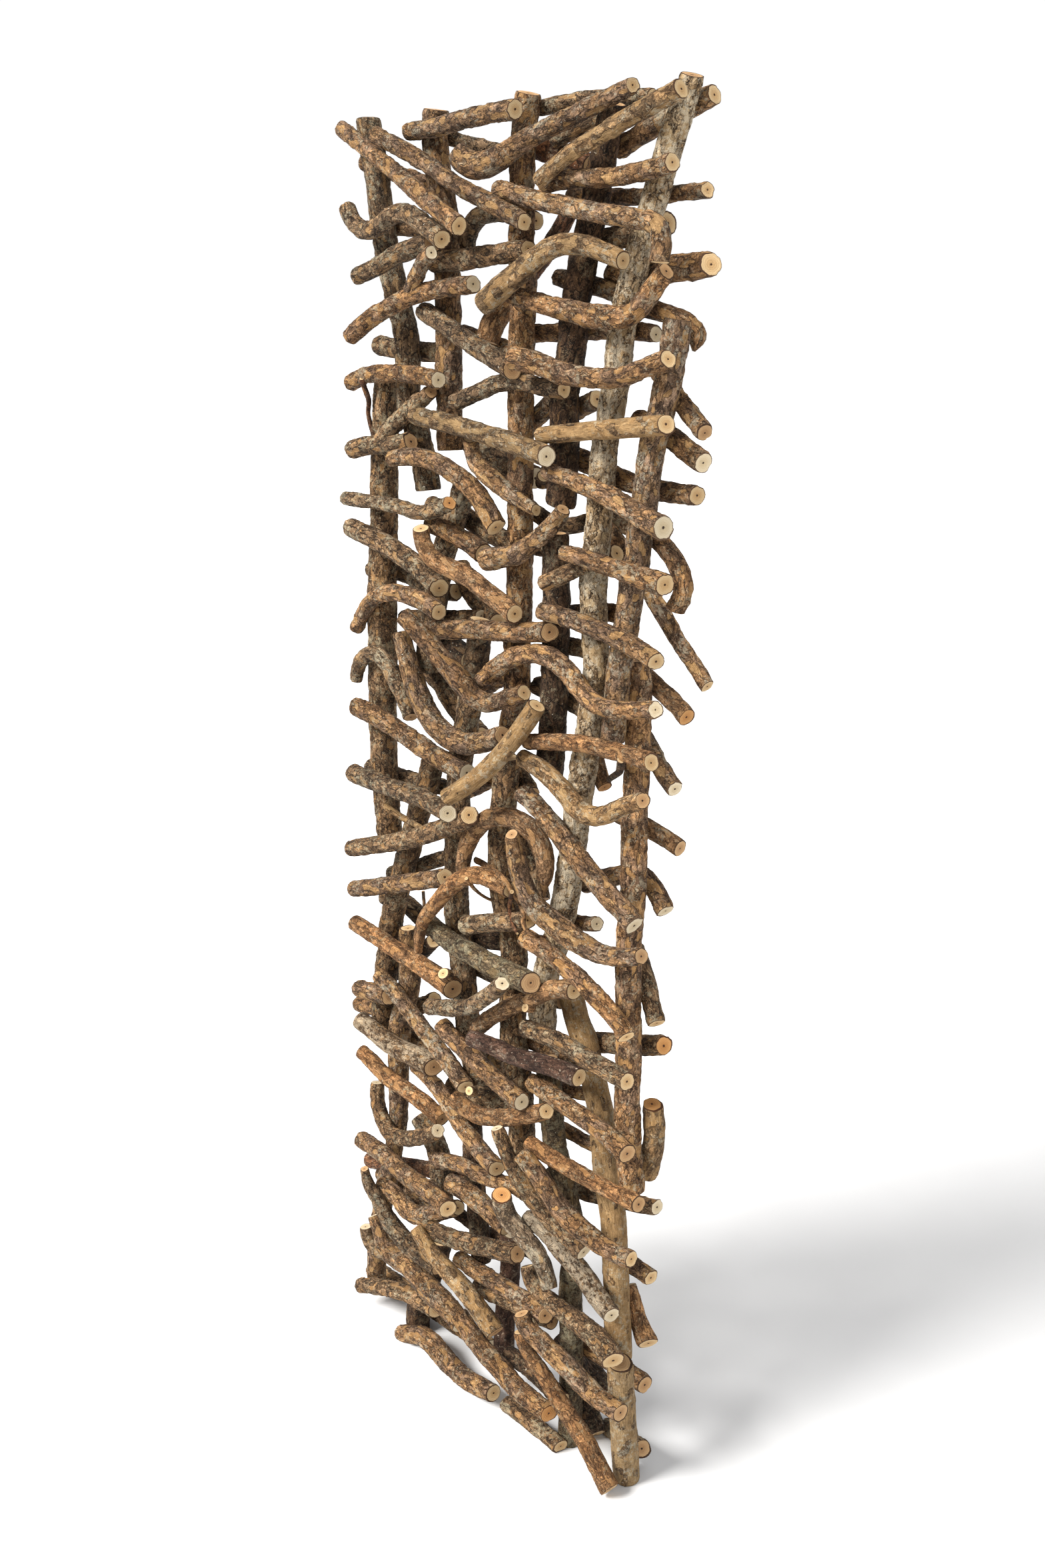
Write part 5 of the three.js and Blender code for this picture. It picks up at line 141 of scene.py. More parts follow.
    ('F64', 'gb', 'upright_05', [(103, -17.6, 635, 11.4), (119.5, -17.7, 636.9, 11.4), (136.1, -17.7, 638.4, 11.4), (152.7, -17.8, 639.5, 11.4), (169.3, -17.9, 639.9, 11.4), (185.9, -17.9, 639.1, 11.5), (202.4, -18, 637.1, 11.5), (219, -18.1, 635.3, 11.5), (235.6, -18.2, 634.2, 11.5), (252.2, -18.2, 633.3, 11.5), (268.8, -18.3, 632.5, 11.5), (285.4, -18.4, 631.8, 11.5)]),
    ('F65', 'or', 'upright_17', [(-245.1, -18.8, 461.4, 11.1), (-229.6, -17.6, 456.3, 11.2), (-214.5, -16.5, 450.2, 11.3), (-199.9, -15.3, 443, 11.4), (-184.4, -14.2, 438.1, 11.5), (-168.2, -13.1, 436.5, 11.6), (-151.9, -12.1, 434.9, 11.6), (-135.8, -11, 432.2, 11.7), (-119.9, -9.9, 428.8, 11.8), (-104.1, -8.7, 424.7, 11.9), (-88.6, -7.5, 419.9, 12), (-73.2, -6.3, 414.5, 12.1)]),
    ('F66', 'gb', 'upright_17', [(-224.4, -5.5, 411.7, 10.1), (-221.9, -7.8, 396.1, 10.3), (-218, -10.1, 380.8, 10.6), (-209.5, -12.5, 367.6, 10.7), (-198.1, -14.8, 356.8, 10.9), (-183.8, -16.9, 350.3, 11.1), (-168.1, -18.6, 350, 11.2), (-152.7, -20.1, 353.7, 11.2), (-138, -21.4, 359.8, 11.3), (-123.9, -22.6, 367.2, 11.3), (-110.2, -23.8, 375.3, 11.3), (-96.7, -25, 383.7, 11.4), (-83.6, -26.3, 392.7, 11.4), (-70.7, -27.5, 402.1, 11.4), (-58.1, -28.7, 411.7, 11.5)]),
    ('F67', 'tb', 'upright_25', [(-140.6, -1.6, 475.4, 9.8), (-125.4, -3, 472.9, 10), (-110.3, -4.5, 469.8, 10.2), (-95.3, -6, 466.3, 10.4), (-80.5, -7.6, 462.1, 10.6), (-66.3, -9.3, 456.2, 10.8), (-53.1, -11, 448.3, 11.1), (-40.1, -12.8, 440.1, 11.3), (-26.7, -14.6, 432.5, 11.6), (-12.6, -16.3, 426.4, 11.8), (1.9, -18, 421.1, 12.1), (16.3, -19.7, 415.8, 12.3), (31, -21.4, 411.1, 12.5), (45.9, -23, 407.3, 12.7), (60.9, -24.7, 404, 12.9)]),
    ('F68', 'or', 'upright_12', [(-37.3, -16.8, 471.3, 12.3), (-22.7, -16.9, 466.3, 12.2), (-7.5, -17, 463.9, 12.2), (8, -17.1, 463.9, 12.1), (23.1, -17.2, 466.6, 12), (37.8, -17.3, 471.5, 12), (52.1, -17.4, 477.5, 11.9), (66.2, -17.5, 483.8, 11.8), (80, -17.6, 490.6, 11.8), (93.7, -17.7, 497.9, 11.7), (107.1, -17.8, 505.5, 11.6), (120.5, -17.8, 513.3, 11.6), (133.7, -17.9, 521.2, 11.5), (146.9, -18, 529.4, 11.4)]),
    ('F69', 'tb', 'upright_14', [(114.4, -14.7, 557.3, 11.5), (130.7, -15, 557, 11.6), (146.9, -15.3, 556.1, 11.7), (163.1, -15.6, 554.4, 11.8), (179.2, -16, 552.1, 11.9), (195.3, -16.3, 550, 12), (211.5, -16.6, 548, 12.1), (227.6, -17, 545.7, 12.2), (243.6, -17.3, 542.7, 12.2), (259.5, -17.6, 539.2, 12.3), (275.4, -18, 535.5, 12.5), (291.2, -18.4, 531.8, 12.6)]),
    ('F70', 'tb', 'upright_17', [(-263.7, -8.3, 296.7, 12.5), (-247.9, -10.6, 299.6, 12.5), (-232.2, -12.9, 302.3, 12.6), (-216.4, -15.4, 304.3, 12.6), (-200.5, -17.9, 305.7, 12.7), (-184.6, -20.6, 306.1, 12.7), (-168.7, -23.4, 306, 12.8), (-152.8, -26.3, 305.6, 12.8), (-136.9, -29.1, 305.7, 12.9), (-121.1, -31.8, 307.2, 13), (-105.3, -34.4, 309.5, 13), (-89.6, -36.9, 312.1, 13), (-73.9, -39.6, 314.4, 13.1), (-58, -42.3, 316.1, 13.1), (-42.2, -45.2, 317.2, 13.2), (-26.4, -48.2, 317.4, 13.2), (-10.5, -51.4, 316.9, 13.3)]),
    ('F71', 'gb', 'front_branch_71', [(-206, -47.4, 287.8, 6.1), (-204.5, -45.3, 271.4, 7.3), (-198.1, -42.8, 256.4, 8.7), (-186.7, -40.3, 244.5, 10.1), (-177.9, -37.8, 230.6, 11.1), (-169.5, -35.3, 216.5, 12.2), (-158.3, -32.8, 204.4, 13.2), (-145.2, -30.2, 194.4, 13.5), (-130.8, -27.7, 186.6, 13.8), (-115.4, -25.3, 180.6, 14), (-99.5, -23, 176.2, 13.7), (-83.3, -20.6, 173.2, 13.3), (-66.9, -18.4, 171.1, 12.9)]),
    ('F72', 'tb', 'front_branch_72', [(-220.4, -18.4, 184.5, 10.4), (-209.9, -19.3, 172.4, 11.6), (-200.5, -20.3, 159.3, 12.9), (-191, -21.3, 146.4, 14.1), (-176.2, -22.1, 140.8, 14.8), (-160.1, -22.8, 140.6, 15.2), (-144.1, -23.5, 142.1, 15.5), (-128, -24.2, 142.9, 15.9), (-112.2, -25, 140.1, 16.2), (-97, -25.9, 134.8, 16.4), (-81.4, -26.7, 130.7, 16.6), (-65.4, -27.5, 128.9, 16.8), (-49.4, -28.3, 127.2, 16.6), (-33.7, -29.2, 123.6, 16), (-18.5, -30.1, 118.4, 15.3), (-3.9, -31.1, 111.6, 14.7)]),
    ('F72b', 'gy', 'front_branch_72', [(-242.5, -18.4, 152.8, 9.5), (-239.4, -18.9, 138.6, 10), (-230.2, -19.5, 128.1, 10.5), (-215.9, -20, 127, 10.9), (-201.5, -20.3, 129.4, 11.2), (-187.3, -20.6, 133, 11.4)]),
    ('F73', 'gb', 'upright_22', [(-259.3, -18.4, 34.5, 11.8), (-244.9, -18.4, 41.9, 11.9), (-230.3, -18.4, 49, 12), (-215.6, -18.4, 55.8, 12.1), (-200.8, -18.4, 62.3, 12.2), (-185.9, -18.4, 68.6, 12.3), (-170.7, -18.4, 74.2, 12.4), (-155.2, -18.4, 79, 12.5), (-139.4, -18.5, 82.6, 12.6), (-123.5, -18.5, 85.2, 12.7), (-107.5, -18.5, 87.6, 12.9), (-91.4, -18.5, 89.9, 13), (-75.4, -18.5, 92, 13.1)]),
    ('F74', 'tb', 'upright_22', [(-157.1, -18.9, 1, 12.6), (-142.9, -19.3, 9.1, 12.9), (-128.6, -19.7, 16.8, 13.3), (-113.9, -20.1, 23.8, 13.8), (-98.3, -20.5, 28.6, 14.3), (-82, -21, 28.7, 14.9), (-66.3, -21.7, 24.6, 15.1), (-50.8, -22.3, 19.4, 14.8), (-34.9, -23, 15.8, 14.4), (-18.7, -23.6, 13.9, 14.1), (-2.4, -24.2, 13.9, 13.8), (13.7, -24.7, 16, 13.5), (29.7, -25.2, 19.4, 13.2), (45.6, -25.7, 23.1, 13), (61.4, -26.2, 26.9, 12.7)]),
    ('F75', 'pl', 'front_branch_75', [(-65.5, -64.7, 263.2, 9.7), (-55.6, -62.9, 251.5, 10.3), (-44.4, -61, 241.1, 10.9), (-31.9, -59.1, 232.3, 11.6), (-18.9, -57.3, 224.2, 12.2), (-5.7, -55.4, 216.4, 12.8), (7.7, -53.5, 208.9, 13.4), (21.2, -51.7, 201.6, 13.5), (34.1, -49.8, 193.5, 13.6), (45.7, -47.9, 183.5, 13.8), (57.1, -45.9, 173.2, 13.9), (68.9, -44, 163.5, 14.1), (81, -42.1, 154.1, 14.2)]),
    ('F76', 'tb', 'front_branch_76', [(1.4, -41, 138.3, 12.7), (14.8, -41.7, 130, 12.9), (28.8, -42.3, 122.6, 13.2), (43.3, -43, 116.2, 13.5), (58.2, -43.6, 110.8, 13.7), (73.4, -44.2, 106.3, 13.9), (88.9, -44.8, 102.7, 14.2), (104.2, -45.5, 99, 14.1), (119.1, -46.1, 93.4, 13.9), (134.4, -46.7, 89.7, 13.7), (150.3, -47.3, 89.3, 13.5), (166.1, -47.9, 90.2, 13.2), (181.9, -48.4, 91.3, 13), (197.7, -49, 92.5, 12.8)]),
    ('F77', 'gb', 'upright_14b', [(74.9, -11.9, 10.3, 11.7), (91.2, -12.4, 10.9, 11.7), (107.5, -12.9, 10.6, 11.6), (123.8, -13.5, 9.9, 11.5), (140.1, -14.1, 9.9, 11.5), (156.4, -14.6, 10.2, 11.4), (172.7, -15.2, 9.8, 11.4), (188.9, -15.8, 8.4, 11.3)]),
    ('F78', 'or', 'front_branch_78', [(136, -47.9, 189.4, 9.2), (141.9, -46.6, 174.7, 9.6), (151.1, -45.2, 161.7, 9.9), (163, -43.8, 151.2, 10.3), (175.7, -42.4, 141.6, 10.6), (188, -41, 131.6, 11), (199.1, -39.5, 120.1, 11.3), (210.1, -38.1, 108.6, 11.7), (221.8, -36.7, 97.8, 12), (233.7, -35.3, 87.3, 12.4), (245.5, -33.8, 76.6, 12.7), (255.6, -32.4, 64.3, 12.9), (264.8, -31, 51.3, 13.1), (274.3, -29.6, 38.5, 13.2), (284, -28.1, 25.9, 13.4), (293.9, -26.7, 13.4, 13.6)]),
    ('F79', 'tb', 'upright_18', [(140.3, -50.6, 222.8, 11), (146.9, -49.4, 208.3, 11.6), (160.9, -48.1, 201.1, 12.2), (176.4, -46.9, 197, 12.7), (191.4, -45.7, 191, 13.3), (206.8, -44.4, 186.4, 13.8), (222.4, -43.2, 182.3, 14.3), (237.2, -41.9, 176.1, 14), (251.8, -40.6, 169.4, 13.7), (266.8, -39.3, 163.6, 13.3), (282.5, -38.1, 160.1, 13), (298.5, -36.9, 158.8, 12.6), (314.6, -35.7, 159.2, 12.3)]),
    ('F80', 'gb', 'front_branch_80', [(119.4, -18.4, 273.4, 10.2), (127.1, -20.4, 259.1, 10.7), (140.6, -22.5, 250.2, 11.2), (156.8, -24.2, 248.6, 11.5), (173.2, -25.9, 248.1, 11.9), (189.6, -27.5, 248, 12.2), (206, -29.2, 249, 12.5), (222.3, -30.8, 250.4, 13), (238.6, -32.5, 251.2, 13.4), (255, -34.2, 250.8, 13.9), (271.3, -36.1, 249.3, 14.4), (287.1, -38.1, 245.3, 15), (301.4, -40.3, 237.5, 15.6)]),
    ('F81', 'tb', 'upright_25', [(-30, -13.4, 205, 11.8), (-13.7, -14.4, 205.5, 11.9), (2.6, -15.4, 206.4, 11.9), (18.8, -16.4, 207.9, 12), (34.9, -17.4, 209.8, 12.1), (51.1, -18.4, 211.9, 12.2), (67.3, -19.4, 213.7, 12.3), (83.5, -20.4, 215.3, 12.4), (99.7, -21.4, 216.8, 12.5), (115.9, -22.5, 218.2, 12.6), (132.1, -23.6, 219.3, 12.6), (148.4, -24.7, 220.3, 12.7), (164.6, -25.8, 221.1, 12.8)]),
    ('F81b', 'gb', 'upright_21', [(10, -14.1, 183.6, 10.7), (25.2, -13.8, 181.5, 10.6), (40.6, -13.5, 181.8, 10.6), (55.8, -13.2, 184.2, 10.5), (70.9, -13, 187.1, 10.5), (86.1, -12.7, 189.3, 10.4), (101.4, -12.4, 191.1, 10.4), (116.7, -12.2, 192.8, 10.3), (131.9, -11.9, 195.1, 10.3), (147, -11.6, 198, 10.2), (162.1, -11.3, 201.2, 10.2)]),
    ('F82', 'li', 'upright_14', [(110.8, -15.1, 345.9, 11), (127.3, -15.3, 346.8, 11.3), (143.7, -15.6, 345.8, 11.7), (159.6, -15.9, 341.3, 12.1), (174.6, -16.2, 334.4, 12.6), (189.9, -16.5, 328.3, 13), (205.4, -16.8, 322.5, 13.4), (220.6, -17.1, 316.1, 13.1), (234.7, -17.4, 307.5, 12.9), (247.7, -17.7, 297.3, 12.7), (261.9, -18.1, 289, 12.5), (277.3, -18.4, 282.8, 12.2)]),
    ('F83', 'gy', 'upright_14', [(89.4, -42.2, 383.2, 13.7), (91.7, -41.2, 367, 13.5), (99.8, -40, 353.2, 13.3), (113.9, -38.9, 345, 13.1), (128, -37.7, 336.7, 12.8), (142.2, -36.5, 328.5, 12.5), (155.1, -35.3, 318.6, 12), (164.3, -34.2, 305.2, 11.6), (171, -33, 290.2, 11.2), (176.1, -31.9, 274.7, 10.8)]),
    ('F84', 'tb', 'front_branch_84', [(124.3, -41.9, 464.3, 11.6), (138.1, -40.1, 456.3, 11.9), (151, -38.3, 446.9, 12.3), (162.8, -36.4, 436.2, 12.7), (173.9, -34.5, 424.7, 13.1), (184.9, -32.6, 413.1, 13.5), (197.5, -30.8, 403.4, 13.9), (211.7, -28.9, 396.2, 13.7), (226.8, -27.1, 390.8, 13.3), (242.1, -25.3, 386.4, 12.8), (257.6, -23.4, 382.5, 12.4), (273.4, -21.7, 380.6, 11.9), (289.4, -20, 380.8, 11.5), (305.3, -18.4, 382.6, 11.1)]),
    ('F85', 'or', 'upright_10', [(116.8, -18.4, 467.3, 10.8), (132.9, -18.1, 466.1, 10.8), (148.9, -17.8, 465, 10.8), (165, -17.5, 464.2, 10.8), (181.1, -17.2, 463.6, 10.8), (197.2, -16.9, 463.2, 10.9), (213.3, -16.6, 463, 10.9), (229.4, -16.3, 462.9, 10.9), (245.5, -16, 463, 10.9), (261.6, -15.7, 463.3, 10.9), (277.7, -15.4, 463.9, 10.9), (293.8, -15.1, 464.8, 10.9), (309.8, -14.8, 465.9, 10.9)]),
    ('F86', 'gb', 'front_branch_86', [(75.4, -38.3, 480.4, 9), (82.1, -36.8, 466.2, 9.6), (89.1, -35.3, 452.2, 10.1), (96.7, -33.8, 438.5, 10.7), (105.8, -32.3, 425.7, 11.2), (116.5, -30.7, 414.3, 11.8), (127.6, -29.2, 403.3, 12.3), (139.4, -27.6, 392.9, 12.6), (152.2, -26.1, 383.9, 12.6), (165.9, -24.5, 376.4, 12.5), (180, -23, 369.4, 12.5), (194.3, -21.5, 363, 12.4), (208.8, -19.9, 357, 12.4), (223.4, -18.4, 351.5, 12.4)]),
    ('F87', 'tb', 'upright_25', [(-82.5, -12.4, 343.7, 11.7), (-68.5, -12.7, 350.1, 11.6), (-54.3, -13.1, 356.4, 11.4), (-39.8, -13.5, 361.8, 11.2), (-24.9, -13.9, 365.5, 11), (-9.5, -14.3, 367.3, 10.8), (5.9, -14.8, 368, 10.6), (21.3, -15.3, 369.3, 10.3), (36.5, -15.7, 372.3, 10.1), (51.3, -16.1, 376.5, 10), (66.1, -16.6, 381.3, 9.8), (81, -17, 385.1, 9.6), (96.4, -17.5, 386.2, 9.3), (111.7, -18, 384, 9.1)]),
    ('F88', 'tb', 'upright_25', [(-45.4, -16.4, 327.1, 13.5), (-30.1, -16.6, 329.5, 13.7), (-14.7, -16.9, 330.6, 13.8), (0.8, -17.1, 329.6, 14), (16, -17.3, 327.1, 14.2), (31.2, -17.6, 323.8, 13.7), (46.2, -17.8, 319.9, 12.8), (61, -18.1, 315.6, 12), (75.8, -18.4, 310.9, 11.2)]),
    ('F89', 'gb', 'front_branch_75', [(-72.6, -42.6, 249.3, 12.7), (-57.1, -41.5, 251.7, 12.7), (-41.7, -40.4, 254.2, 12.8), (-26.3, -39.4, 257, 12.8), (-11, -38.3, 259.9, 12.8), (4.3, -37.2, 263.1, 12.8), (19.4, -36.2, 267, 12.8), (34.4, -35.2, 271.5, 12.8), (49.3, -34.1, 276, 12.9), (64.4, -33, 280.1, 12.9), (79.5, -31.9, 283.9, 12.9), (94.5, -30.8, 288.1, 12.9), (109.5, -29.7, 292.6, 12.9)]),
    ('F90', 'tb', 'front_branch_90', [(-202.5, -18.4, 250.5, 11.3), (-186, -18.4, 250.4, 11.8), (-169.8, -18.4, 248.2, 12.3), (-154.6, -18.4, 241.9, 13), (-139.4, -18.4, 235.7, 13.6), (-123.1, -18.4, 235.3, 14), (-107.6, -18.4, 240.8, 13.4), (-93.2, -18.4, 248.6, 13), (-79.1, -18.4, 257.2, 12.5), (-65.6, -18.4, 266.5, 12), (-52.2, -18.4, 276.2, 11.5), (-39, -18.4, 286, 11.1), (-25.8, -18.4, 295.8, 10.6)]),
    ('F93', 'dk', 'upright_14b', [(73.4, -8.3, 91.9, 12.6), (88.1, -9.3, 95, 12.5), (102.9, -10.3, 97.4, 12.4), (117.8, -11.3, 98.8, 12.4), (132.8, -12.5, 98.6, 12.3), (147.8, -13.7, 97.2, 12.2), (162.7, -14.9, 95.5, 12.2), (177.5, -16.1, 93.7, 12.1), (192.4, -17.4, 91.6, 12.1)]),
    ('B1', 'gb', 'upright_02', [(-143.9, 26.4, 1743.1, 8.1), (-129.1, 28, 1738.9, 8.1), (-114.2, 29.6, 1734.9, 8.1), (-99.3, 31.2, 1731, 8), (-84.4, 32.9, 1727.3, 8), (-69.4, 34.6, 1723.8, 8), (-54.4, 36.2, 1720.3, 7.9), (-39.3, 37.9, 1717.1, 7.9), (-24.2, 39.6, 1713.9, 7.8)]),
    ('B2', 'gb', 'upright_03', [(50.2, 30, 1752.8, 8.3), (66.2, 30.9, 1754.8, 8.2), (82.3, 31.9, 1756.6, 8.2), (98.5, 32.8, 1758, 8.1), (114.7, 33.7, 1758.6, 8.1), (130.9, 34.7, 1758.5, 8), (147, 35.7, 1758.1, 8), (163.2, 36.6, 1757.5, 7.9), (179.4, 37.6, 1756.8, 7.9), (195.6, 38.6, 1756, 7.8), (211.7, 39.6, 1755, 7.8)]),
    ('B3', 'gb', 'upright_03', [(82, 21.9, 1715.7, 8.2), (97.1, 26.1, 1722.5, 8.2), (112.5, 30.3, 1728.6, 8.1), (128.2, 34.5, 1733.9, 8.1), (144.1, 38.6, 1738.5, 8), (160, 42.8, 1743, 8), (176, 47.1, 1747.2, 7.9), (192, 51.4, 1751.2, 7.9)]),
    ('B4', 'tb', 'upright_04', [(169.8, 33.5, 1705, 10.9), (185.2, 34.2, 1711.5, 10.8), (200.7, 35, 1717.8, 10.7), (216.3, 35.7, 1723.9, 10.6), (231.9, 36.5, 1729.8, 10.5), (247.7, 37.3, 1735.5, 10.5), (263.5, 38, 1741, 10.4), (279.3, 38.8, 1746.3, 10.3), (295.3, 39.6, 1751.4, 10.2)]),
    ('B5', 'tb', 'upright_05', [(77.1, 57.6, 1661.4, 9.2), (93.4, 55.5, 1660.5, 9.1), (109.7, 53.3, 1659.7, 9.1), (126, 51.2, 1659, 9), (142.4, 49, 1658.3, 8.9), (158.7, 46.7, 1657.6, 8.9), (175, 44.4, 1656.9, 8.8), (191.3, 42.1, 1656.3, 8.7), (207.6, 39.8, 1655.9, 8.7), (223.9, 37.4, 1656.1, 8.6), (240.2, 35, 1656.6, 8.5), (256.5, 32.6, 1657.3, 8.5), (272.8, 30.1, 1657.9, 8.4), (289, 27.6, 1658.5, 8.3), (305.3, 25, 1659.3, 8.2)]),
    ('B6', 'gb', 'upright_02', [(-71.2, 30.5, 1603.3, 10.6), (-69.1, 31.2, 1618.9, 10.5), (-62.2, 31.9, 1633, 10.5), (-49.8, 32.5, 1642.3, 10.4), (-34.4, 33.1, 1645.5, 10.3), (-18.6, 33.6, 1645.8, 10.3), (-2.8, 34.1, 1645.5, 10.2), (12.8, 34.6, 1643.7, 10.2), (28.2, 35.1, 1640, 10.1), (43.2, 35.6, 1635.2, 10.1)]),
    ('B7', 'gb', 'upright_01', [(-227.2, 29.6, 1631.2, 8.5), (-211.7, 30.6, 1630.7, 8.5), (-196.2, 31.7, 1630.1, 8.5), (-180.7, 32.8, 1629.4, 8.4), (-165.2, 33.9, 1628.7, 8.4), (-149.7, 35, 1627.8, 8.3), (-134.3, 36.2, 1626.9, 8.3), (-118.8, 37.3, 1625.8, 8.2), (-103.4, 38.5, 1624.7, 8.2), (-87.9, 39.6, 1623.4, 8.2)]),
    ('B10', 'gb', 'upright_01', [(-253.5, 39.6, 1487.1, 12.4), (-238, 39.1, 1485.7, 12.3), (-222.4, 38.5, 1484.4, 12.3), (-206.9, 37.9, 1483.4, 12.2), (-191.4, 37.3, 1482.6, 12.1), (-175.8, 36.7, 1482.1, 12.1), (-160.2, 36.1, 1481.9, 12), (-144.6, 35.5, 1481.9, 11.9), (-129.1, 34.9, 1482.1, 11.9), (-113.5, 34.3, 1482.5, 11.8), (-97.9, 33.7, 1482.9, 11.7)]),
    ('B12', 'tb', 'upright_04', [(38.1, 37.6, 1509.9, 10.3), (54.3, 37.5, 1510.7, 10.2), (70.6, 37.5, 1511.5, 10.2), (86.8, 37.4, 1512.3, 10.1), (103, 37.4, 1513.2, 10), (119.2, 37.3, 1514.3, 10), (135.4, 37.3, 1515.5, 9.9), (151.6, 37.2, 1516.5, 9.9), (167.9, 37.2, 1517.2, 9.8), (184.1, 37.1, 1517.3, 9.7), (200.4, 37, 1517, 9.7), (216.6, 37, 1516.3, 9.6), (232.8, 36.9, 1515.2, 9.5)]),
    ('B14', 'tb', 'upright_04', [(78.5, 39.6, 1572.4, 10.1), (94.3, 38.5, 1570.2, 10), (110.2, 37.4, 1568.1, 9.9), (126.1, 36.2, 1566.3, 9.9), (141.9, 35, 1564.1, 9.8), (157.6, 33.8, 1561.1, 9.7), (173.1, 32.6, 1557, 9.7), (188.3, 31.4, 1552.1, 9.6)]),
    ('B15', 'tb', 'upright_05', [(153.2, 52.5, 1576.3, 14.3), (168.3, 49.7, 1577.2, 14.2), (183.4, 46.7, 1578, 14.1), (198.5, 43.8, 1578.9, 14), (213.6, 40.8, 1579.8, 13.9), (228.7, 37.8, 1580.7, 13.8), (243.7, 34.8, 1581.6, 13.7), (258.8, 31.7, 1582.5, 13.6), (273.8, 28.6, 1583.5, 13.5), (288.9, 25.4, 1584.4, 13.4), (303.9, 22.2, 1585.4, 13.2), (318.9, 18.9, 1586.4, 13.1)]),
    ('B16', 'gb', 'upright_04', [(118.2, 37, 1601.4, 12.9), (133, 37.3, 1607.3, 12.8), (148.4, 37.7, 1611.7, 12.7), (164.1, 38, 1614.4, 12.6), (180, 38.3, 1616.3, 12.5), (195.8, 38.6, 1618.4, 12.4), (211.5, 38.9, 1621.4, 12.3), (227, 39.3, 1625.2, 12.2), (242.4, 39.6, 1629.6, 12.1)]),
    ('B18', 'rd', 'upright_03', [(101.6, 36.3, 1651.5, 9.8), (92.7, 35.6, 1637.4, 9.9), (83.1, 35, 1623.9, 9.9), (72.7, 34.4, 1610.9, 10), (61.8, 33.8, 1598.3, 10.1), (50.2, 33.2, 1586.4, 10.1), (37.9, 32.7, 1575.1, 10.2)]),
    ('B20', 'tb', 'upright_04', [(162.5, 49.5, 1550.4, 9.8), (178.9, 48.5, 1546.8, 9.9), (195.3, 47.5, 1543.6, 10), (211.8, 46.5, 1540.9, 10), (228.4, 45.5, 1538.5, 10.1), (244.9, 44.5, 1535.6, 10.2), (261.2, 43.5, 1531.7, 10.3), (276.8, 42.4, 1526, 10.4), (288.8, 41.1, 1515, 10.6), (285.5, 39.6, 1499.1, 10.8)]),
    ('B21', 'tb', 'upright_07', [(236.4, 39.6, 1475.4, 10.3), (249.9, 37.2, 1465.2, 10.3), (263.5, 34.7, 1455.1, 10.2), (277.1, 32.2, 1445.2, 10.2), (290.9, 29.7, 1435.4, 10.1), (304.8, 27.1, 1425.7, 10.1), (318.8, 24.6, 1416.2, 10)]),
    ('B22', 'gb', 'upright_02', [(-85.4, 39, 1382.6, 14.4), (-71.6, 39.2, 1375.7, 14.4), (-57.5, 39.3, 1369.4, 14.3), (-43.3, 39.5, 1363.5, 14.3), (-28.9, 39.7, 1357.9, 14.2), (-14.2, 39.8, 1353.1, 14.1), (0.7, 40, 1349.1, 14.1), (15.8, 40.1, 1345.9, 14), (31, 40.3, 1343.3, 13.9), (46.3, 40.4, 1341.3, 13.9)]),
    ('B26', 'gb', 'upright_03', [(-150.3, 40.9, 1286, 12.4), (-133.9, 40.6, 1285.6, 12.3), (-117.5, 40.3, 1284.6, 12.2), (-101.2, 40, 1282.8, 12.1), (-84.9, 39.6, 1280.3, 12.1), (-69, 39.3, 1276.4, 12), (-53.4, 38.9, 1271, 12), (-37.9, 38.5, 1265.8, 11.9), (-21.8, 38.2, 1262.2, 11.8), (-5.6, 37.8, 1259.8, 11.8), (10.8, 37.4, 1258.6, 11.7), (27.2, 37.1, 1258.3, 11.6), (43.7, 36.7, 1258.5, 11.6), (60.1, 36.4, 1259.2, 11.5), (76.4, 36, 1260.7, 11.4)]),
    ('B28', 'gb', 'upright_06', [(-275.8, 38, 1184.2, 11.2), (-259.8, 38.2, 1185.9, 11.2), (-243.6, 38.4, 1187.1, 11.1), (-227.5, 38.6, 1187.8, 11), (-211.3, 38.8, 1187.9, 11), (-195.1, 39, 1186.7, 10.9), (-179.4, 39.2, 1183, 10.9), (-163.8, 39.5, 1178.8, 10.8), (-147.8, 39.7, 1176.7, 10.8), (-131.6, 39.9, 1176.1, 10.7), (-115.4, 40.1, 1176.5, 10.6), (-99.3, 40.3, 1177.8, 10.6)]),
    ('B30', 'gb', 'upright_06', [(-115.3, 60, 1211.1, 13.3), (-106.3, 58.7, 1198.5, 13.3), (-95.8, 57.5, 1187.1, 13.3), (-83.9, 56.3, 1177, 13.2), (-71.2, 55.1, 1168.2, 13.2), (-57.7, 54, 1160.4, 13.1), (-43.7, 52.9, 1153.7, 13.1), (-29.3, 51.9, 1147.9, 13)]),
    ('B31', 'tb', 'upright_09', [(101, 35.3, 1177.1, 11.5), (116.5, 36, 1182.5, 11.4), (132.3, 36.7, 1187.2, 11.3), (148.3, 37.4, 1190.8, 11.3), (164.5, 38.1, 1193.4, 11.2), (180.8, 38.9, 1195.5, 11.1), (197.2, 39.6, 1197, 11.1)]),
    ('B32', 'tb', 'upright_07', [(208.6, 39.6, 1420.8, 12.1), (224.9, 37.9, 1417.5, 12), (240.9, 36, 1413.5, 11.9), (256.7, 34.1, 1408.7, 11.8), (272.2, 32.1, 1402.9, 11.8), (287.3, 30.1, 1396.2, 11.7), (302.5, 28.1, 1389.7, 11.6), (317.8, 26.1, 1383.4, 11.6)]),
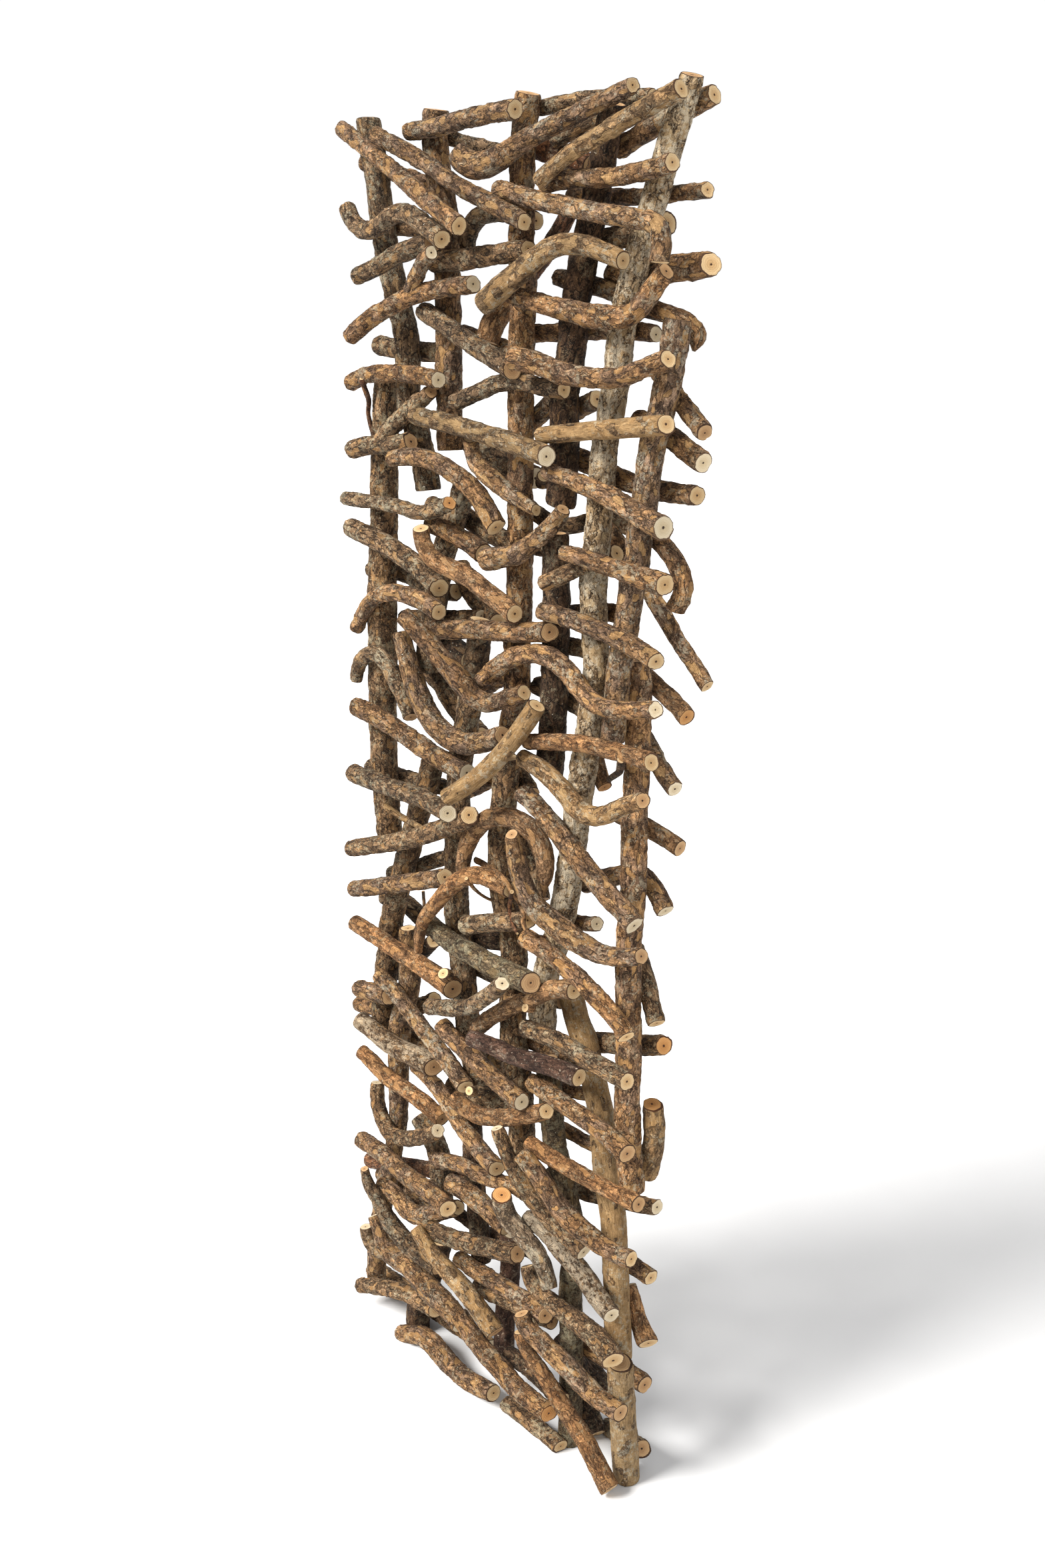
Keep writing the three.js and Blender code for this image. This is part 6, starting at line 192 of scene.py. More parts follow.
    ('B33', 'tb', 'upright_04', [(93.6, 39.6, 1375.6, 11.9), (109.4, 39.6, 1372.3, 11.9), (125.2, 39.6, 1368.9, 11.8), (141, 39.6, 1365.2, 11.7), (156.7, 39.6, 1361.2, 11.7), (172.2, 39.6, 1356.7, 11.6), (187.9, 39.6, 1352.6, 11.6), (203.8, 39.6, 1350.1, 11.5), (219.9, 39.6, 1348.2, 11.4), (236, 39.6, 1346.6, 11.3), (252.1, 39.6, 1345.5, 11.3), (268.3, 39.6, 1345, 11.2), (284.5, 39.6, 1345.1, 11.1), (300.6, 39.6, 1346.1, 11.1)]),
    ('B36', 'gb', 'upright_05', [(28.3, 45, 1305.4, 9.9), (41.6, 46.9, 1297.4, 9.9), (55.6, 48.8, 1290.7, 9.9), (70.5, 50.9, 1286.5, 9.8), (85.9, 53, 1285.6, 9.8), (101.2, 55, 1288.3, 9.7), (115.9, 56.9, 1293.1, 9.7), (130.5, 58.8, 1298.3, 9.6), (145.4, 60.8, 1302.5, 9.6), (160.8, 63, 1302.6, 9.5), (175.1, 65.3, 1297.1, 9.5), (188.1, 67.3, 1288.6, 9.4)]),
    ('B37', 'tb', 'upright_05', [(98.8, 39.6, 1242.5, 10.6), (113.5, 38.6, 1248.1, 10.5), (128.4, 37.6, 1253.3, 10.4), (143.5, 36.6, 1257.9, 10.4), (158.8, 35.6, 1261.7, 10.3), (174.2, 34.6, 1265, 10.2), (189.7, 33.5, 1267.8, 10.1)]),
    ('B39', 'tb', 'upright_07', [(200.9, 32.2, 1301.5, 9.3), (216.2, 31.2, 1300.7, 9.4), (231.4, 30.1, 1298.8, 9.5), (246.3, 28.9, 1295.5, 9.7), (260.7, 27.7, 1290.4, 9.8), (274, 26.4, 1283, 10), (285.8, 25, 1273.4, 10.2), (296, 23.5, 1262, 10.4), (303.6, 22, 1248.9, 10.7), (302.5, 20.4, 1234, 11), (294.7, 19.1, 1221, 11.2)]),
    ('B40', 'tb', 'upright_05', [(143.9, 45.8, 1308, 10.4), (155.5, 47.6, 1296.5, 10.3), (166.9, 49.4, 1284.9, 10.3), (178.2, 51.3, 1273.2, 10.3), (189.3, 53.1, 1261.2, 10.2), (200.2, 55, 1249.2, 10.2), (211, 56.8, 1237, 10.2), (221.5, 58.7, 1224.6, 10.2), (231.5, 60.7, 1211.8, 10.1), (240.9, 62.6, 1198.5, 9.9), (250.6, 64.6, 1185.5, 9.6), (261, 66.5, 1173, 9.4), (271.6, 68.4, 1160.6, 9.1), (282, 70.4, 1148.1, 8.9), (292.4, 72.4, 1135.6, 8.7), (302.8, 74.3, 1123.1, 8.4)]),
    ('B41', 'or', 'upright_10', [(207.9, 59.2, 1126.8, 11.2), (222.5, 57.9, 1120.9, 11.2), (237.1, 56.6, 1115, 11.1), (251.7, 55.3, 1109.2, 11.1), (266.2, 53.9, 1103.2, 11), (280.2, 52.5, 1096, 11), (293.6, 51.1, 1087.7, 10.9)]),
    ('B42', 'gb', 'upright_06', [(-205.9, 37.9, 1128.3, 9.2), (-189.9, 37.7, 1130.9, 9.2), (-173.8, 37.4, 1133.5, 9.1), (-157.8, 37.2, 1136.1, 9.1), (-141.7, 37, 1138.7, 9), (-125.6, 36.8, 1141.3, 9), (-109.6, 36.5, 1143.8, 8.9), (-93.5, 36.3, 1146.4, 8.8), (-77.5, 36, 1149, 8.8), (-61.4, 35.8, 1151.6, 8.7), (-45.3, 35.6, 1154.2, 8.7)]),
    ('B44', 'gb', 'upright_13', [(-162.5, 39.6, 1068, 14.7), (-148.1, 39.6, 1062.6, 14.6), (-134.2, 39.5, 1056, 14.6), (-121.5, 39.4, 1047.4, 14.5), (-110.3, 39.3, 1036.8, 14.5), (-99.5, 39.2, 1025.9, 14.5), (-87.8, 39.1, 1015.9, 14.4), (-75.2, 39.1, 1007.1, 14.4), (-62, 39, 999.2, 14.3), (-48.5, 38.9, 991.8, 14.3)]),
    ('B47', 'gb', 'upright_09', [(57.3, 39.6, 1081.4, 11.9), (72.6, 39.1, 1081.1, 11.8), (87.9, 38.4, 1080, 11.7), (103, 37.8, 1078.2, 11.7), (118.1, 37.2, 1075.4, 11.6), (132.8, 36.5, 1071.3, 11.6), (147.2, 35.8, 1066.2, 11.5)]),
    ('B48', 'gb', 'upright_09', [(86.1, 32.5, 1143.1, 10.8), (102.3, 33.9, 1143.8, 10.7), (118.6, 35.3, 1144.1, 10.6), (134.8, 36.7, 1144, 10.6), (151.1, 38.2, 1143.5, 10.5), (167.3, 39.6, 1142.5, 10.5)]),
    ('B50', 'tb', 'upright_10', [(211.2, 61, 1055.3, 10.6), (224.3, 58, 1046.5, 10.5), (237, 54.9, 1037.1, 10.5), (249.2, 51.8, 1027.2, 10.4), (261.2, 48.6, 1016.8, 10.4), (274, 45.4, 1007.8, 10.3), (287.9, 42.4, 1000.1, 10.3)]),
    ('B51', 'or', 'upright_10', [(199.2, 42.1, 945.9, 11.1), (214.6, 44.5, 943.4, 11.1), (229.8, 46.9, 940.4, 11), (244.9, 49.4, 936.9, 11), (259.9, 51.9, 932.7, 10.9), (274.5, 54.5, 927.6, 10.9), (288.8, 57.2, 921.5, 10.9)]),
    ('B52', 'tb', 'upright_10', [(143.2, 45.8, 834.1, 12), (157.2, 46.1, 841.6, 11.9), (171.3, 46.4, 848.9, 11.9), (185.5, 46.7, 856, 11.8), (199.9, 47, 862.6, 11.7), (214.9, 47.3, 867.8, 11.7), (230.2, 47.7, 872.3, 11.6), (245.8, 48.1, 873.1, 11.5), (258, 48.5, 863.2, 11.5), (268.2, 48.9, 851.1, 11.5), (276.7, 49.4, 837.6, 11.5)]),
    ('B53', 'gb', 'upright_10', [(226.7, 48.6, 776.7, 11.8), (238.5, 47.3, 764.1, 11.8), (248.7, 45.9, 750.3, 11.7), (256.7, 44.5, 735.1, 11.7), (264, 43.1, 719.5, 11.7), (271.7, 41.7, 704.1, 11.7), (279.6, 40.4, 688.8, 11.7)]),
    ('B54', 'gb', 'upright_15', [(131.8, 74.5, 593.4, 13.6), (146, 72.3, 598.9, 13.5), (160.3, 70.1, 604.5, 13.4), (174.5, 67.9, 610.1, 13.3), (188.6, 65.6, 615.8, 13.2), (202.8, 63.4, 621.5, 13.1), (216.9, 61.1, 627.4, 13), (231, 58.8, 633.3, 13), (245, 56.5, 639.2, 12.9), (259, 54.1, 645.2, 12.8), (273, 51.7, 651.3, 12.7), (287, 49.3, 657.4, 12.6)]),
    ('B55', 'pl', 'upright_10', [(281.1, 39.6, 574, 13.6), (283.8, 39.6, 558.8, 13.6), (285.4, 39.5, 543.4, 13.7), (285.7, 39.5, 528, 13.7), (284.5, 39.5, 512.6, 13.7), (282.3, 39.4, 497.3, 13.8), (278.8, 39.4, 482.2, 13.8), (274.1, 39.3, 467.5, 13.9)]),
    ('B56', 'gb', 'upright_15', [(96.9, 39.6, 385.5, 11.2), (112.5, 41.3, 383.5, 11.2), (128.1, 42.9, 382.5, 11.1), (143.7, 44.5, 382.7, 11.1), (159.3, 46, 383.7, 11), (174.8, 47.5, 385.6, 11), (190.2, 49.1, 388.6, 10.9), (205.3, 50.5, 392.4, 10.8), (220.4, 52, 396.7, 10.8), (235.4, 53.5, 401, 10.7), (250.5, 55, 405.1, 10.7), (265.7, 56.6, 409, 10.6), (280.8, 58.2, 413, 10.6)]),
    ('B57', 'tb', 'upright_15', [(197.6, 44.2, 319.8, 11.4), (214.7, 45.6, 319.3, 11.4), (231.7, 47.1, 317.4, 11.3), (248.4, 48.6, 313.7, 11.3), (265.1, 50.2, 309.9, 11.2), (282.1, 51.7, 307.7, 11.2)]),
    ('B58', 'or', 'upright_15', [(251.2, 45, 282.5, 9.1), (258.7, 43.9, 268.4, 9.8), (265.2, 42.9, 253.7, 10.5), (272.2, 41.8, 239.3, 11.5), (281.6, 40.7, 226.3, 13), (293, 39.6, 215, 14.4)]),
    ('B59', 'tb', 'upright_14b', [(150.2, 37.2, 149.9, 13.3), (165.8, 37.5, 149.1, 13.2), (181.5, 37.8, 148.5, 13.2), (197.1, 38, 148.2, 13.1), (212.8, 38.3, 148.4, 13), (228.4, 38.5, 148.8, 13), (244.1, 38.8, 149.1, 12.9), (259.7, 39.1, 148.7, 12.8), (275.3, 39.3, 147.9, 12.8), (290.9, 39.6, 146.6, 12.7)]),
    ('B61', 'gb', 'upright_18', [(200.3, 70.3, -3.2, 13.5), (213.3, 66.3, 2.7, 13.5), (226.4, 62.2, 8.5, 13.4), (239.5, 58.1, 14.3, 13.3), (252.6, 54, 20, 13.2), (265.6, 49.8, 25.7, 13.1), (278.7, 45.5, 31.3, 13), (291.8, 41.1, 36.8, 12.9)]),
    ('B62', 'or', 'upright_05', [(142.7, 40, 1044.6, 9.9), (153.8, 38.7, 1033.4, 9.9), (162.4, 37.4, 1020.2, 9.9), (168.2, 36, 1005.5, 9.9), (175.2, 34.7, 991.3, 9.9), (184.4, 33.4, 978.4, 9.9)]),
    ('B66', 'tb', 'upright_05', [(78.9, 39.1, 767.5, 9.7), (93.6, 38.2, 770.9, 9.7), (108.2, 37.2, 774.4, 9.6), (122.8, 36.2, 778.1, 9.6), (137.4, 35.2, 781.9, 9.5), (151.9, 34.3, 785.8, 9.5), (166.4, 33.3, 789.9, 9.4), (180.9, 32.2, 794, 9.3)]),
    ('B67', 'dk', 'upright_16', [(-243.5, 35.9, 568.4, 11.1), (-230.5, 36.2, 579, 11.1), (-217.7, 36.6, 589.8, 11), (-205.1, 37, 600.8, 10.9), (-192.7, 37.3, 612, 10.9), (-180.5, 37.7, 623.4, 10.8), (-168.5, 38.1, 635.1, 10.8), (-156.7, 38.5, 647, 10.7), (-145.1, 38.9, 659, 10.7)]),
    ('B68', 'gb', 'upright_16', [(-232.9, 32.5, 740.2, 10.8), (-217.5, 33.2, 746.4, 10.7), (-202.2, 33.9, 753, 10.7), (-187.3, 34.6, 760.2, 10.6), (-172.7, 35.3, 768.1, 10.6), (-158.4, 36, 776.6, 10.5), (-143.9, 36.7, 784.6, 10.5), (-129.1, 37.4, 792, 10.4), (-114, 38.1, 798.9, 10.3), (-98.7, 38.9, 805.4, 10.3), (-83.2, 39.6, 811.3, 10.2)]),
    ('B69', 'gb', 'upright_16', [(-257.8, 39.6, 695.6, 13), (-241.5, 42, 696.7, 12.9), (-225.2, 44.6, 695.9, 12.9), (-209.5, 47.4, 691.9, 12.8), (-195.1, 50.4, 684.4, 12.8), (-181.1, 53.4, 676.2, 12.8), (-167.1, 56.4, 667.9, 12.7), (-153.4, 59.5, 659.1, 12.7)]),
    ('B70', 'rd', 'upright_19', [(-301.4, 38.3, 222, 12.9), (-285.8, 38.4, 227.3, 12.9), (-270.2, 38.5, 232.6, 12.8), (-254.6, 38.6, 237.9, 12.7), (-239, 38.6, 243.2, 12.7), (-223.4, 38.7, 248.6, 12.6), (-207.8, 38.8, 254, 12.5), (-192.3, 38.9, 259.5, 12.5), (-176.8, 39, 265.1, 12.4), (-161.2, 39.1, 270.5, 12.3), (-145.6, 39.2, 275.7, 12.3), (-129.9, 39.2, 280.6, 12.2), (-114, 39.3, 285.2, 12.1), (-98.1, 39.4, 289.5, 12.1), (-82.2, 39.5, 293.6, 12), (-66.2, 39.6, 297.4, 12)]),
    ('B73', 'tb', 'upright_15', [(74.7, 39.6, 471.3, 9.3), (90.7, 41.3, 469.3, 9.2), (106.6, 43.1, 467.4, 9.2), (122.6, 44.8, 465.5, 9.2), (138.5, 46.6, 463.6, 9.1), (154.5, 48.3, 461.8, 9.1), (170.5, 50.1, 460.5, 9), (186.6, 51.9, 459.8, 9), (202.6, 53.6, 459.7, 9), (218.7, 55.4, 459.9, 8.9)]),
    ('B75', 'tb', 'upright_12', [(60.1, 34.6, 520.9, 9.3), (75.4, 36.4, 522.3, 9.2), (90.6, 38.3, 523.9, 9.2), (105.9, 40.1, 525.9, 9.1), (121.1, 42, 528.2, 9.1), (136.2, 43.9, 530.7, 9), (151.3, 45.7, 533.5, 9), (166.4, 47.6, 536.5, 8.9)]),
    ('B76', 'dk', 'upright_14b', [(105.1, 62.3, 101.2, 11.7), (121.2, 62.6, 94.7, 11.7), (137, 63, 87.8, 11.6), (152.7, 63.3, 80.4, 11.6), (168.2, 63.6, 72.6, 11.6), (183.5, 64, 64.4, 11.5), (198.5, 64.3, 55.8, 11.5)]),
    ('B77', 'dk', 'upright_25', [(-73.6, 24.4, 242.4, 9), (-58.9, 26, 239.1, 9), (-43.9, 27.5, 236.8, 8.9), (-28.8, 29.1, 235.8, 8.9), (-13.6, 30.6, 235.9, 8.9), (1.6, 32.1, 236.7, 8.8), (16.7, 33.6, 237.6, 8.8), (31.8, 35.1, 238.5, 8.8), (47, 36.6, 239.4, 8.7), (62.1, 38.1, 240.5, 8.7), (77.2, 39.6, 241.7, 8.6)]),
    ('B79', 'gb', 'upright_12', [(-14, 39.6, 982.3, 10.6), (1, 39, 975.6, 10.6), (15.5, 38.3, 967.7, 10.5), (29.2, 37.6, 958.6, 10.5), (42.1, 36.9, 948.3, 10.5), (53.9, 36.2, 936.8, 10.4)]),
    ('B82', 'gb', 'upright_22', [(-305.2, 44.1, 11, 14.4), (-289, 43.8, 12, 14.4), (-272.9, 43.5, 13, 14.3), (-256.7, 43.1, 13.9, 14.2), (-240.5, 42.8, 14.9, 14.2), (-224.3, 42.4, 16, 14.1), (-208.1, 42.1, 17, 14), (-192, 41.7, 18, 14), (-175.8, 41.3, 19, 13.9), (-159.6, 41, 20, 13.8), (-143.4, 40.6, 21, 13.8), (-127.2, 40.2, 22, 13.7), (-111.1, 39.9, 23, 13.6), (-94.9, 39.5, 24, 13.6), (-78.7, 39.1, 25.1, 13.5), (-62.5, 38.7, 26.1, 13.4), (-46.4, 38.3, 27.1, 13.4), (-30.2, 38, 28.1, 13.3), (-14, 37.6, 29.2, 13.2)]),
    ('B83', 'gb', 'upright_06', [(-282.5, 37.9, 894.3, 11.7), (-267.1, 37.9, 894.1, 11.7), (-251.6, 38, 894, 11.6), (-236.2, 38, 894.1, 11.6), (-220.8, 38.1, 894.4, 11.5), (-205.4, 38.1, 894.9, 11.4), (-190, 38.1, 895.7, 11.4), (-174.6, 38.2, 896.7, 11.3), (-159.2, 38.2, 897.8, 11.3), (-143.8, 38.3, 899.1, 11.2), (-128.5, 38.3, 900.6, 11.2), (-113.1, 38.4, 902.2, 11.1), (-97.8, 38.4, 904.1, 11), (-82.5, 38.5, 906, 11)]),
    ('B85', 'gb', 'upright_13', [(-74.4, 35.7, 656.8, 12.3), (-57.8, 36.8, 655.1, 12.2), (-41.2, 37.9, 653.6, 12.2), (-24.6, 39, 652.4, 12.1), (-8, 40.1, 651.5, 12.1), (8.6, 41.2, 651.1, 12), (25.3, 42.4, 650.9, 11.9), (41.9, 43.5, 651, 11.9), (58.6, 44.6, 651.3, 11.8), (75.2, 45.7, 651.9, 11.8), (91.8, 46.9, 652.8, 11.7), (108.4, 48, 654, 11.6)]),
    ('B87', 'tb', 'upright_16', [(-319.6, 36, 495.7, 12.5), (-303.6, 36.3, 497.5, 12.5), (-287.8, 36.7, 499.9, 12.4), (-272.1, 37, 503.1, 12.4), (-256.6, 37.3, 507.3, 12.3), (-241.4, 37.7, 512.3, 12.2), (-226.5, 38, 518.2, 12.2), (-211.8, 38.3, 524.7, 12.1), (-197.4, 38.6, 531.7, 12), (-183.4, 39, 539.5, 12), (-169.7, 39.3, 547.7, 11.9), (-156.3, 39.6, 556.6, 11.9), (-143.1, 39.9, 565.8, 11.8)]),
    ('B88', 'tb', 'upright_01', [(-266.3, 30, 1711.3, 10.3), (-250.5, 31, 1707.4, 10.2), (-234.8, 32.1, 1703.5, 10.2), (-219, 33.1, 1699.4, 10.1), (-203.3, 34.2, 1695.3, 10.1), (-187.7, 35.2, 1691.1, 10), (-172, 36.3, 1686.7, 10), (-156.4, 37.4, 1682.3, 9.9), (-140.8, 38.5, 1677.8, 9.9), (-125.2, 39.6, 1673.2, 9.8)]),
    ('B91', 'rd', 'upright_03', [(25, 32.3, 1719.6, 13), (41.2, 34.5, 1715.4, 13), (57.4, 36.8, 1710.9, 12.9), (73.5, 39.1, 1706, 12.8), (89.5, 41.4, 1700.9, 12.8), (105.3, 43.7, 1695.4, 12.7), (121, 46.1, 1689.5, 12.7)]),
    ('B95', 'or', 'upright_02', [(-18.2, 17.5, 1499.5, 14.5), (-16.7, 22.7, 1514.5, 14.5), (-11.9, 28.2, 1528.8, 14.5), (-3.5, 33.9, 1541.1, 14.4), (8.1, 39, 1550.9, 14.4), (21.3, 43.7, 1558.6, 14.3)]),
    ('B96', 'tb', 'upright_02', [(-82.7, 33.6, 1508.6, 10), (-67.5, 34.6, 1505, 9.9), (-52.3, 35.7, 1501.4, 9.9), (-37.1, 36.7, 1497.8, 9.8), (-21.9, 37.8, 1494.3, 9.8), (-6.7, 38.8, 1490.8, 9.7), (8.5, 39.9, 1487.3, 9.7)]),
    ('B99', 'tb', 'upright_03', [(26.3, 37.5, 1395.5, 11.4), (39.2, 36.3, 1404.5, 11.3), (52.1, 35.1, 1413.6, 11.2), (65, 33.8, 1422.7, 11.1), (78, 32.5, 1431.7, 11.1), (90.9, 31.3, 1440.8, 11)]),
    ('B100', 'tb', 'upright_04', [(75.6, 52.9, 1414.8, 11.2), (91.3, 48.7, 1419.6, 11.1), (106.9, 44.3, 1424.5, 11), (122.4, 39.9, 1429.7, 10.9), (137.8, 35.4, 1435, 10.8), (153.1, 30.9, 1440.6, 10.7)]),
    ('B106', 'dk', 'upright_08', [(-154.6, 47.1, 1112.8, 15.5), (-139.1, 44.7, 1109.6, 15.4), (-123.6, 42.2, 1106.5, 15.3), (-108.2, 39.7, 1103.3, 15.2), (-92.7, 37.2, 1100.2, 15.1), (-77.2, 34.7, 1097.2, 15.1), (-61.7, 32.2, 1094.1, 15)]),
    ('B107', 'tb', 'upright_13', [(-121.3, 69.8, 1021.2, 12), (-106.6, 66.7, 1028.9, 11.9), (-92, 63.5, 1036.7, 11.8), (-77.4, 60.3, 1044.4, 11.7), (-62.7, 57, 1052.1, 11.6), (-48.1, 53.7, 1059.7, 11.5), (-33.5, 50.4, 1067.4, 11.5), (-18.9, 47, 1075.1, 11.4), (-4.2, 43.6, 1082.7, 11.3), (10.4, 40.2, 1090.3, 11.2)]),
    ('B110', 'tb', 'upright_06', [(-121.3, 66.6, 884.3, 12.2), (-108, 64.5, 891.8, 12.1), (-94.7, 62.4, 899.4, 12), (-81.5, 60.2, 906.9, 12), (-68.2, 58.1, 914.5, 11.9), (-54.9, 55.9, 922, 11.8), (-41.7, 53.6, 929.6, 11.7), (-28.4, 51.4, 937.1, 11.7), (-15.1, 49.1, 944.6, 11.6)]),
    ('B114', 'gb', 'upright_12', [(14.4, 38.2, 886.3, 11.5), (27.4, 38.4, 876.5, 11.5), (39.5, 38.6, 865.6, 11.5), (49.9, 38.8, 853.2, 11.5), (58.2, 39, 839.2, 11.5), (64.9, 39.2, 824.3, 11.5), (70.1, 39.4, 808.9, 11.5), (73.6, 39.6, 793, 11.5)]),
    ('B117', 'dk', 'upright_13', [(-94.1, 38, 685.1, 13.3), (-77.8, 38.2, 689.1, 13.2), (-61.6, 38.4, 693, 13.1), (-45.4, 38.7, 696.9, 13.1), (-29.2, 38.9, 700.8, 13), (-13, 39.1, 704.7, 12.9), (3.2, 39.4, 708.6, 12.8), (19.4, 39.6, 712.5, 12.8)]),
    ('B118', 'tb', 'upright_17', [(-247.6, 39.6, 483.3, 13.3), (-231.4, 39.1, 483, 13.3), (-215.1, 38.6, 482.7, 13.2), (-198.8, 38, 482.4, 13.1), (-182.6, 37.5, 482.2, 13.1), (-166.3, 36.9, 481.9, 13), (-150, 36.4, 481.6, 12.9), (-133.8, 35.8, 481.3, 12.9)]),
    ('B119', 'tb', 'upright_12', [(31.1, 34, 581, 12.9), (46.8, 36.5, 581.1, 12.9), (62.4, 39, 580.6, 12.8), (78, 41.6, 579.5, 12.8), (93.6, 44.2, 577.7, 12.7), (109, 46.9, 575.1, 12.7), (124.2, 49.7, 571.8, 12.6), (139.3, 52.5, 567.6, 12.6), (154.1, 55.4, 562.6, 12.6)]),
    ('B121', 'tb', 'upright_13', [(-62.6, 32.4, 523.3, 12.5), (-47.4, 34.3, 520.9, 12.4), (-32.3, 36.2, 518.4, 12.4), (-17.2, 38.1, 516, 12.3), (-2, 40.1, 513.5, 12.3), (13.1, 42, 511, 12.3), (28.2, 44, 508.4, 12.2), (43.3, 46, 505.9, 12.1)]),
    ('B122', 'gb', 'upright_25', [(-101.9, 42.5, 438.1, 19.8), (-86.2, 42.4, 441.2, 19.7), (-70.4, 42.4, 443.9, 19.6), (-54.5, 42.3, 446.2, 19.5), (-38.6, 42.2, 447.9, 19.4), (-22.7, 42.1, 448.9, 19.3), (-6.7, 42, 449.2, 19.2), (9.3, 41.9, 448.7, 19.1), (25.3, 41.8, 447.4, 19)]),
    ('B126', 'tb', 'upright_17', [(-284.8, 52.8, 200.5, 15.1), (-269, 49.1, 202.5, 15), (-253.1, 45.4, 204.4, 15), (-237.3, 41.6, 206.1, 14.9), (-221.5, 37.7, 207.6, 14.8), (-205.7, 33.7, 208.8, 14.7), (-189.9, 29.6, 209.9, 14.7), (-174.1, 25.5, 210.6, 14.6), (-158.3, 21.3, 211.2, 14.5), (-142.5, 17, 211.4, 14.4), (-126.7, 12.6, 211.5, 14.4)]),
    ('B130', 'dk', 'upright_14b', [(106.5, 78.4, 88.6, 14.8), (121.4, 78.6, 80.6, 14.7), (136.5, 78.9, 72.8, 14.7), (151.7, 79.1, 65.3, 14.6), (167, 79.4, 58, 14.6), (182.4, 79.6, 50.9, 14.5), (197.9, 79.9, 44.1, 14.4)]),
    ('T01', 'or', 'front_branch_50', [(-15.8, 2.9, 832.4, 4.5), (-8.6, 2.9, 831.8, 4.3), (-1.2, 2.6, 831.3, 4.2), (7.7, 0.9, 831.6, 4.1), (20.2, -4.4, 833.6, 3.9), (37.7, -14.9, 838.2, 3.7), (56.7, -26.9, 843.6, 3.6), (70.9, -34.6, 846.5, 3.4), (79.7, -38, 845.9, 3.5), (86.5, -39.6, 844.3, 3.5), (92, -40.3, 841.8, 3.6), (95.2, -39.8, 837.7, 3.6), (95.9, -37, 832.2, 3.7), (92.3, -29.4, 824.3, 3.8), (84.6, -17.1, 814.2, 3.9), (81.4, -9.1, 806.5, 3.8), (84.2, -9.2, 802.1, 3.6), (91.6, -14, 800.3, 3.5), (99.6, -19.4, 799, 3.4), (104.1, -23.8, 796.1, 3.2), (107.5, -27.4, 792.5, 3.1), (112.3, -31.4, 789.7, 3), (119.4, -35.7, 788, 2.8), (126, -39, 786.2, 2.7), (133.8, -40, 787, 2.6), (138.3, -37.6, 785.7, 2.5), (138.2, -30.5, 782, 2.4), (132.8, -17.7, 775.6, 2.2), (124, -1.2, 767, 2.1)]),
    ('T02', 'dk', 'front_branch_50', [(-70.2, -43.6, 783.2, 2.3), (-69.5, -43.6, 777.1, 2.2), (-68.7, -43.7, 771.1, 2.2), (-67.5, -44, 765.2, 2.1), (-67.6, -44.8, 759.1, 2.1), (-69.3, -45.9, 752.9, 2), (-71.1, -47, 746.6, 2), (-73.2, -47.7, 740, 2), (-75.7, -47.9, 733.1, 1.9), (-78.7, -47.6, 725.8, 1.9), (-82.1, -47, 718.3, 1.8)]),
    ('T03', 'rd', 'upright_06', [(-207.5, -25.8, 1447.6, 3.9), (-208.7, -23.2, 1442.4, 3.8), (-209.5, -20.9, 1437.2, 3.7), (-209.4, -18.8, 1432.2, 3.6), (-208.5, -16.9, 1427.2, 3.5), (-207.7, -15.1, 1422.3, 3.4), (-209.5, -13.2, 1417, 3.3), (-212.8, -11.4, 1411.4, 3.2), (-216.1, -9.6, 1405.8, 3), (-218.1, -7.7, 1400.3, 3), (-218.6, -5.9, 1395, 3), (-218.9, -4.2, 1389.6, 2.9), (-218, -3.4, 1384.4, 2.8), (-213.2, -5.7, 1379.6, 2.8), (-202.6, -12.5, 1375.4, 2.7), (-189.1, -21.8, 1371.7, 2.6), (-176.4, -30.4, 1368, 2.6)]),
    ('T04', 'pl', 'upright_06', [(-192.7, -8.5, 865.8, 5.2), (-186.1, -7.4, 863.7, 5.1), (-180.3, -5.7, 861.1, 5), (-175.3, -3.2, 858.1, 4.9), (-170.1, -1.1, 855.4, 4.8), (-162.6, -0.4, 854, 4.7), (-152.9, -1.6, 853.7, 4.6), (-140.9, -4.7, 854.5, 4.5), (-124.8, -11.5, 857.3, 4.3), (-101.7, -24.2, 863.4, 4.2), (-72.5, -42.3, 872.6, 4)]),
    ('T05', 'dk', 'upright_09', [(271.3, -36.4, 1048.3, 5), (261.3, -25.6, 1038.7, 4.8), (251.3, -14.8, 1029, 4.6), (240.7, -3.9, 1019.3, 4.3), (225.8, 6.9, 1010.4, 4.1), (210.8, 17.7, 1001.5, 3.9), (195.6, 28.5, 992.4, 3.7)]),
    ('T07', 'or', 'front_branch_50', [(19.7, -46.2, 829.3, 3), (19.9, -42, 823.6, 2.9), (19.5, -37.2, 817.6, 2.7), (18.6, -32, 811.2, 2.5), (18.5, -26.5, 805.8, 2.3), (18.8, -20.9, 800.7, 2.2), (19, -15.3, 795.6, 2.1), (20, -9.7, 791.6, 2), (21.5, -4.1, 788.3, 1.9), (23, 1.4, 785, 1.8)]),
    ('T08', 'rd', 'upright_12', [(99.3, -40.8, 833.4, 3), (87.7, -30.8, 821.2, 2.9), (75.4, -20.1, 808.5, 2.8), (66.9, -13.1, 798, 2.8), (67, -13.1, 792, 2.7), (73.1, -17.7, 789.2, 2.6), (79.5, -22.5, 786.7, 2.4), (84, -25.5, 783, 2.2), (89.6, -28.1, 780, 2.1), (98.6, -33.1, 779.1, 1.9), (110.5, -41.1, 780.1, 1.7)]),
    ('T11', 'or', 'upright_05', [(116.4, -17.1, 670.2, 7.3), (116.4, -21, 671.2, 7.3), (116.4, -24.9, 672.2, 6.5), (116.4, -27.8, 672.9, 6.5), (116.4, -29.7, 673.4, 6.5)]),
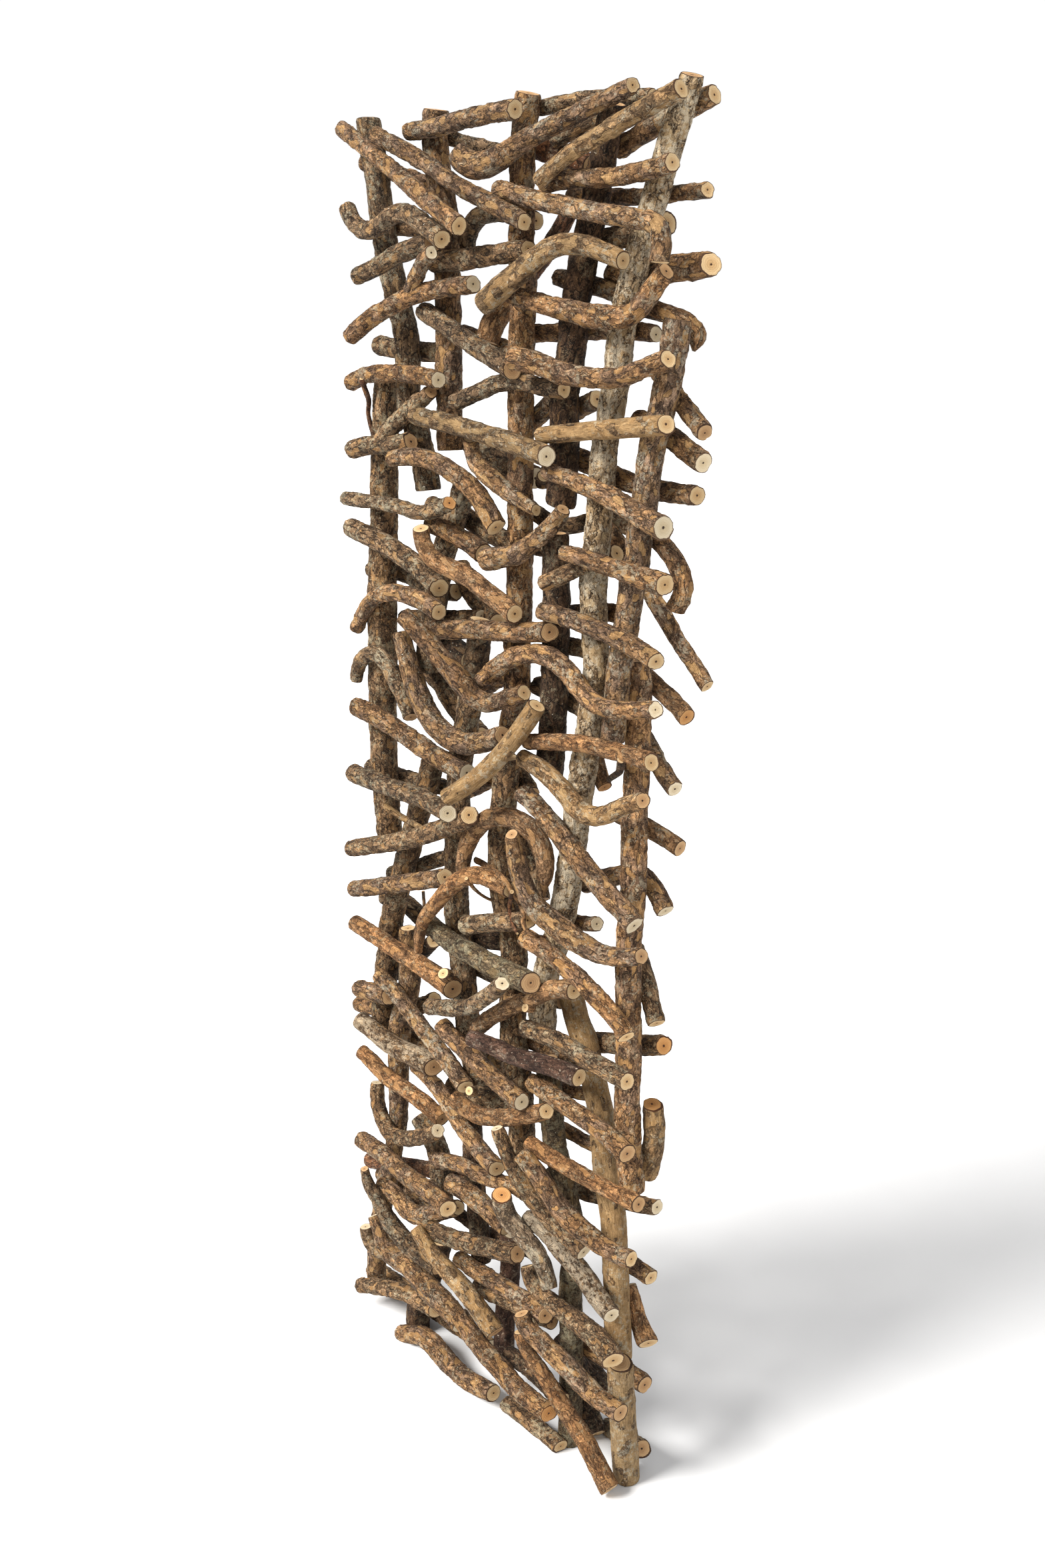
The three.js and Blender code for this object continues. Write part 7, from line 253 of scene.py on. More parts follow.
    ('T13', 'pl', 'front_branch_60', [(8.6, -19.6, 500.2, 7.8), (9.5, -22.9, 502.3, 7.8), (10.3, -26.2, 504.4, 6.9), (10.9, -28.7, 505.9, 6.9), (11.5, -31.2, 507.5, 6.9)]),
    ('T15', 'tb', 'front_branch_54', [(-37.5, -28.4, 662.7, 10.2), (-37.1, -31.2, 665.5, 10.2), (-36.7, -34.1, 668.3, 9.1), (-36.4, -36.2, 670.4, 9.1), (-36.3, -36.9, 671.1, 9.1)]),
    ('T16', 'tb', 'upright_02', [(65, 34, 1337.1, 9.9), (67.4, 32, 1339.5, 9.9), (69.9, 30, 1341.9, 8.9), (71.7, 28.5, 1343.8, 8.9), (75.3, 25.4, 1347.4, 8.9)]),
]

# Looks of single branches that differ from their bark's usual look:
# cut = colour family of the sawn ends, peel / lichen / gain / warm = how much.
LOOK = {
    "U5": dict(bark="cr", gain=1.12),
    "U1": dict(gain=1.12), "U2": dict(gain=1.05), "U3": dict(gain=1.15), "U7": dict(gain=0.98),
    "U10": dict(gain=1.10), "U15": dict(gain=1.08, peel=-0.45, rough=0.5), "U18": dict(gain=1.08, peel=-0.30, rough=0.6),
    "F1": dict(bark="tb", gain=1.02), "F2": dict(gain=0.95), "F7": dict(gain=0.95), "F9": dict(gain=1.08),
    "F10": dict(gain=1.08), "F13": dict(bark="gb"), "F41": dict(bark="gb"), "B40": dict(gain=1.2), "F19": dict(bark="tb", gain=1.0),
    "F25": dict(cut="orange"), "F28": dict(gain=1.02), "F43": dict(bark="pl", peel=-0.35, rough=0.5),
    "F30": dict(peel=-0.35, rough=0.5), "F32": dict(gain=1.08), "F40": dict(bark="tb", gain=1.0),
    "F44": dict(gain=1.02), "F46": dict(cut="pale"), "F47": dict(cut="tan"),
    "F49": dict(taper=26.0, rough=0.7, knots=0), "F50": dict(rough=0.7, warm=0.03),
    "F54": dict(cut="brown", rough=0.5, knots=2, warm=0.05), "F55": dict(cut="brown"), "F56": dict(cut="pale"),
    "F58": dict(warm=0.03), "F61": dict(cut="brown"), "F65": dict(warm=0.02),
    "F67": dict(warm=0.02), "F68": dict(warm=0.02), "F76": dict(warm=0.03, cut="orange"),
    "F78": dict(gain=0.95), "F82": dict(cut="pale"), "F83": dict(cut="orange", gain=1.05),
    "F85": dict(warm=0.02), "F63": dict(cut="tan"), "F84": dict(gain=1.05),
    "B15": dict(cut="tan"), "B16": dict(cut="tan"), "B41": dict(cut="orange"),
    "B54": dict(cut="orange"), "B55": dict(cut="orange"), "B62": dict(cut="orange"),
    "B50": dict(cut="pale"), "B53": dict(cut="tan"), "B20": dict(taper=14.0),
}

# ---- noise ----------------------------------------------------------------------
def _hash(i, j, k, seed):
    h = (i * 374761393 + j * 668265263 + k * 2147483647 + seed * 1274126177) & 0xFFFFFFFF
    h = ((h ^ (h >> 13)) * 1274126177) & 0xFFFFFFFF
    return h ^ (h >> 16)


def noise(p, seed=0):
    """Gradient noise, about -1 to 1, at the rows of p."""
    q = np.floor(p).astype(np.int64)
    f = p - q
    w = f * f * f * (f * (f * 6 - 15) + 10)
    out = np.zeros(len(p))
    for dx in (0, 1):
        wx = w[:, 0] if dx else 1 - w[:, 0]
        for dy in (0, 1):
            wy = w[:, 1] if dy else 1 - w[:, 1]
            for dz in (0, 1):
                wz = w[:, 2] if dz else 1 - w[:, 2]
                h = _hash(q[:, 0] + dx, q[:, 1] + dy, q[:, 2] + dz, seed)
                a = (h & 1023) * (2 * math.pi / 1024)
                c = ((h >> 10) & 1023) / 511.5 - 1.0
                s = np.sqrt(np.maximum(0.0, 1 - c * c))
                g = s * np.cos(a) * (f[:, 0] - dx) + s * np.sin(a) * (f[:, 1] - dy) + c * (f[:, 2] - dz)
                out += wx * wy * wz * g
    return out * 1.6


def step(x, a, b):
    t = np.clip((x - a) / (b - a), 0, 1)
    return t * t * (3 - 2 * t)


OPEN_SIDE = np.array([0.70, -0.66, 0.27])


# ---- one branch ------------------------------------------------------------------
def branch(name, pts, opt):
    """Vertices, faces and their data for one barked branch with two sawn ends."""
    kind = name[0]
    seed = 0
    for ch in name:
        seed = (seed * 131 + ord(ch)) % 99991
    rng = np.random.default_rng(seed)
    P = np.array(pts, float) / 1000.0
    foot = P[-1, 2] < 0.004 and kind == "U"
    seg = np.linalg.norm(np.diff(P[:, :3], axis=0), axis=1)
    L = np.concatenate([[0.0], np.cumsum(seg)])
    n = max(6, int(round(L[-1] / RING_STEP[kind])) + 1)
    t = np.linspace(0, L[-1], n)
    Q = np.stack([np.interp(t, L, P[:, k]) for k in range(4)], 1)
    for _ in range(max(2, n // 40)):  # round the corners of the sampled line
        Q[1:-1] = 0.25 * Q[:-2] + 0.5 * Q[1:-1] + 0.25 * Q[2:]
    if foot:  # a pole that stands on the floor ends level with it
        below = np.nonzero(Q[:, 2] < 0.0)[0]
        if len(below):
            k = below[0]
            f = Q[k - 1, 2] / max(1e-9, Q[k - 1, 2] - Q[k, 2])
            last = Q[k - 1] + f * (Q[k] - Q[k - 1])
            Q = np.vstack([Q[:k], last])
    C, R = Q[:, :3], Q[:, 3]
    n = len(C)
    seg = np.linalg.norm(np.diff(C, axis=0), axis=1)
    S = np.concatenate([[0.0], np.cumsum(seg)])
    T = np.gradient(C, axis=0)
    T /= np.linalg.norm(T, axis=1)[:, None]
    ref = np.array([0.0, -1.0, 0.0])
    if abs(T[0] @ ref) > 0.9:
        ref = np.array([0.0, 0.0, 1.0])
    A = np.zeros_like(C)
    a = ref - (ref @ T[0]) * T[0]
    A[0] = a / np.linalg.norm(a)
    for k in range(1, n):
        a = A[k - 1] - (A[k - 1] @ T[k]) * T[k]
        A[k] = a / np.linalg.norm(a)
    B = np.cross(T, A)
    m = SIDES[kind]
    th = np.arange(m) * (2 * math.pi / m)
    # straightened coordinates of every bark vertex, in mm
    shift = rng.uniform(-400, 400, 3)
    X = (R[:, None] * np.cos(th)[None, :] * 1000).ravel()
    Y = (R[:, None] * np.sin(th)[None, :] * 1000).ravel()
    Z = np.repeat(S * 1000, m)
    U = np.stack([X, Y, Z], 1) + shift
    rough = opt.get("rough", 1.0)
    big = noise(U * [1 / 30, 1 / 30, 1 / 42], seed) * 0.75 + noise(U * [1 / 16, 1 / 16, 1 / 24], seed + 1) * 0.35
    flake = noise(U * [1 / 7.5, 1 / 7.5, 1 / 15], seed + 2)
    ridge = 1 - np.abs(noise(U * [1 / 6.5, 1 / 6.5, 1 / 22], seed + 3)) * 2.2
    fine = noise(U * [1 / 3.2, 1 / 3.2, 1 / 5.0], seed + 4)
    where = noise(U * [1 / 10, 1 / 10, 1 / 19], seed + 5) + 0.35 * flake
    thr = opt.get("peel", 0.32)
    peel = step(where, thr - 0.07, thr + 0.05)
    band = noise(np.stack([Z * 0 + seed, Z * 0, Z / 13.0], 1), seed + 6)
    band = np.clip(np.abs(band) * 1.6, 0, 1)
    # painted shade mask: high in the low places of the bark relief; the material darkens colour there and lightens the
    # raised parts as a painted highlight
    painted_hollow_shade = np.clip(0.5 - 0.42 * flake - 0.25 * ridge, 0, 1)
    rise = big * R.repeat(m) * 1000 * 0.075
    rise += rough * (0.85 * flake + 0.50 * np.clip(ridge, -1, 1) + 0.42 * fine) * (1 - 0.5 * peel)
    rise -= rough * 1.0 * peel
    rise += rough * 0.4 * (1 - step(band, 0.0, 0.16)) * -1.0
    rise += 0.5 * R.repeat(m) / 0.013
    # knots: low swellings with a sunk middle
    knot = np.zeros(len(X))
    count = opt.get("knots", rng.integers(0, 3) if kind != "T" else 0)
    for _ in range(count):
        s0 = rng.uniform(0.15, 0.85) * S[-1] * 1000
        a0 = rng.uniform(0, 2 * math.pi)
        size = rng.uniform(0.42, 0.62) * float(np.interp(s0 / 1000, S, R)) * 1000
        da = np.angle(np.exp(1j * (np.tile(th, n) - a0))) * R.repeat(m) * 1000
        d2 = (da ** 2 + (Z - s0) ** 2) / size ** 2
        bump = np.exp(-d2 * 0.9)
        pit = np.exp(-d2 * 6.0)
        rise += size * 0.30 * bump - size * 0.26 * pit
        knot = np.maximum(knot, np.exp(-((np.sqrt(d2) - 0.55) / 0.16) ** 2) * 0.8 + pit)
    rad = R.repeat(m) * 1000 + rise * (0.35 if kind == "T" else 1.0)
    # worn edges at the sawn ends
    for edge in (Z, S[-1] * 1000 - Z):
        rad -= 0.55 * np.exp(-edge / 0.9) * (R.repeat(m) * 1000 / 13)
    rad = np.maximum(rad, R.repeat(m) * 1000 * 0.6)
    if opt.get("taper"):  # a torn end drawn out to a point
        at = (S[-1] * 1000 - Z) if opt["taper"] > 0 else Z
        rad *= np.clip((at + 0.6) / abs(opt["taper"]), 0.12, 1) ** 0.75
    cosn = np.tile(np.cos(th), n)
    sinn = np.tile(np.sin(th), n)
    V = C.repeat(m, 0) + (rad / 1000)[:, None] * (cosn[:, None] * A.repeat(m, 0) + sinn[:, None] * B.repeat(m, 0))
    # the saw never cuts quite square
    for end, sgn in ((0, 1.0), (n - 1, -1.0)):
        if foot and end:
            continue
        tilt = rng.normal(0, 0.07, 2) + np.array(opt.get("saw", (0, 0)))
        out = -T[0] if end == 0 else T[-1]
        if kind in "FB" and out @ OPEN_SIDE > (0.12 if end == 0 else -0.2):  # ends on the open side are sawn a little towards it
            face_to = out + 0.45 * OPEN_SIDE
            face_to /= np.linalg.norm(face_to)
            lean = face_to @ T[end]
            tilt -= np.array([face_to @ A[end], face_to @ B[end]]) / (lean if abs(lean) > 0.5 else 0.5 * np.sign(lean or 1.0))
        reach = 0.020
        for k in range(n):
            d = abs(S[k] - S[end])
            if d > reach:
                continue
            w = (1 - d / reach) ** 2
            sl = slice(k * m, k * m + m)
            off = (V[sl] - C[end]) @ A[end] * tilt[0] + (V[sl] - C[end]) @ B[end] * tilt[1]
            V[sl] += (w * off)[:, None] * T[end]
    if foot:
        d = T[-1]
        keep = n
        for k in range(n - 2, 1, -1):
            if V[k * m:(k + 1) * m, 2].min() < 0.0012:
                keep = k
            else:
                break
        last = V[(n - 1) * m:]
        last = last - d * (last[:, 2] / d[2])[:, None]
        sel = np.concatenate([np.arange(keep * m), np.arange((n - 1) * m, n * m)])
        V = V[sel]
        V[-m:] = last
        U, painted_hollow_shade, peel, knot = U[sel], painted_hollow_shade[sel], peel[sel], knot[sel]
        n = keep + 1
    V[:, 2] = np.maximum(V[:, 2], 0.0)
    # faces of the bark
    i = np.arange(n - 1)[:, None] * m
    j = np.arange(m)[None, :]
    a0 = (i + j).ravel()
    a1 = (i + (j + 1) % m).ravel()
    quads = np.stack([a0, a1, a1 + m, a0 + m], 1)
    verts = [V]
    bark = [U / 1000.0]
    face = [np.stack([np.tile(np.cos(th), n), np.tile(np.sin(th), n), np.zeros(n * m)], 1)]
    # per vertex: painted hollow-shade mask, peel mask, knot mask
    extra = [np.stack([painted_hollow_shade, peel, knot], 1)]
    tris, cutq = [], []
    base = n * m
    for end, off in ((0, 0), (1, (n - 1) * m)):
        rim = V[off:off + m]
        mid = rim.mean(0)
        prev = np.arange(off, off + m)
        pith = rng.normal(0, 0.05, 2)
        ax = rim[0] - mid
        bx = rim[m // 4] - mid
        axis = T[0] * -1 if end == 0 else T[-1]
        for c in CUT_RINGS:
            wob = noise(np.stack([np.cos(th) * 2 + end * 9, np.sin(th) * 2, np.full(m, c * 6)], 1), seed + 11)
            ring = mid + (rim - mid) * c + axis * (wob[:, None] * 0.00016 + (0.0002 if c < 0.9 else 0.00055) * (0 if foot and end else 1))
            if foot and end:
                ring[:, 2] = 0.0
            verts.append(ring)
            cur = base + np.arange(m)
            nx = (np.arange(m) + 1) % m
            q = np.stack([prev, cur, cur[nx], prev[nx]], 1) if end else np.stack([prev, prev[nx], cur[nx], cur], 1)
            if end == 0:
                q = q[:, ::-1]
                q = np.stack([prev, cur, cur[nx], prev[nx]], 1)
            else:
                q = np.stack([prev, prev[nx], cur[nx], cur], 1)
            cutq.append(q)
            face.append(np.stack([np.cos(th) * c - pith[0], np.sin(th) * c - pith[1], np.full(m, float(end))], 1))
            bark.append(np.repeat(U[off:off + 1] / 1000.0, m, 0))
            extra.append(np.zeros((m, 3)))
            base += m
            prev = cur
        verts.append(mid[None, :] if not (foot and end) else (mid * [1, 1, 0])[None, :])
        face.append(np.array([[-pith[0], -pith[1], float(end)]]))
        bark.append(U[off:off + 1] / 1000.0)
        extra.append(np.zeros((1, 3)))
        nx = (np.arange(m) + 1) % m
        c = np.full(m, base)
        tris.append(np.stack([prev, c, prev[nx]], 1) if end == 0 else np.stack([prev, prev[nx], c], 1))
        base += 1
    rims = np.zeros(base, bool)
    rims[:m] = True
    rims[(n - 1) * m:n * m] = True
    return dict(
        v=np.vstack(verts), quads=quads, cutq=np.vstack(cutq), tris=np.vstack(tris),
        bark=np.vstack(bark), face=np.vstack(face), extra=np.vstack(extra), rims=rims,
        hue=rng.uniform(-1, 1, 3),
    )


# ---- materials ---------------------------------------------------------------------
def lin(h):
    out = []
    for k in (0, 2, 4):
        c = int(h[k:k + 2], 16) / 255.0
        out.append(c / 12.92 if c <= 0.04045 else ((c + 0.055) / 1.055) ** 2.4)
    return tuple(out) + (1.0,)


class Net:
    """Short calls for building one node material."""

    def __init__(self, name):
        self.m = bpy.data.materials.new(name)
        self.m.use_nodes = True
        self.t = self.m.node_tree
        self.t.nodes.clear()
        self.x = 0

    def add(self, kind, **props):
        nd = self.t.nodes.new(kind)
        self.x += 1
        nd.location = (self.x * 60 - 2000, -(self.x % 7) * 160)
        for k, v in props.items():
            setattr(nd, k, v)
        return nd

    def put(self, sock, val):
        if isinstance(val, bpy.types.NodeSocket):
            self.t.links.new(val, sock)
        elif val is not None:
            sock.default_value = val

    def attr(self, name):
        return self.add("ShaderNodeAttribute", attribute_type="GEOMETRY", attribute_name=name)

    def math(self, op, a, b=None, c=None, clamp=False):
        nd = self.add("ShaderNodeMath", operation=op, use_clamp=clamp)
        self.put(nd.inputs[0], a)
        self.put(nd.inputs[1], b)
        self.put(nd.inputs[2], c)
        return nd.outputs[0]

    def vmul(self, v, k):
        nd = self.add("ShaderNodeVectorMath", operation="MULTIPLY")
        self.put(nd.inputs[0], v)
        nd.inputs[1].default_value = k
        return nd.outputs[0]

    def vadd(self, a, b):
        nd = self.add("ShaderNodeVectorMath", operation="ADD")
        self.put(nd.inputs[0], a)
        self.put(nd.inputs[1], b)
        return nd.outputs[0]

    def noise(self, v, scale, detail=3.0, rough=0.55, out="Fac"):
        nd = self.add("ShaderNodeTexNoise")
        self.put(nd.inputs["Vector"], v)
        nd.inputs["Scale"].default_value = scale
        nd.inputs["Detail"].default_value = detail
        nd.inputs["Roughness"].default_value = rough
        return nd.outputs[out]

    def voronoi(self, v, scale, feature="F1", rand=1.0):
        nd = self.add("ShaderNodeTexVoronoi", feature=feature)
        self.put(nd.inputs["Vector"], v)
        nd.inputs["Scale"].default_value = scale
        nd.inputs["Randomness"].default_value = rand
        return nd

    def span(self, x, a, b, c=0.0, d=1.0, smooth=True):
        nd = self.add("ShaderNodeMapRange", interpolation_type="SMOOTHSTEP" if smooth else "LINEAR")
        self.put(nd.inputs["Value"], x)
        nd.inputs["From Min"].default_value = a
        nd.inputs["From Max"].default_value = b
        nd.inputs["To Min"].default_value = c
        nd.inputs["To Max"].default_value = d
        return nd.outputs[0]

    def mix(self, f, a, b, blend="MIX"):
        nd = self.add("ShaderNodeMix", data_type="RGBA", blend_type=blend)
        nd.clamp_factor = True
        self.put(nd.inputs["Factor"], f)
        self.put(nd.inputs[6], a)
        self.put(nd.inputs[7], b)
        return nd.outputs[2]

    def finish(self, colour, rough, height, strength, distance, spec=0.3):
        bs = self.add("ShaderNodeBsdfPrincipled")
        self.put(bs.inputs["Base Color"], colour)
        self.put(bs.inputs["Roughness"], rough)
        bs.inputs["Specular IOR Level"].default_value = spec
        bp = self.add("ShaderNodeBump")
        bp.inputs["Strength"].default_value = strength
        bp.inputs["Distance"].default_value = distance
        self.put(bp.inputs["Height"], height)
        self.put(bs.inputs["Normal"], bp.outputs[0])
        out = self.add("ShaderNodeOutputMaterial")
        self.put(out.inputs["Surface"], bs.outputs[0])
        return self.m


def bark_material(name, main, second, inner, crack, lichen, amount, specks, cracks=1.0, pores=0.5):
    n = Net(name)
    co = n.attr("bark").outputs["Vector"]
    # peel and knot masks, with the painted hollow-shade mask
    ex = n.attr("peel_knot_and_painted_shade")
    sep = n.add("ShaderNodeSeparateXYZ")
    n.put(sep.inputs[0], ex.outputs["Vector"])
    painted_hollow_shade, peel, knot = sep.outputs
    tint = n.attr("tint").outputs["Color"]
    warp = n.noise(co, 90, 3, 0.6, out="Color")
    wco = n.vadd(co, n.vmul(warp, (0.011, 0.011, 0.011)))
    long = n.vmul(wco, (1.0, 1.0, 0.28))
    large = n.noise(co, 30, 4, 0.6)
    mid = n.noise(long, 215, 9, 0.76)
    mottle = n.noise(wco, 120, 6, 0.70)
    fine = n.noise(n.vmul(wco, (1.0, 1.0, 0.55)), 520, 6, 0.75)
    # outer bark, in scaly plates that each have their own shade
    col = n.mix(n.span(large, 0.42, 0.58), lin(main), lin(second))
    plates = n.voronoi(long, 150)
    shade = n.add("ShaderNodeSeparateColor")
    n.put(shade.inputs[0], plates.outputs["Color"])
    col = n.mix(1.0, col, n.mix(shade.outputs[0], (0.66, 0.63, 0.60, 1), (1.30, 1.29, 1.27, 1)), "MULTIPLY")
    col = n.mix(n.math("MULTIPLY", n.span(n.noise(n.vmul(wco, (1.0, 1.0, 0.45)), 110, 7, 0.72), 0.52, 0.62), 0.50), col, lin(inner))
    dusty = n.math("MULTIPLY", n.span(shade.outputs[1], 0.62, 0.80), n.span(mottle, 0.40, 0.50, 1.0, 0.0))
    col = n.mix(n.math("MULTIPLY", dusty, 0.45), col, lin(lichen))
    col = n.mix(n.span(mid, 0.39, 0.61, 0.0, 1.0), n.mix(1.0, col, (0.46, 0.42, 0.39, 1), "MULTIPLY"), n.mix(1.0, col, (1.48, 1.46, 1.43, 1), "MULTIPLY"))
    col = n.mix(n.span(fine, 0.36, 0.64), n.mix(1.0, col, (0.58, 0.55, 0.52, 1), "MULTIPLY"), n.mix(1.0, col, (1.40, 1.38, 1.35, 1), "MULTIPLY"))
    # flaked places: the paler inner bark with fine lengthwise grain
    edge = n.math("ADD", peel, n.math("MULTIPLY", n.math("SUBTRACT", n.noise(wco, 300, 6, 0.7), 0.5), 1.5))
    bare = n.span(edge, 0.46, 0.54)
    grain = n.noise(n.vmul(co, (1.0, 1.0, 0.10)), 850, 4, 0.65)
    wood = n.mix(n.span(grain, 0.30, 0.70), n.mix(1.0, lin(inner), (0.66, 0.62, 0.56, 1), "MULTIPLY"), n.mix(1.0, lin(inner), (1.30, 1.30, 1.30, 1), "MULTIPLY"))
    wood = n.mix(n.span(large, 0.40, 0.60), wood, n.mix(1.0, wood, (1.00, 0.93, 0.84, 1), "MULTIPLY"))
    wood = n.mix(n.span(mottle, 0.36, 0.60), n.mix(1.0, wood, (0.72, 0.69, 0.65, 1), "MULTIPLY"), wood)
    col = n.mix(n.math("MULTIPLY", bare, 0.78), col, wood)
    # cracks: a broken net of near-black lines, longer along the branch
    net = n.voronoi(long, 150, "DISTANCE_TO_EDGE").outputs["Distance"]
    net2 = n.voronoi(n.vmul(wco, (1.0, 1.0, 0.8)), 260, "DISTANCE_TO_EDGE").outputs["Distance"]
    some = n.span(n.noise(co, 130, 3), 0.38, 0.52)
    line = n.math("MULTIPLY", n.span(net, 0.010, 0.085, 1.0, 0.0), some)
    line2 = n.math("MULTIPLY", n.span(net2, 0.01, 0.08, 1.0, 0.0), n.span(n.noise(co, 70, 3), 0.47, 0.58, 0.0, 0.8))
    line = n.math("MAXIMUM", line, line2)
    line = n.math("MULTIPLY", line, n.math("SUBTRACT", 1.0, n.math("MULTIPLY", bare, 0.7)))
    rimline = n.math("MULTIPLY", n.span(edge, 0.28, 0.42), n.span(edge, 0.46, 0.56, 1.0, 0.0))
    line = n.math("MAXIMUM", n.math("MULTIPLY", line, cracks), n.math("MULTIPLY", rimline, 0.75))
    col = n.mix(n.math("MULTIPLY", line, 0.90), col, lin(crack))
    # pores and pale specks
    dots = n.voronoi(n.vmul(wco, (1.0, 1.0, 0.7)), 300)
    pick = n.add("ShaderNodeSeparateColor")
    n.put(pick.inputs[0], dots.outputs["Color"])
    dark = n.math("MULTIPLY", n.span(dots.outputs["Distance"], 0.18, 0.34, 1.0, 0.0), n.span(pick.outputs[0], 0.72, 0.78))
    col = n.mix(n.math("MULTIPLY", dark, pores), col, lin(crack))
    pale = n.math("MULTIPLY", n.span(dots.outputs["Distance"], 0.12, 0.28, 1.0, 0.0), n.span(pick.outputs[1], 1.0 - specks, 1.02 - specks))
    col = n.mix(n.math("MULTIPLY", pale, 0.75), col, lin("ddd3bf"))
    # lichen
    li = n.math("ADD", n.noise(wco, 190, 7, 0.75), n.math("MULTIPLY", n.noise(co, 34, 2), 0.5))
    li = n.span(li, 0.86 - 0.16 * amount, 0.91 - 0.16 * amount)
    col = n.mix(n.math("MULTIPLY", li, 0.66 if amount > 0 else 0.0), col, lin(lichen))
    # knots, painted shade darkening the hollows of the bark relief with a painted highlight on its raised parts, and
    # the branch's own colour cast
    col = n.mix(n.math("MULTIPLY", knot, 0.65, clamp=True), col, lin(crack))
    col = n.mix(1.0, col, n.mix(painted_hollow_shade, (1.20, 1.19, 1.18, 1), (0.50, 0.45, 0.41, 1)), "MULTIPLY")
    col = n.mix(1.0, col, tint, "MULTIPLY")
    # relief
    h = n.math("ADD", n.math("MULTIPLY", mid, 1.2), n.math("MULTIPLY", fine, 0.45))
    h = n.math("SUBTRACT", h, n.math("MULTIPLY", line, 0.9))
    h = n.math("SUBTRACT", h, n.math("MULTIPLY", bare, 0.5))
    h = n.math("ADD", h, n.math("MULTIPLY", n.math("MULTIPLY", grain, bare), 0.35))
    h = n.math("ADD", h, n.math("MULTIPLY", shade.outputs[2], 0.3))
    rough = n.span(mid, 0.3, 0.7, 0.92, 0.74)
    return n.finish(col, rough, h, 1.0, 0.0030, 0.20)


def cut_material(name, pale, heart, rim, pithc, ringy=1.0):
    n = Net(name)
    fa = n.attr("face").outputs["Vector"]
    sep = n.add("ShaderNodeSeparateXYZ")
    n.put(sep.inputs[0], fa)
    flat = n.add("ShaderNodeCombineXYZ")
    n.put(flat.inputs[0], sep.outputs[0])
    n.put(flat.inputs[1], sep.outputs[1])
    tint = n.attr("tint2").outputs["Color"]
    seedco = n.vadd(flat.outputs[0], n.vmul(n.attr("bark").outputs["Vector"], (7.0, 7.0, 7.0)))
    bend = n.noise(seedco, 1.6, 3, 0.5)
    ln = n.add("ShaderNodeVectorMath", operation="LENGTH")
    n.put(ln.inputs[0], flat.outputs[0])
    rho = ln.outputs["Value"]
    r2 = n.math("ADD", rho, n.math("MULTIPLY", n.math("SUBTRACT", bend, 0.5), 0.16))
    wav = n.math("SINE", n.math("MULTIPLY", r2, 34.0))
    wav2 = n.math("SINE", n.math("MULTIPLY", r2, 71.0))
    saw = n.noise(n.vmul(seedco, (1.0, 7.0, 1.0)), 5.0, 4, 0.65)
    grit = n.noise(seedco, 14.0, 5, 0.7)
    col = n.mix(n.span(r2, 0.20, 0.88), lin(heart), lin(pale))
    col = n.mix(n.math("MULTIPLY", n.span(wav, -0.2, 1.0), 0.26 * ringy), col, lin(heart))
    col = n.mix(n.math("MULTIPLY", n.span(wav2, 0.2, 1.0), 0.12 * ringy), col, lin(rim))
    col = n.mix(1.0, col, n.mix(saw, (0.80, 0.78, 0.75, 1), (1.14, 1.14, 1.15, 1)), "MULTIPLY")
    col = n.mix(n.math("MULTIPLY", n.span(grit, 0.58, 0.80), 0.45), col, lin(heart))
    # shakes: a few thin dark lines running out from the pith
    ang = n.math("ARCTAN2", sep.outputs[1], sep.outputs[0])
    ray = n.math("ABSOLUTE", n.math("SINE", n.math("ADD", n.math("MULTIPLY", ang, 1.5), n.math("MULTIPLY", bend, 9.0))))
    ray = n.math("MULTIPLY", n.span(ray, 0.0, 0.05, 1.0, 0.0), n.span(r2, 0.10, 0.70, 1.0, 0.0))
    col = n.mix(n.math("MULTIPLY", ray, 0.55), col, lin(pithc))
    pith = n.span(r2, 0.085, 0.150, 1.0, 0.0)
    col = n.mix(pith, col, lin(pithc))
    col = n.mix(1.0, col, tint, "MULTIPLY")
    bark = n.span(n.math("ADD", rho, n.math("MULTIPLY", n.math("SUBTRACT", n.noise(seedco, 6.0, 3), 0.5), 0.10)), 0.865, 0.915)
    col = n.mix(bark, col, lin(rim))
    h = n.math("ADD", n.math("MULTIPLY", saw, 0.7), n.math("MULTIPLY", wav, 0.18))
    h = n.math("SUBTRACT", h, n.math("MULTIPLY", pith, 1.4))
    h = n.math("SUBTRACT", h, ray)
    rough = n.span(grit, 0.3, 0.8, 0.72, 0.90)
    return n.finish(col, rough, h, 0.7, 0.0009, 0.25)


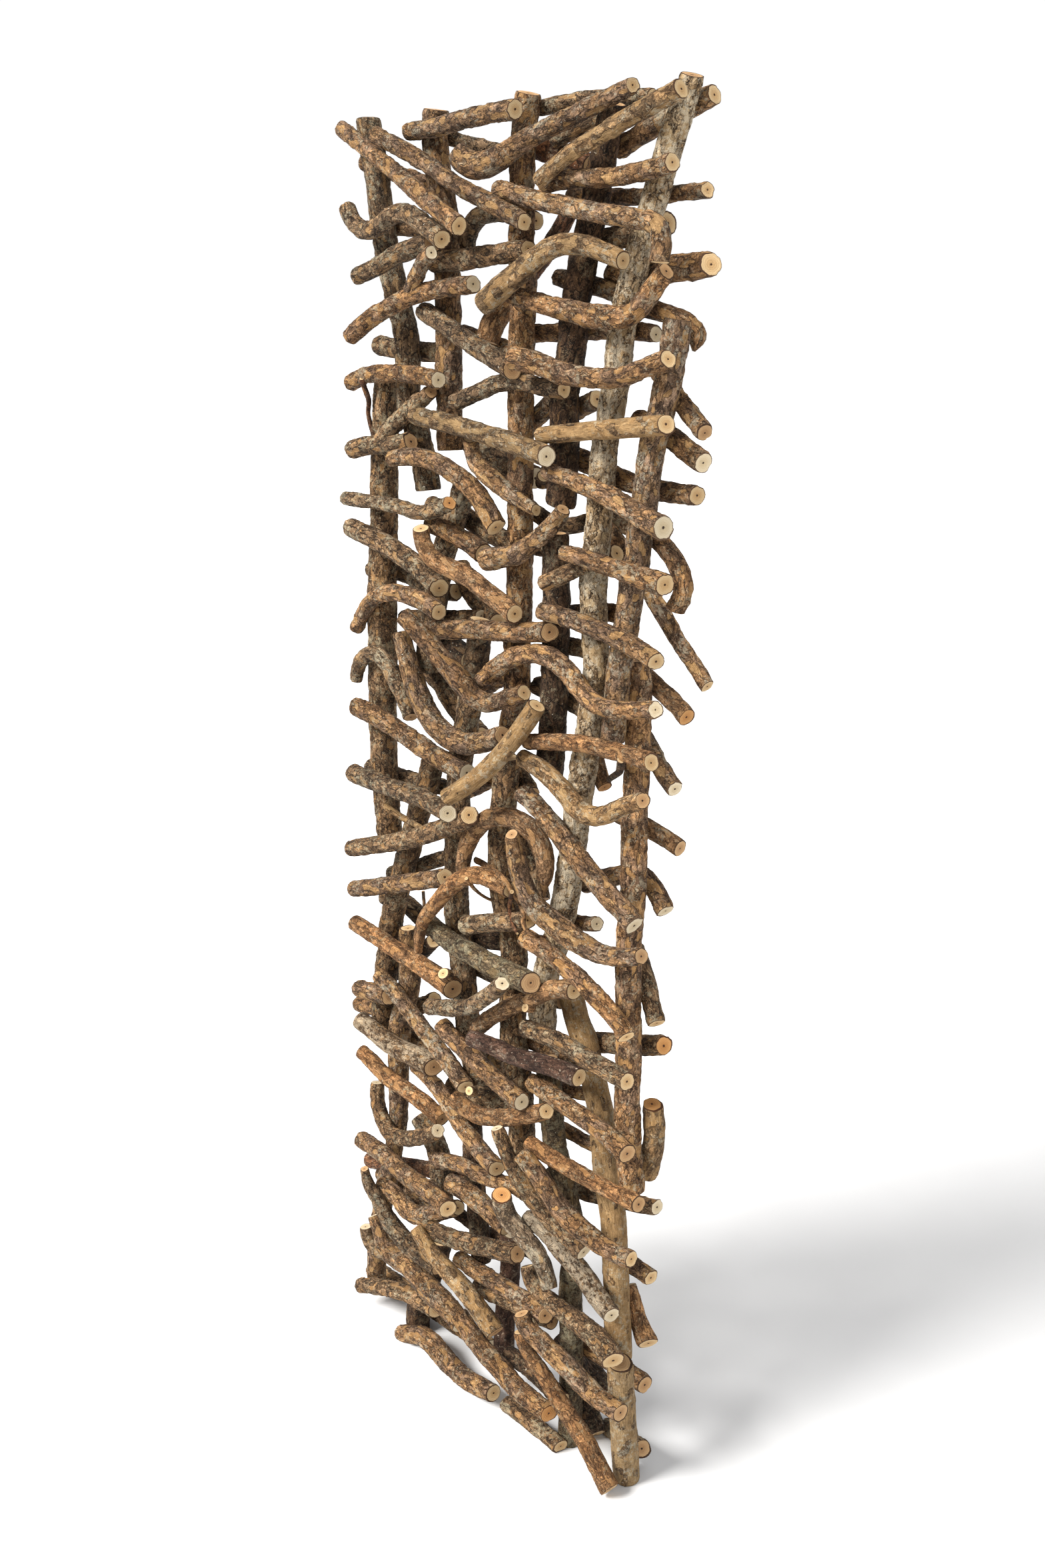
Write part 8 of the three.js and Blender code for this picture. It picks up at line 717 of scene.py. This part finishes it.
BARK = {
    # main, second, inner, crack, lichen, lichen amount, pale specks
    "tb": ("tan_bark", dict(main="8d6f4f", second="796452", inner="b39164", crack="24180f", lichen="a99f89", amount=0.25, specks=0.03, cracks=0.9, pores=0.6)),
    "gb": ("grey_brown_bark", dict(main="7f6951", second="695743", inner="a6865e", crack="1f160f", lichen="a59b82", amount=0.35, specks=0.04, cracks=1.0, pores=0.5)),
    "dk": ("dark_bark", dict(main="574536", second="433529", inner="7b6247", crack="150e09", lichen="837862", amount=0.25, specks=0.05, cracks=1.0, pores=0.5)),
    "pl": ("peeled_wood", dict(main="8c7252", second="7c6950", inner="ab9068", crack="33251a", lichen="ada48e", amount=0.30, specks=0.03, cracks=0.7, pores=0.5)),
    "or": ("orange_bark", dict(main="967350", second="83684d", inner="b08c63", crack="301e11", lichen="a3977e", amount=0.10, specks=0.03, cracks=0.7, pores=0.7)),
    "gy": ("grey_bark", dict(main="877560", second="736351", inner="a68b64", crack="2c2219", lichen="aea28a", amount=0.45, specks=0.05, cracks=0.9, pores=0.4)),
    "li": ("lichen_bark", dict(main="6c5a45", second="5e4d3d", inner="8b6f4c", crack="2c2219", lichen="b5a68e", amount=0.80, specks=0.06, cracks=0.8, pores=0.4)),
    "pu": ("purple_brown_bark", dict(main="58443a", second="4c3b34", inner="6f5545", crack="1f140f", lichen="94897b", amount=0.15, specks=0.16, cracks=0.5, pores=0.5)),
    "gg": ("grey_green_bark", dict(main="6a5c47", second="594e3e", inner="887351", crack="241c14", lichen="938a6f", amount=0.55, specks=0.05, cracks=0.8, pores=0.5)),
    "cr": ("cream_bark", dict(main="a3937a", second="8f7c60", inner="c0ad8c", crack="2c2016", lichen="d0c6b0", amount=0.75, specks=0.05, cracks=1.0, pores=0.5)),
    "rd": ("red_brown_bark", dict(main="745039", second="634c3c", inner="926b49", crack="25160e", lichen="918673", amount=0.10, specks=0.04, cracks=0.9, pores=0.5)),
}
CUT = {
    "tan": ("sawn_tan", dict(pale="d0b58b", heart="bb996c", rim="4a3322", pithc="3a2517")),
    "pale": ("sawn_pale", dict(pale="d5c6a9", heart="c4b190", rim="5a4532", pithc="35261a")),
    "brown": ("sawn_brown", dict(pale="bd9a70", heart="a58059", rim="3d2a1c", pithc="2c1c12")),
    "orange": ("sawn_orange", dict(pale="bf8f5a", heart="ac7a47", rim="4a2c18", pithc="3a2012")),
}
MAT = {}
for key, (mat_name, args) in BARK.items():
    MAT[key] = bark_material(mat_name, **args)
for key, (mat_name, args) in CUT.items():
    MAT["cut_" + key] = cut_material(mat_name, **args)

# ---- build the pieces ----------------------------------------------------------------
RELIEF = {"tb": 1.0, "gb": 1.1, "dk": 1.15, "pl": 0.7, "or": 0.7, "gy": 0.9, "li": 0.9, "pu": 0.6, "gg": 0.85, "rd": 0.9, "cr": 1.0}
PEEL = {"tb": 0.34, "gb": 0.44, "dk": 0.55, "pl": 0.10, "or": 0.30, "gy": 0.40, "li": 0.45, "pu": 0.70, "gg": 0.45, "rd": 0.5, "cr": 0.2}


def make_piece(node, group):
    mats, parts = [], []
    for name, tone, pts in group:
        look = LOOK.get(name, {})
        tone = look.get("bark", tone)
        opt = dict(rough=RELIEF[tone], peel=PEEL[tone])
        opt.update(look)
        d = branch(name, pts, opt)
        turn = sum(ord(ch) * (k + 3) for k, ch in enumerate(name)) % 4
        cut = "cut_" + opt.get("cut", ("pale", "tan", "tan", "brown")[turn] if name[0] != "T" else "tan")
        for k in (tone, cut):
            if k not in mats:
                mats.append(k)
        h = d["hue"]
        gain = (1 + 0.13 * h[0]) * opt.get("gain", 1.0)
        warm = 0.045 * h[1] + opt.get("warm", 0.0)
        tint = np.array([gain * (1 + warm), gain, gain * (1 - warm * 1.3), 1.0])
        cg = 1 + 0.10 * h[2]
        tint2 = np.array([cg, cg * (1 - 0.02 * h[1]), cg * (1 - 0.05 * h[1]), 1.0])
        nv = len(d["v"])
        d["tint"] = np.tile(tint, (nv, 1))
        d["tint2"] = np.tile(tint2, (nv, 1))
        d["mat"] = (mats.index(tone), mats.index(cut))
        parts.append(d)
    off = 0
    V, F4, F3, M4, M3, rims = [], [], [], [], [], []
    for d in parts:
        V.append(d["v"])
        F4 += [d["quads"] + off, d["cutq"] + off]
        M4 += [np.full(len(d["quads"]), d["mat"][0]), np.full(len(d["cutq"]), d["mat"][1])]
        F3.append(d["tris"] + off)
        M3.append(np.full(len(d["tris"]), d["mat"][1]))
        rims.append(d["rims"])
        off += len(d["v"])
    V, F4, F3 = np.vstack(V), np.vstack(F4), np.vstack(F3)
    mi = np.concatenate(M4 + M3)
    rims = np.concatenate(rims)
    me = bpy.data.meshes.new(node + "_branches")
    me.vertices.add(len(V))
    me.vertices.foreach_set("co", V.astype(np.float32).ravel())
    me.loops.add(4 * len(F4) + 3 * len(F3))
    me.loops.foreach_set("vertex_index", np.concatenate([F4.ravel(), F3.ravel()]).astype(np.int32))
    start = np.concatenate([np.arange(len(F4)) * 4, 4 * len(F4) + np.arange(len(F3)) * 3])
    me.polygons.add(len(start))
    me.polygons.foreach_set("loop_start", start.astype(np.int32))
    me.update(calc_edges=True)
    me.polygons.foreach_set("material_index", mi.astype(np.int32))
    me.polygons.foreach_set("use_smooth", np.ones(len(start), bool))
    ev = np.empty(2 * len(me.edges), np.int32)
    me.edges.foreach_get("vertices", ev)
    ev = ev.reshape(-1, 2)
    sharp = rims[ev[:, 0]] & rims[ev[:, 1]]
    at = me.attributes.new("sharp_edge", "BOOLEAN", "EDGE")
    at.data.foreach_set("value", sharp)
    # point attributes for the material: bark and cut-face coordinates, and the peel, knot and painted hollow-shade
    # masks
    for nm, kind, dim in (("bark", "FLOAT_VECTOR", 3), ("face", "FLOAT_VECTOR", 3), ("peel_knot_and_painted_shade", "FLOAT_VECTOR", 3)):
        at = me.attributes.new(nm, kind, "POINT")
        src = np.vstack([d[{"bark": "bark", "face": "face", "peel_knot_and_painted_shade": "extra"}[nm]] for d in parts])
        at.data.foreach_set("vector", src.astype(np.float32).ravel())
    for nm in ("tint", "tint2"):
        at = me.attributes.new(nm, "FLOAT_COLOR", "POINT")
        at.data.foreach_set("color", np.vstack([d[nm] for d in parts]).astype(np.float32).ravel())
    for k in mats:
        me.materials.append(MAT[k])
    me.validate()
    ob = bpy.data.objects.new(node + "_branches", me)
    bpy.context.scene.collection.objects.link(ob)
    return ob


groups = {}
for name, tone, node, pts in STICKS:
    groups.setdefault(node, []).append((name, tone, pts))
faces = 0
for node, group in groups.items():
    ob = make_piece(node, group)
    faces += sum(len(p.vertices) - 2 for p in ob.data.polygons)
    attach(ob, "root")
    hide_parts(node)
print("pieces", len(groups), "triangles", faces)

# ---- floor, light, camera --------------------------------------------------------------
def plane(name, size, z):
    me = bpy.data.meshes.new(name)
    me.from_pydata([(-size, -size, z), (size, -size, z), (size, size, z), (-size, size, z)], [], [(0, 1, 2, 3)])
    ob = bpy.data.objects.new(name, me)
    bpy.context.scene.collection.objects.link(ob)
    return ob


floor = plane("floor", 30.0, -0.0005)
fm = Net("floor_paint")
fco = fm.add("ShaderNodeTexCoord").outputs["Object"]
fn = fm.noise(fco, 3.0, 3)
fcol = fm.mix(fn, (0.66, 0.66, 0.665, 1), (0.70, 0.70, 0.70, 1))
floor.data.materials.append(fm.finish(fcol, 0.7, fn, 0.05, 0.001, 0.2))


def sun(name, loc, aim, spread, power, colour):
    li = bpy.data.lights.new(name, "SUN")
    li.angle = math.radians(spread)
    li.energy = power
    li.color = colour
    ob = bpy.data.objects.new(name, li)
    bpy.context.scene.collection.objects.link(ob)
    d = np.array(aim, float) - np.array(loc, float)
    d /= np.linalg.norm(d)
    up = np.array([0, 0, 1.0])
    z = -d
    x = np.cross(up, z)
    x /= np.linalg.norm(x)
    y = np.cross(z, x)
    ob.matrix_world = Matrix([[x[0], y[0], z[0], loc[0]], [x[1], y[1], z[1], loc[1]], [x[2], y[2], z[2], loc[2]], [0, 0, 0, 1]])
    return ob


# key: a very soft light from above and to the left of the camera; fill: low and weak, from the right
key = sun("key", (-1.2, -3.2, 3.0), (0.0, 0.0, 0.0), 24.0, 6.9, (1.0, 0.985, 0.96))
fill = sun("fill", (3.2, -0.6, 1.6), (0.0, 0.0, 0.0), 40.0, 0.85, (0.97, 0.98, 1.0))

world = bpy.data.worlds.new("studio")
bpy.context.scene.world = world
world.use_nodes = True
wt = world.node_tree
wt.nodes.clear()
bg = wt.nodes.new("ShaderNodeBackground")
bg.inputs["Color"].default_value = (1.0, 1.0, 1.0, 1)
seen = wt.nodes.new("ShaderNodeLightPath")
level = wt.nodes.new("ShaderNodeMapRange")
level.inputs["To Min"].default_value = 0.64
level.inputs["To Max"].default_value = 1.02
wt.links.new(seen.outputs["Is Camera Ray"], level.inputs["Value"])
wt.links.new(level.outputs[0], bg.inputs["Strength"])
wo = wt.nodes.new("ShaderNodeOutputWorld")
wt.links.new(bg.outputs[0], wo.inputs["Surface"])

bpy.context.scene.view_settings.view_transform = "Standard"
bpy.context.scene.view_settings.look = "None"

F = np.array([CAM_AIM[0], CAM_AIM[1], 0.0])
F /= np.linalg.norm(F)
right = np.array([F[1], -F[0], 0.0])
p, r = math.radians(CAM_PITCH), math.radians(CAM_ROLL)
fwd = math.cos(p) * F - math.sin(p) * np.array([0, 0, 1.0])
down = -(math.sin(p) * F + math.cos(p) * np.array([0, 0, 1.0]))
xc = math.cos(r) * right - math.sin(r) * down
yc = -(math.sin(r) * right + math.cos(r) * down)
zc = -fwd
cam_data = bpy.data.cameras.new("camera")
cam_data.sensor_fit = "VERTICAL"
cam_data.sensor_height = 36.0
cam_data.lens = CAM_LENS
cam_data.clip_start = 0.02
cam_data.clip_end = 200
cam = bpy.data.objects.new("camera", cam_data)
bpy.context.scene.collection.objects.link(cam)
cam.matrix_world = Matrix([
    [xc[0], yc[0], zc[0], CAM_POS[0]],
    [xc[1], yc[1], zc[1], CAM_POS[1]],
    [xc[2], yc[2], zc[2], CAM_POS[2]],
    [0, 0, 0, 1],
])
bpy.context.scene.camera = cam
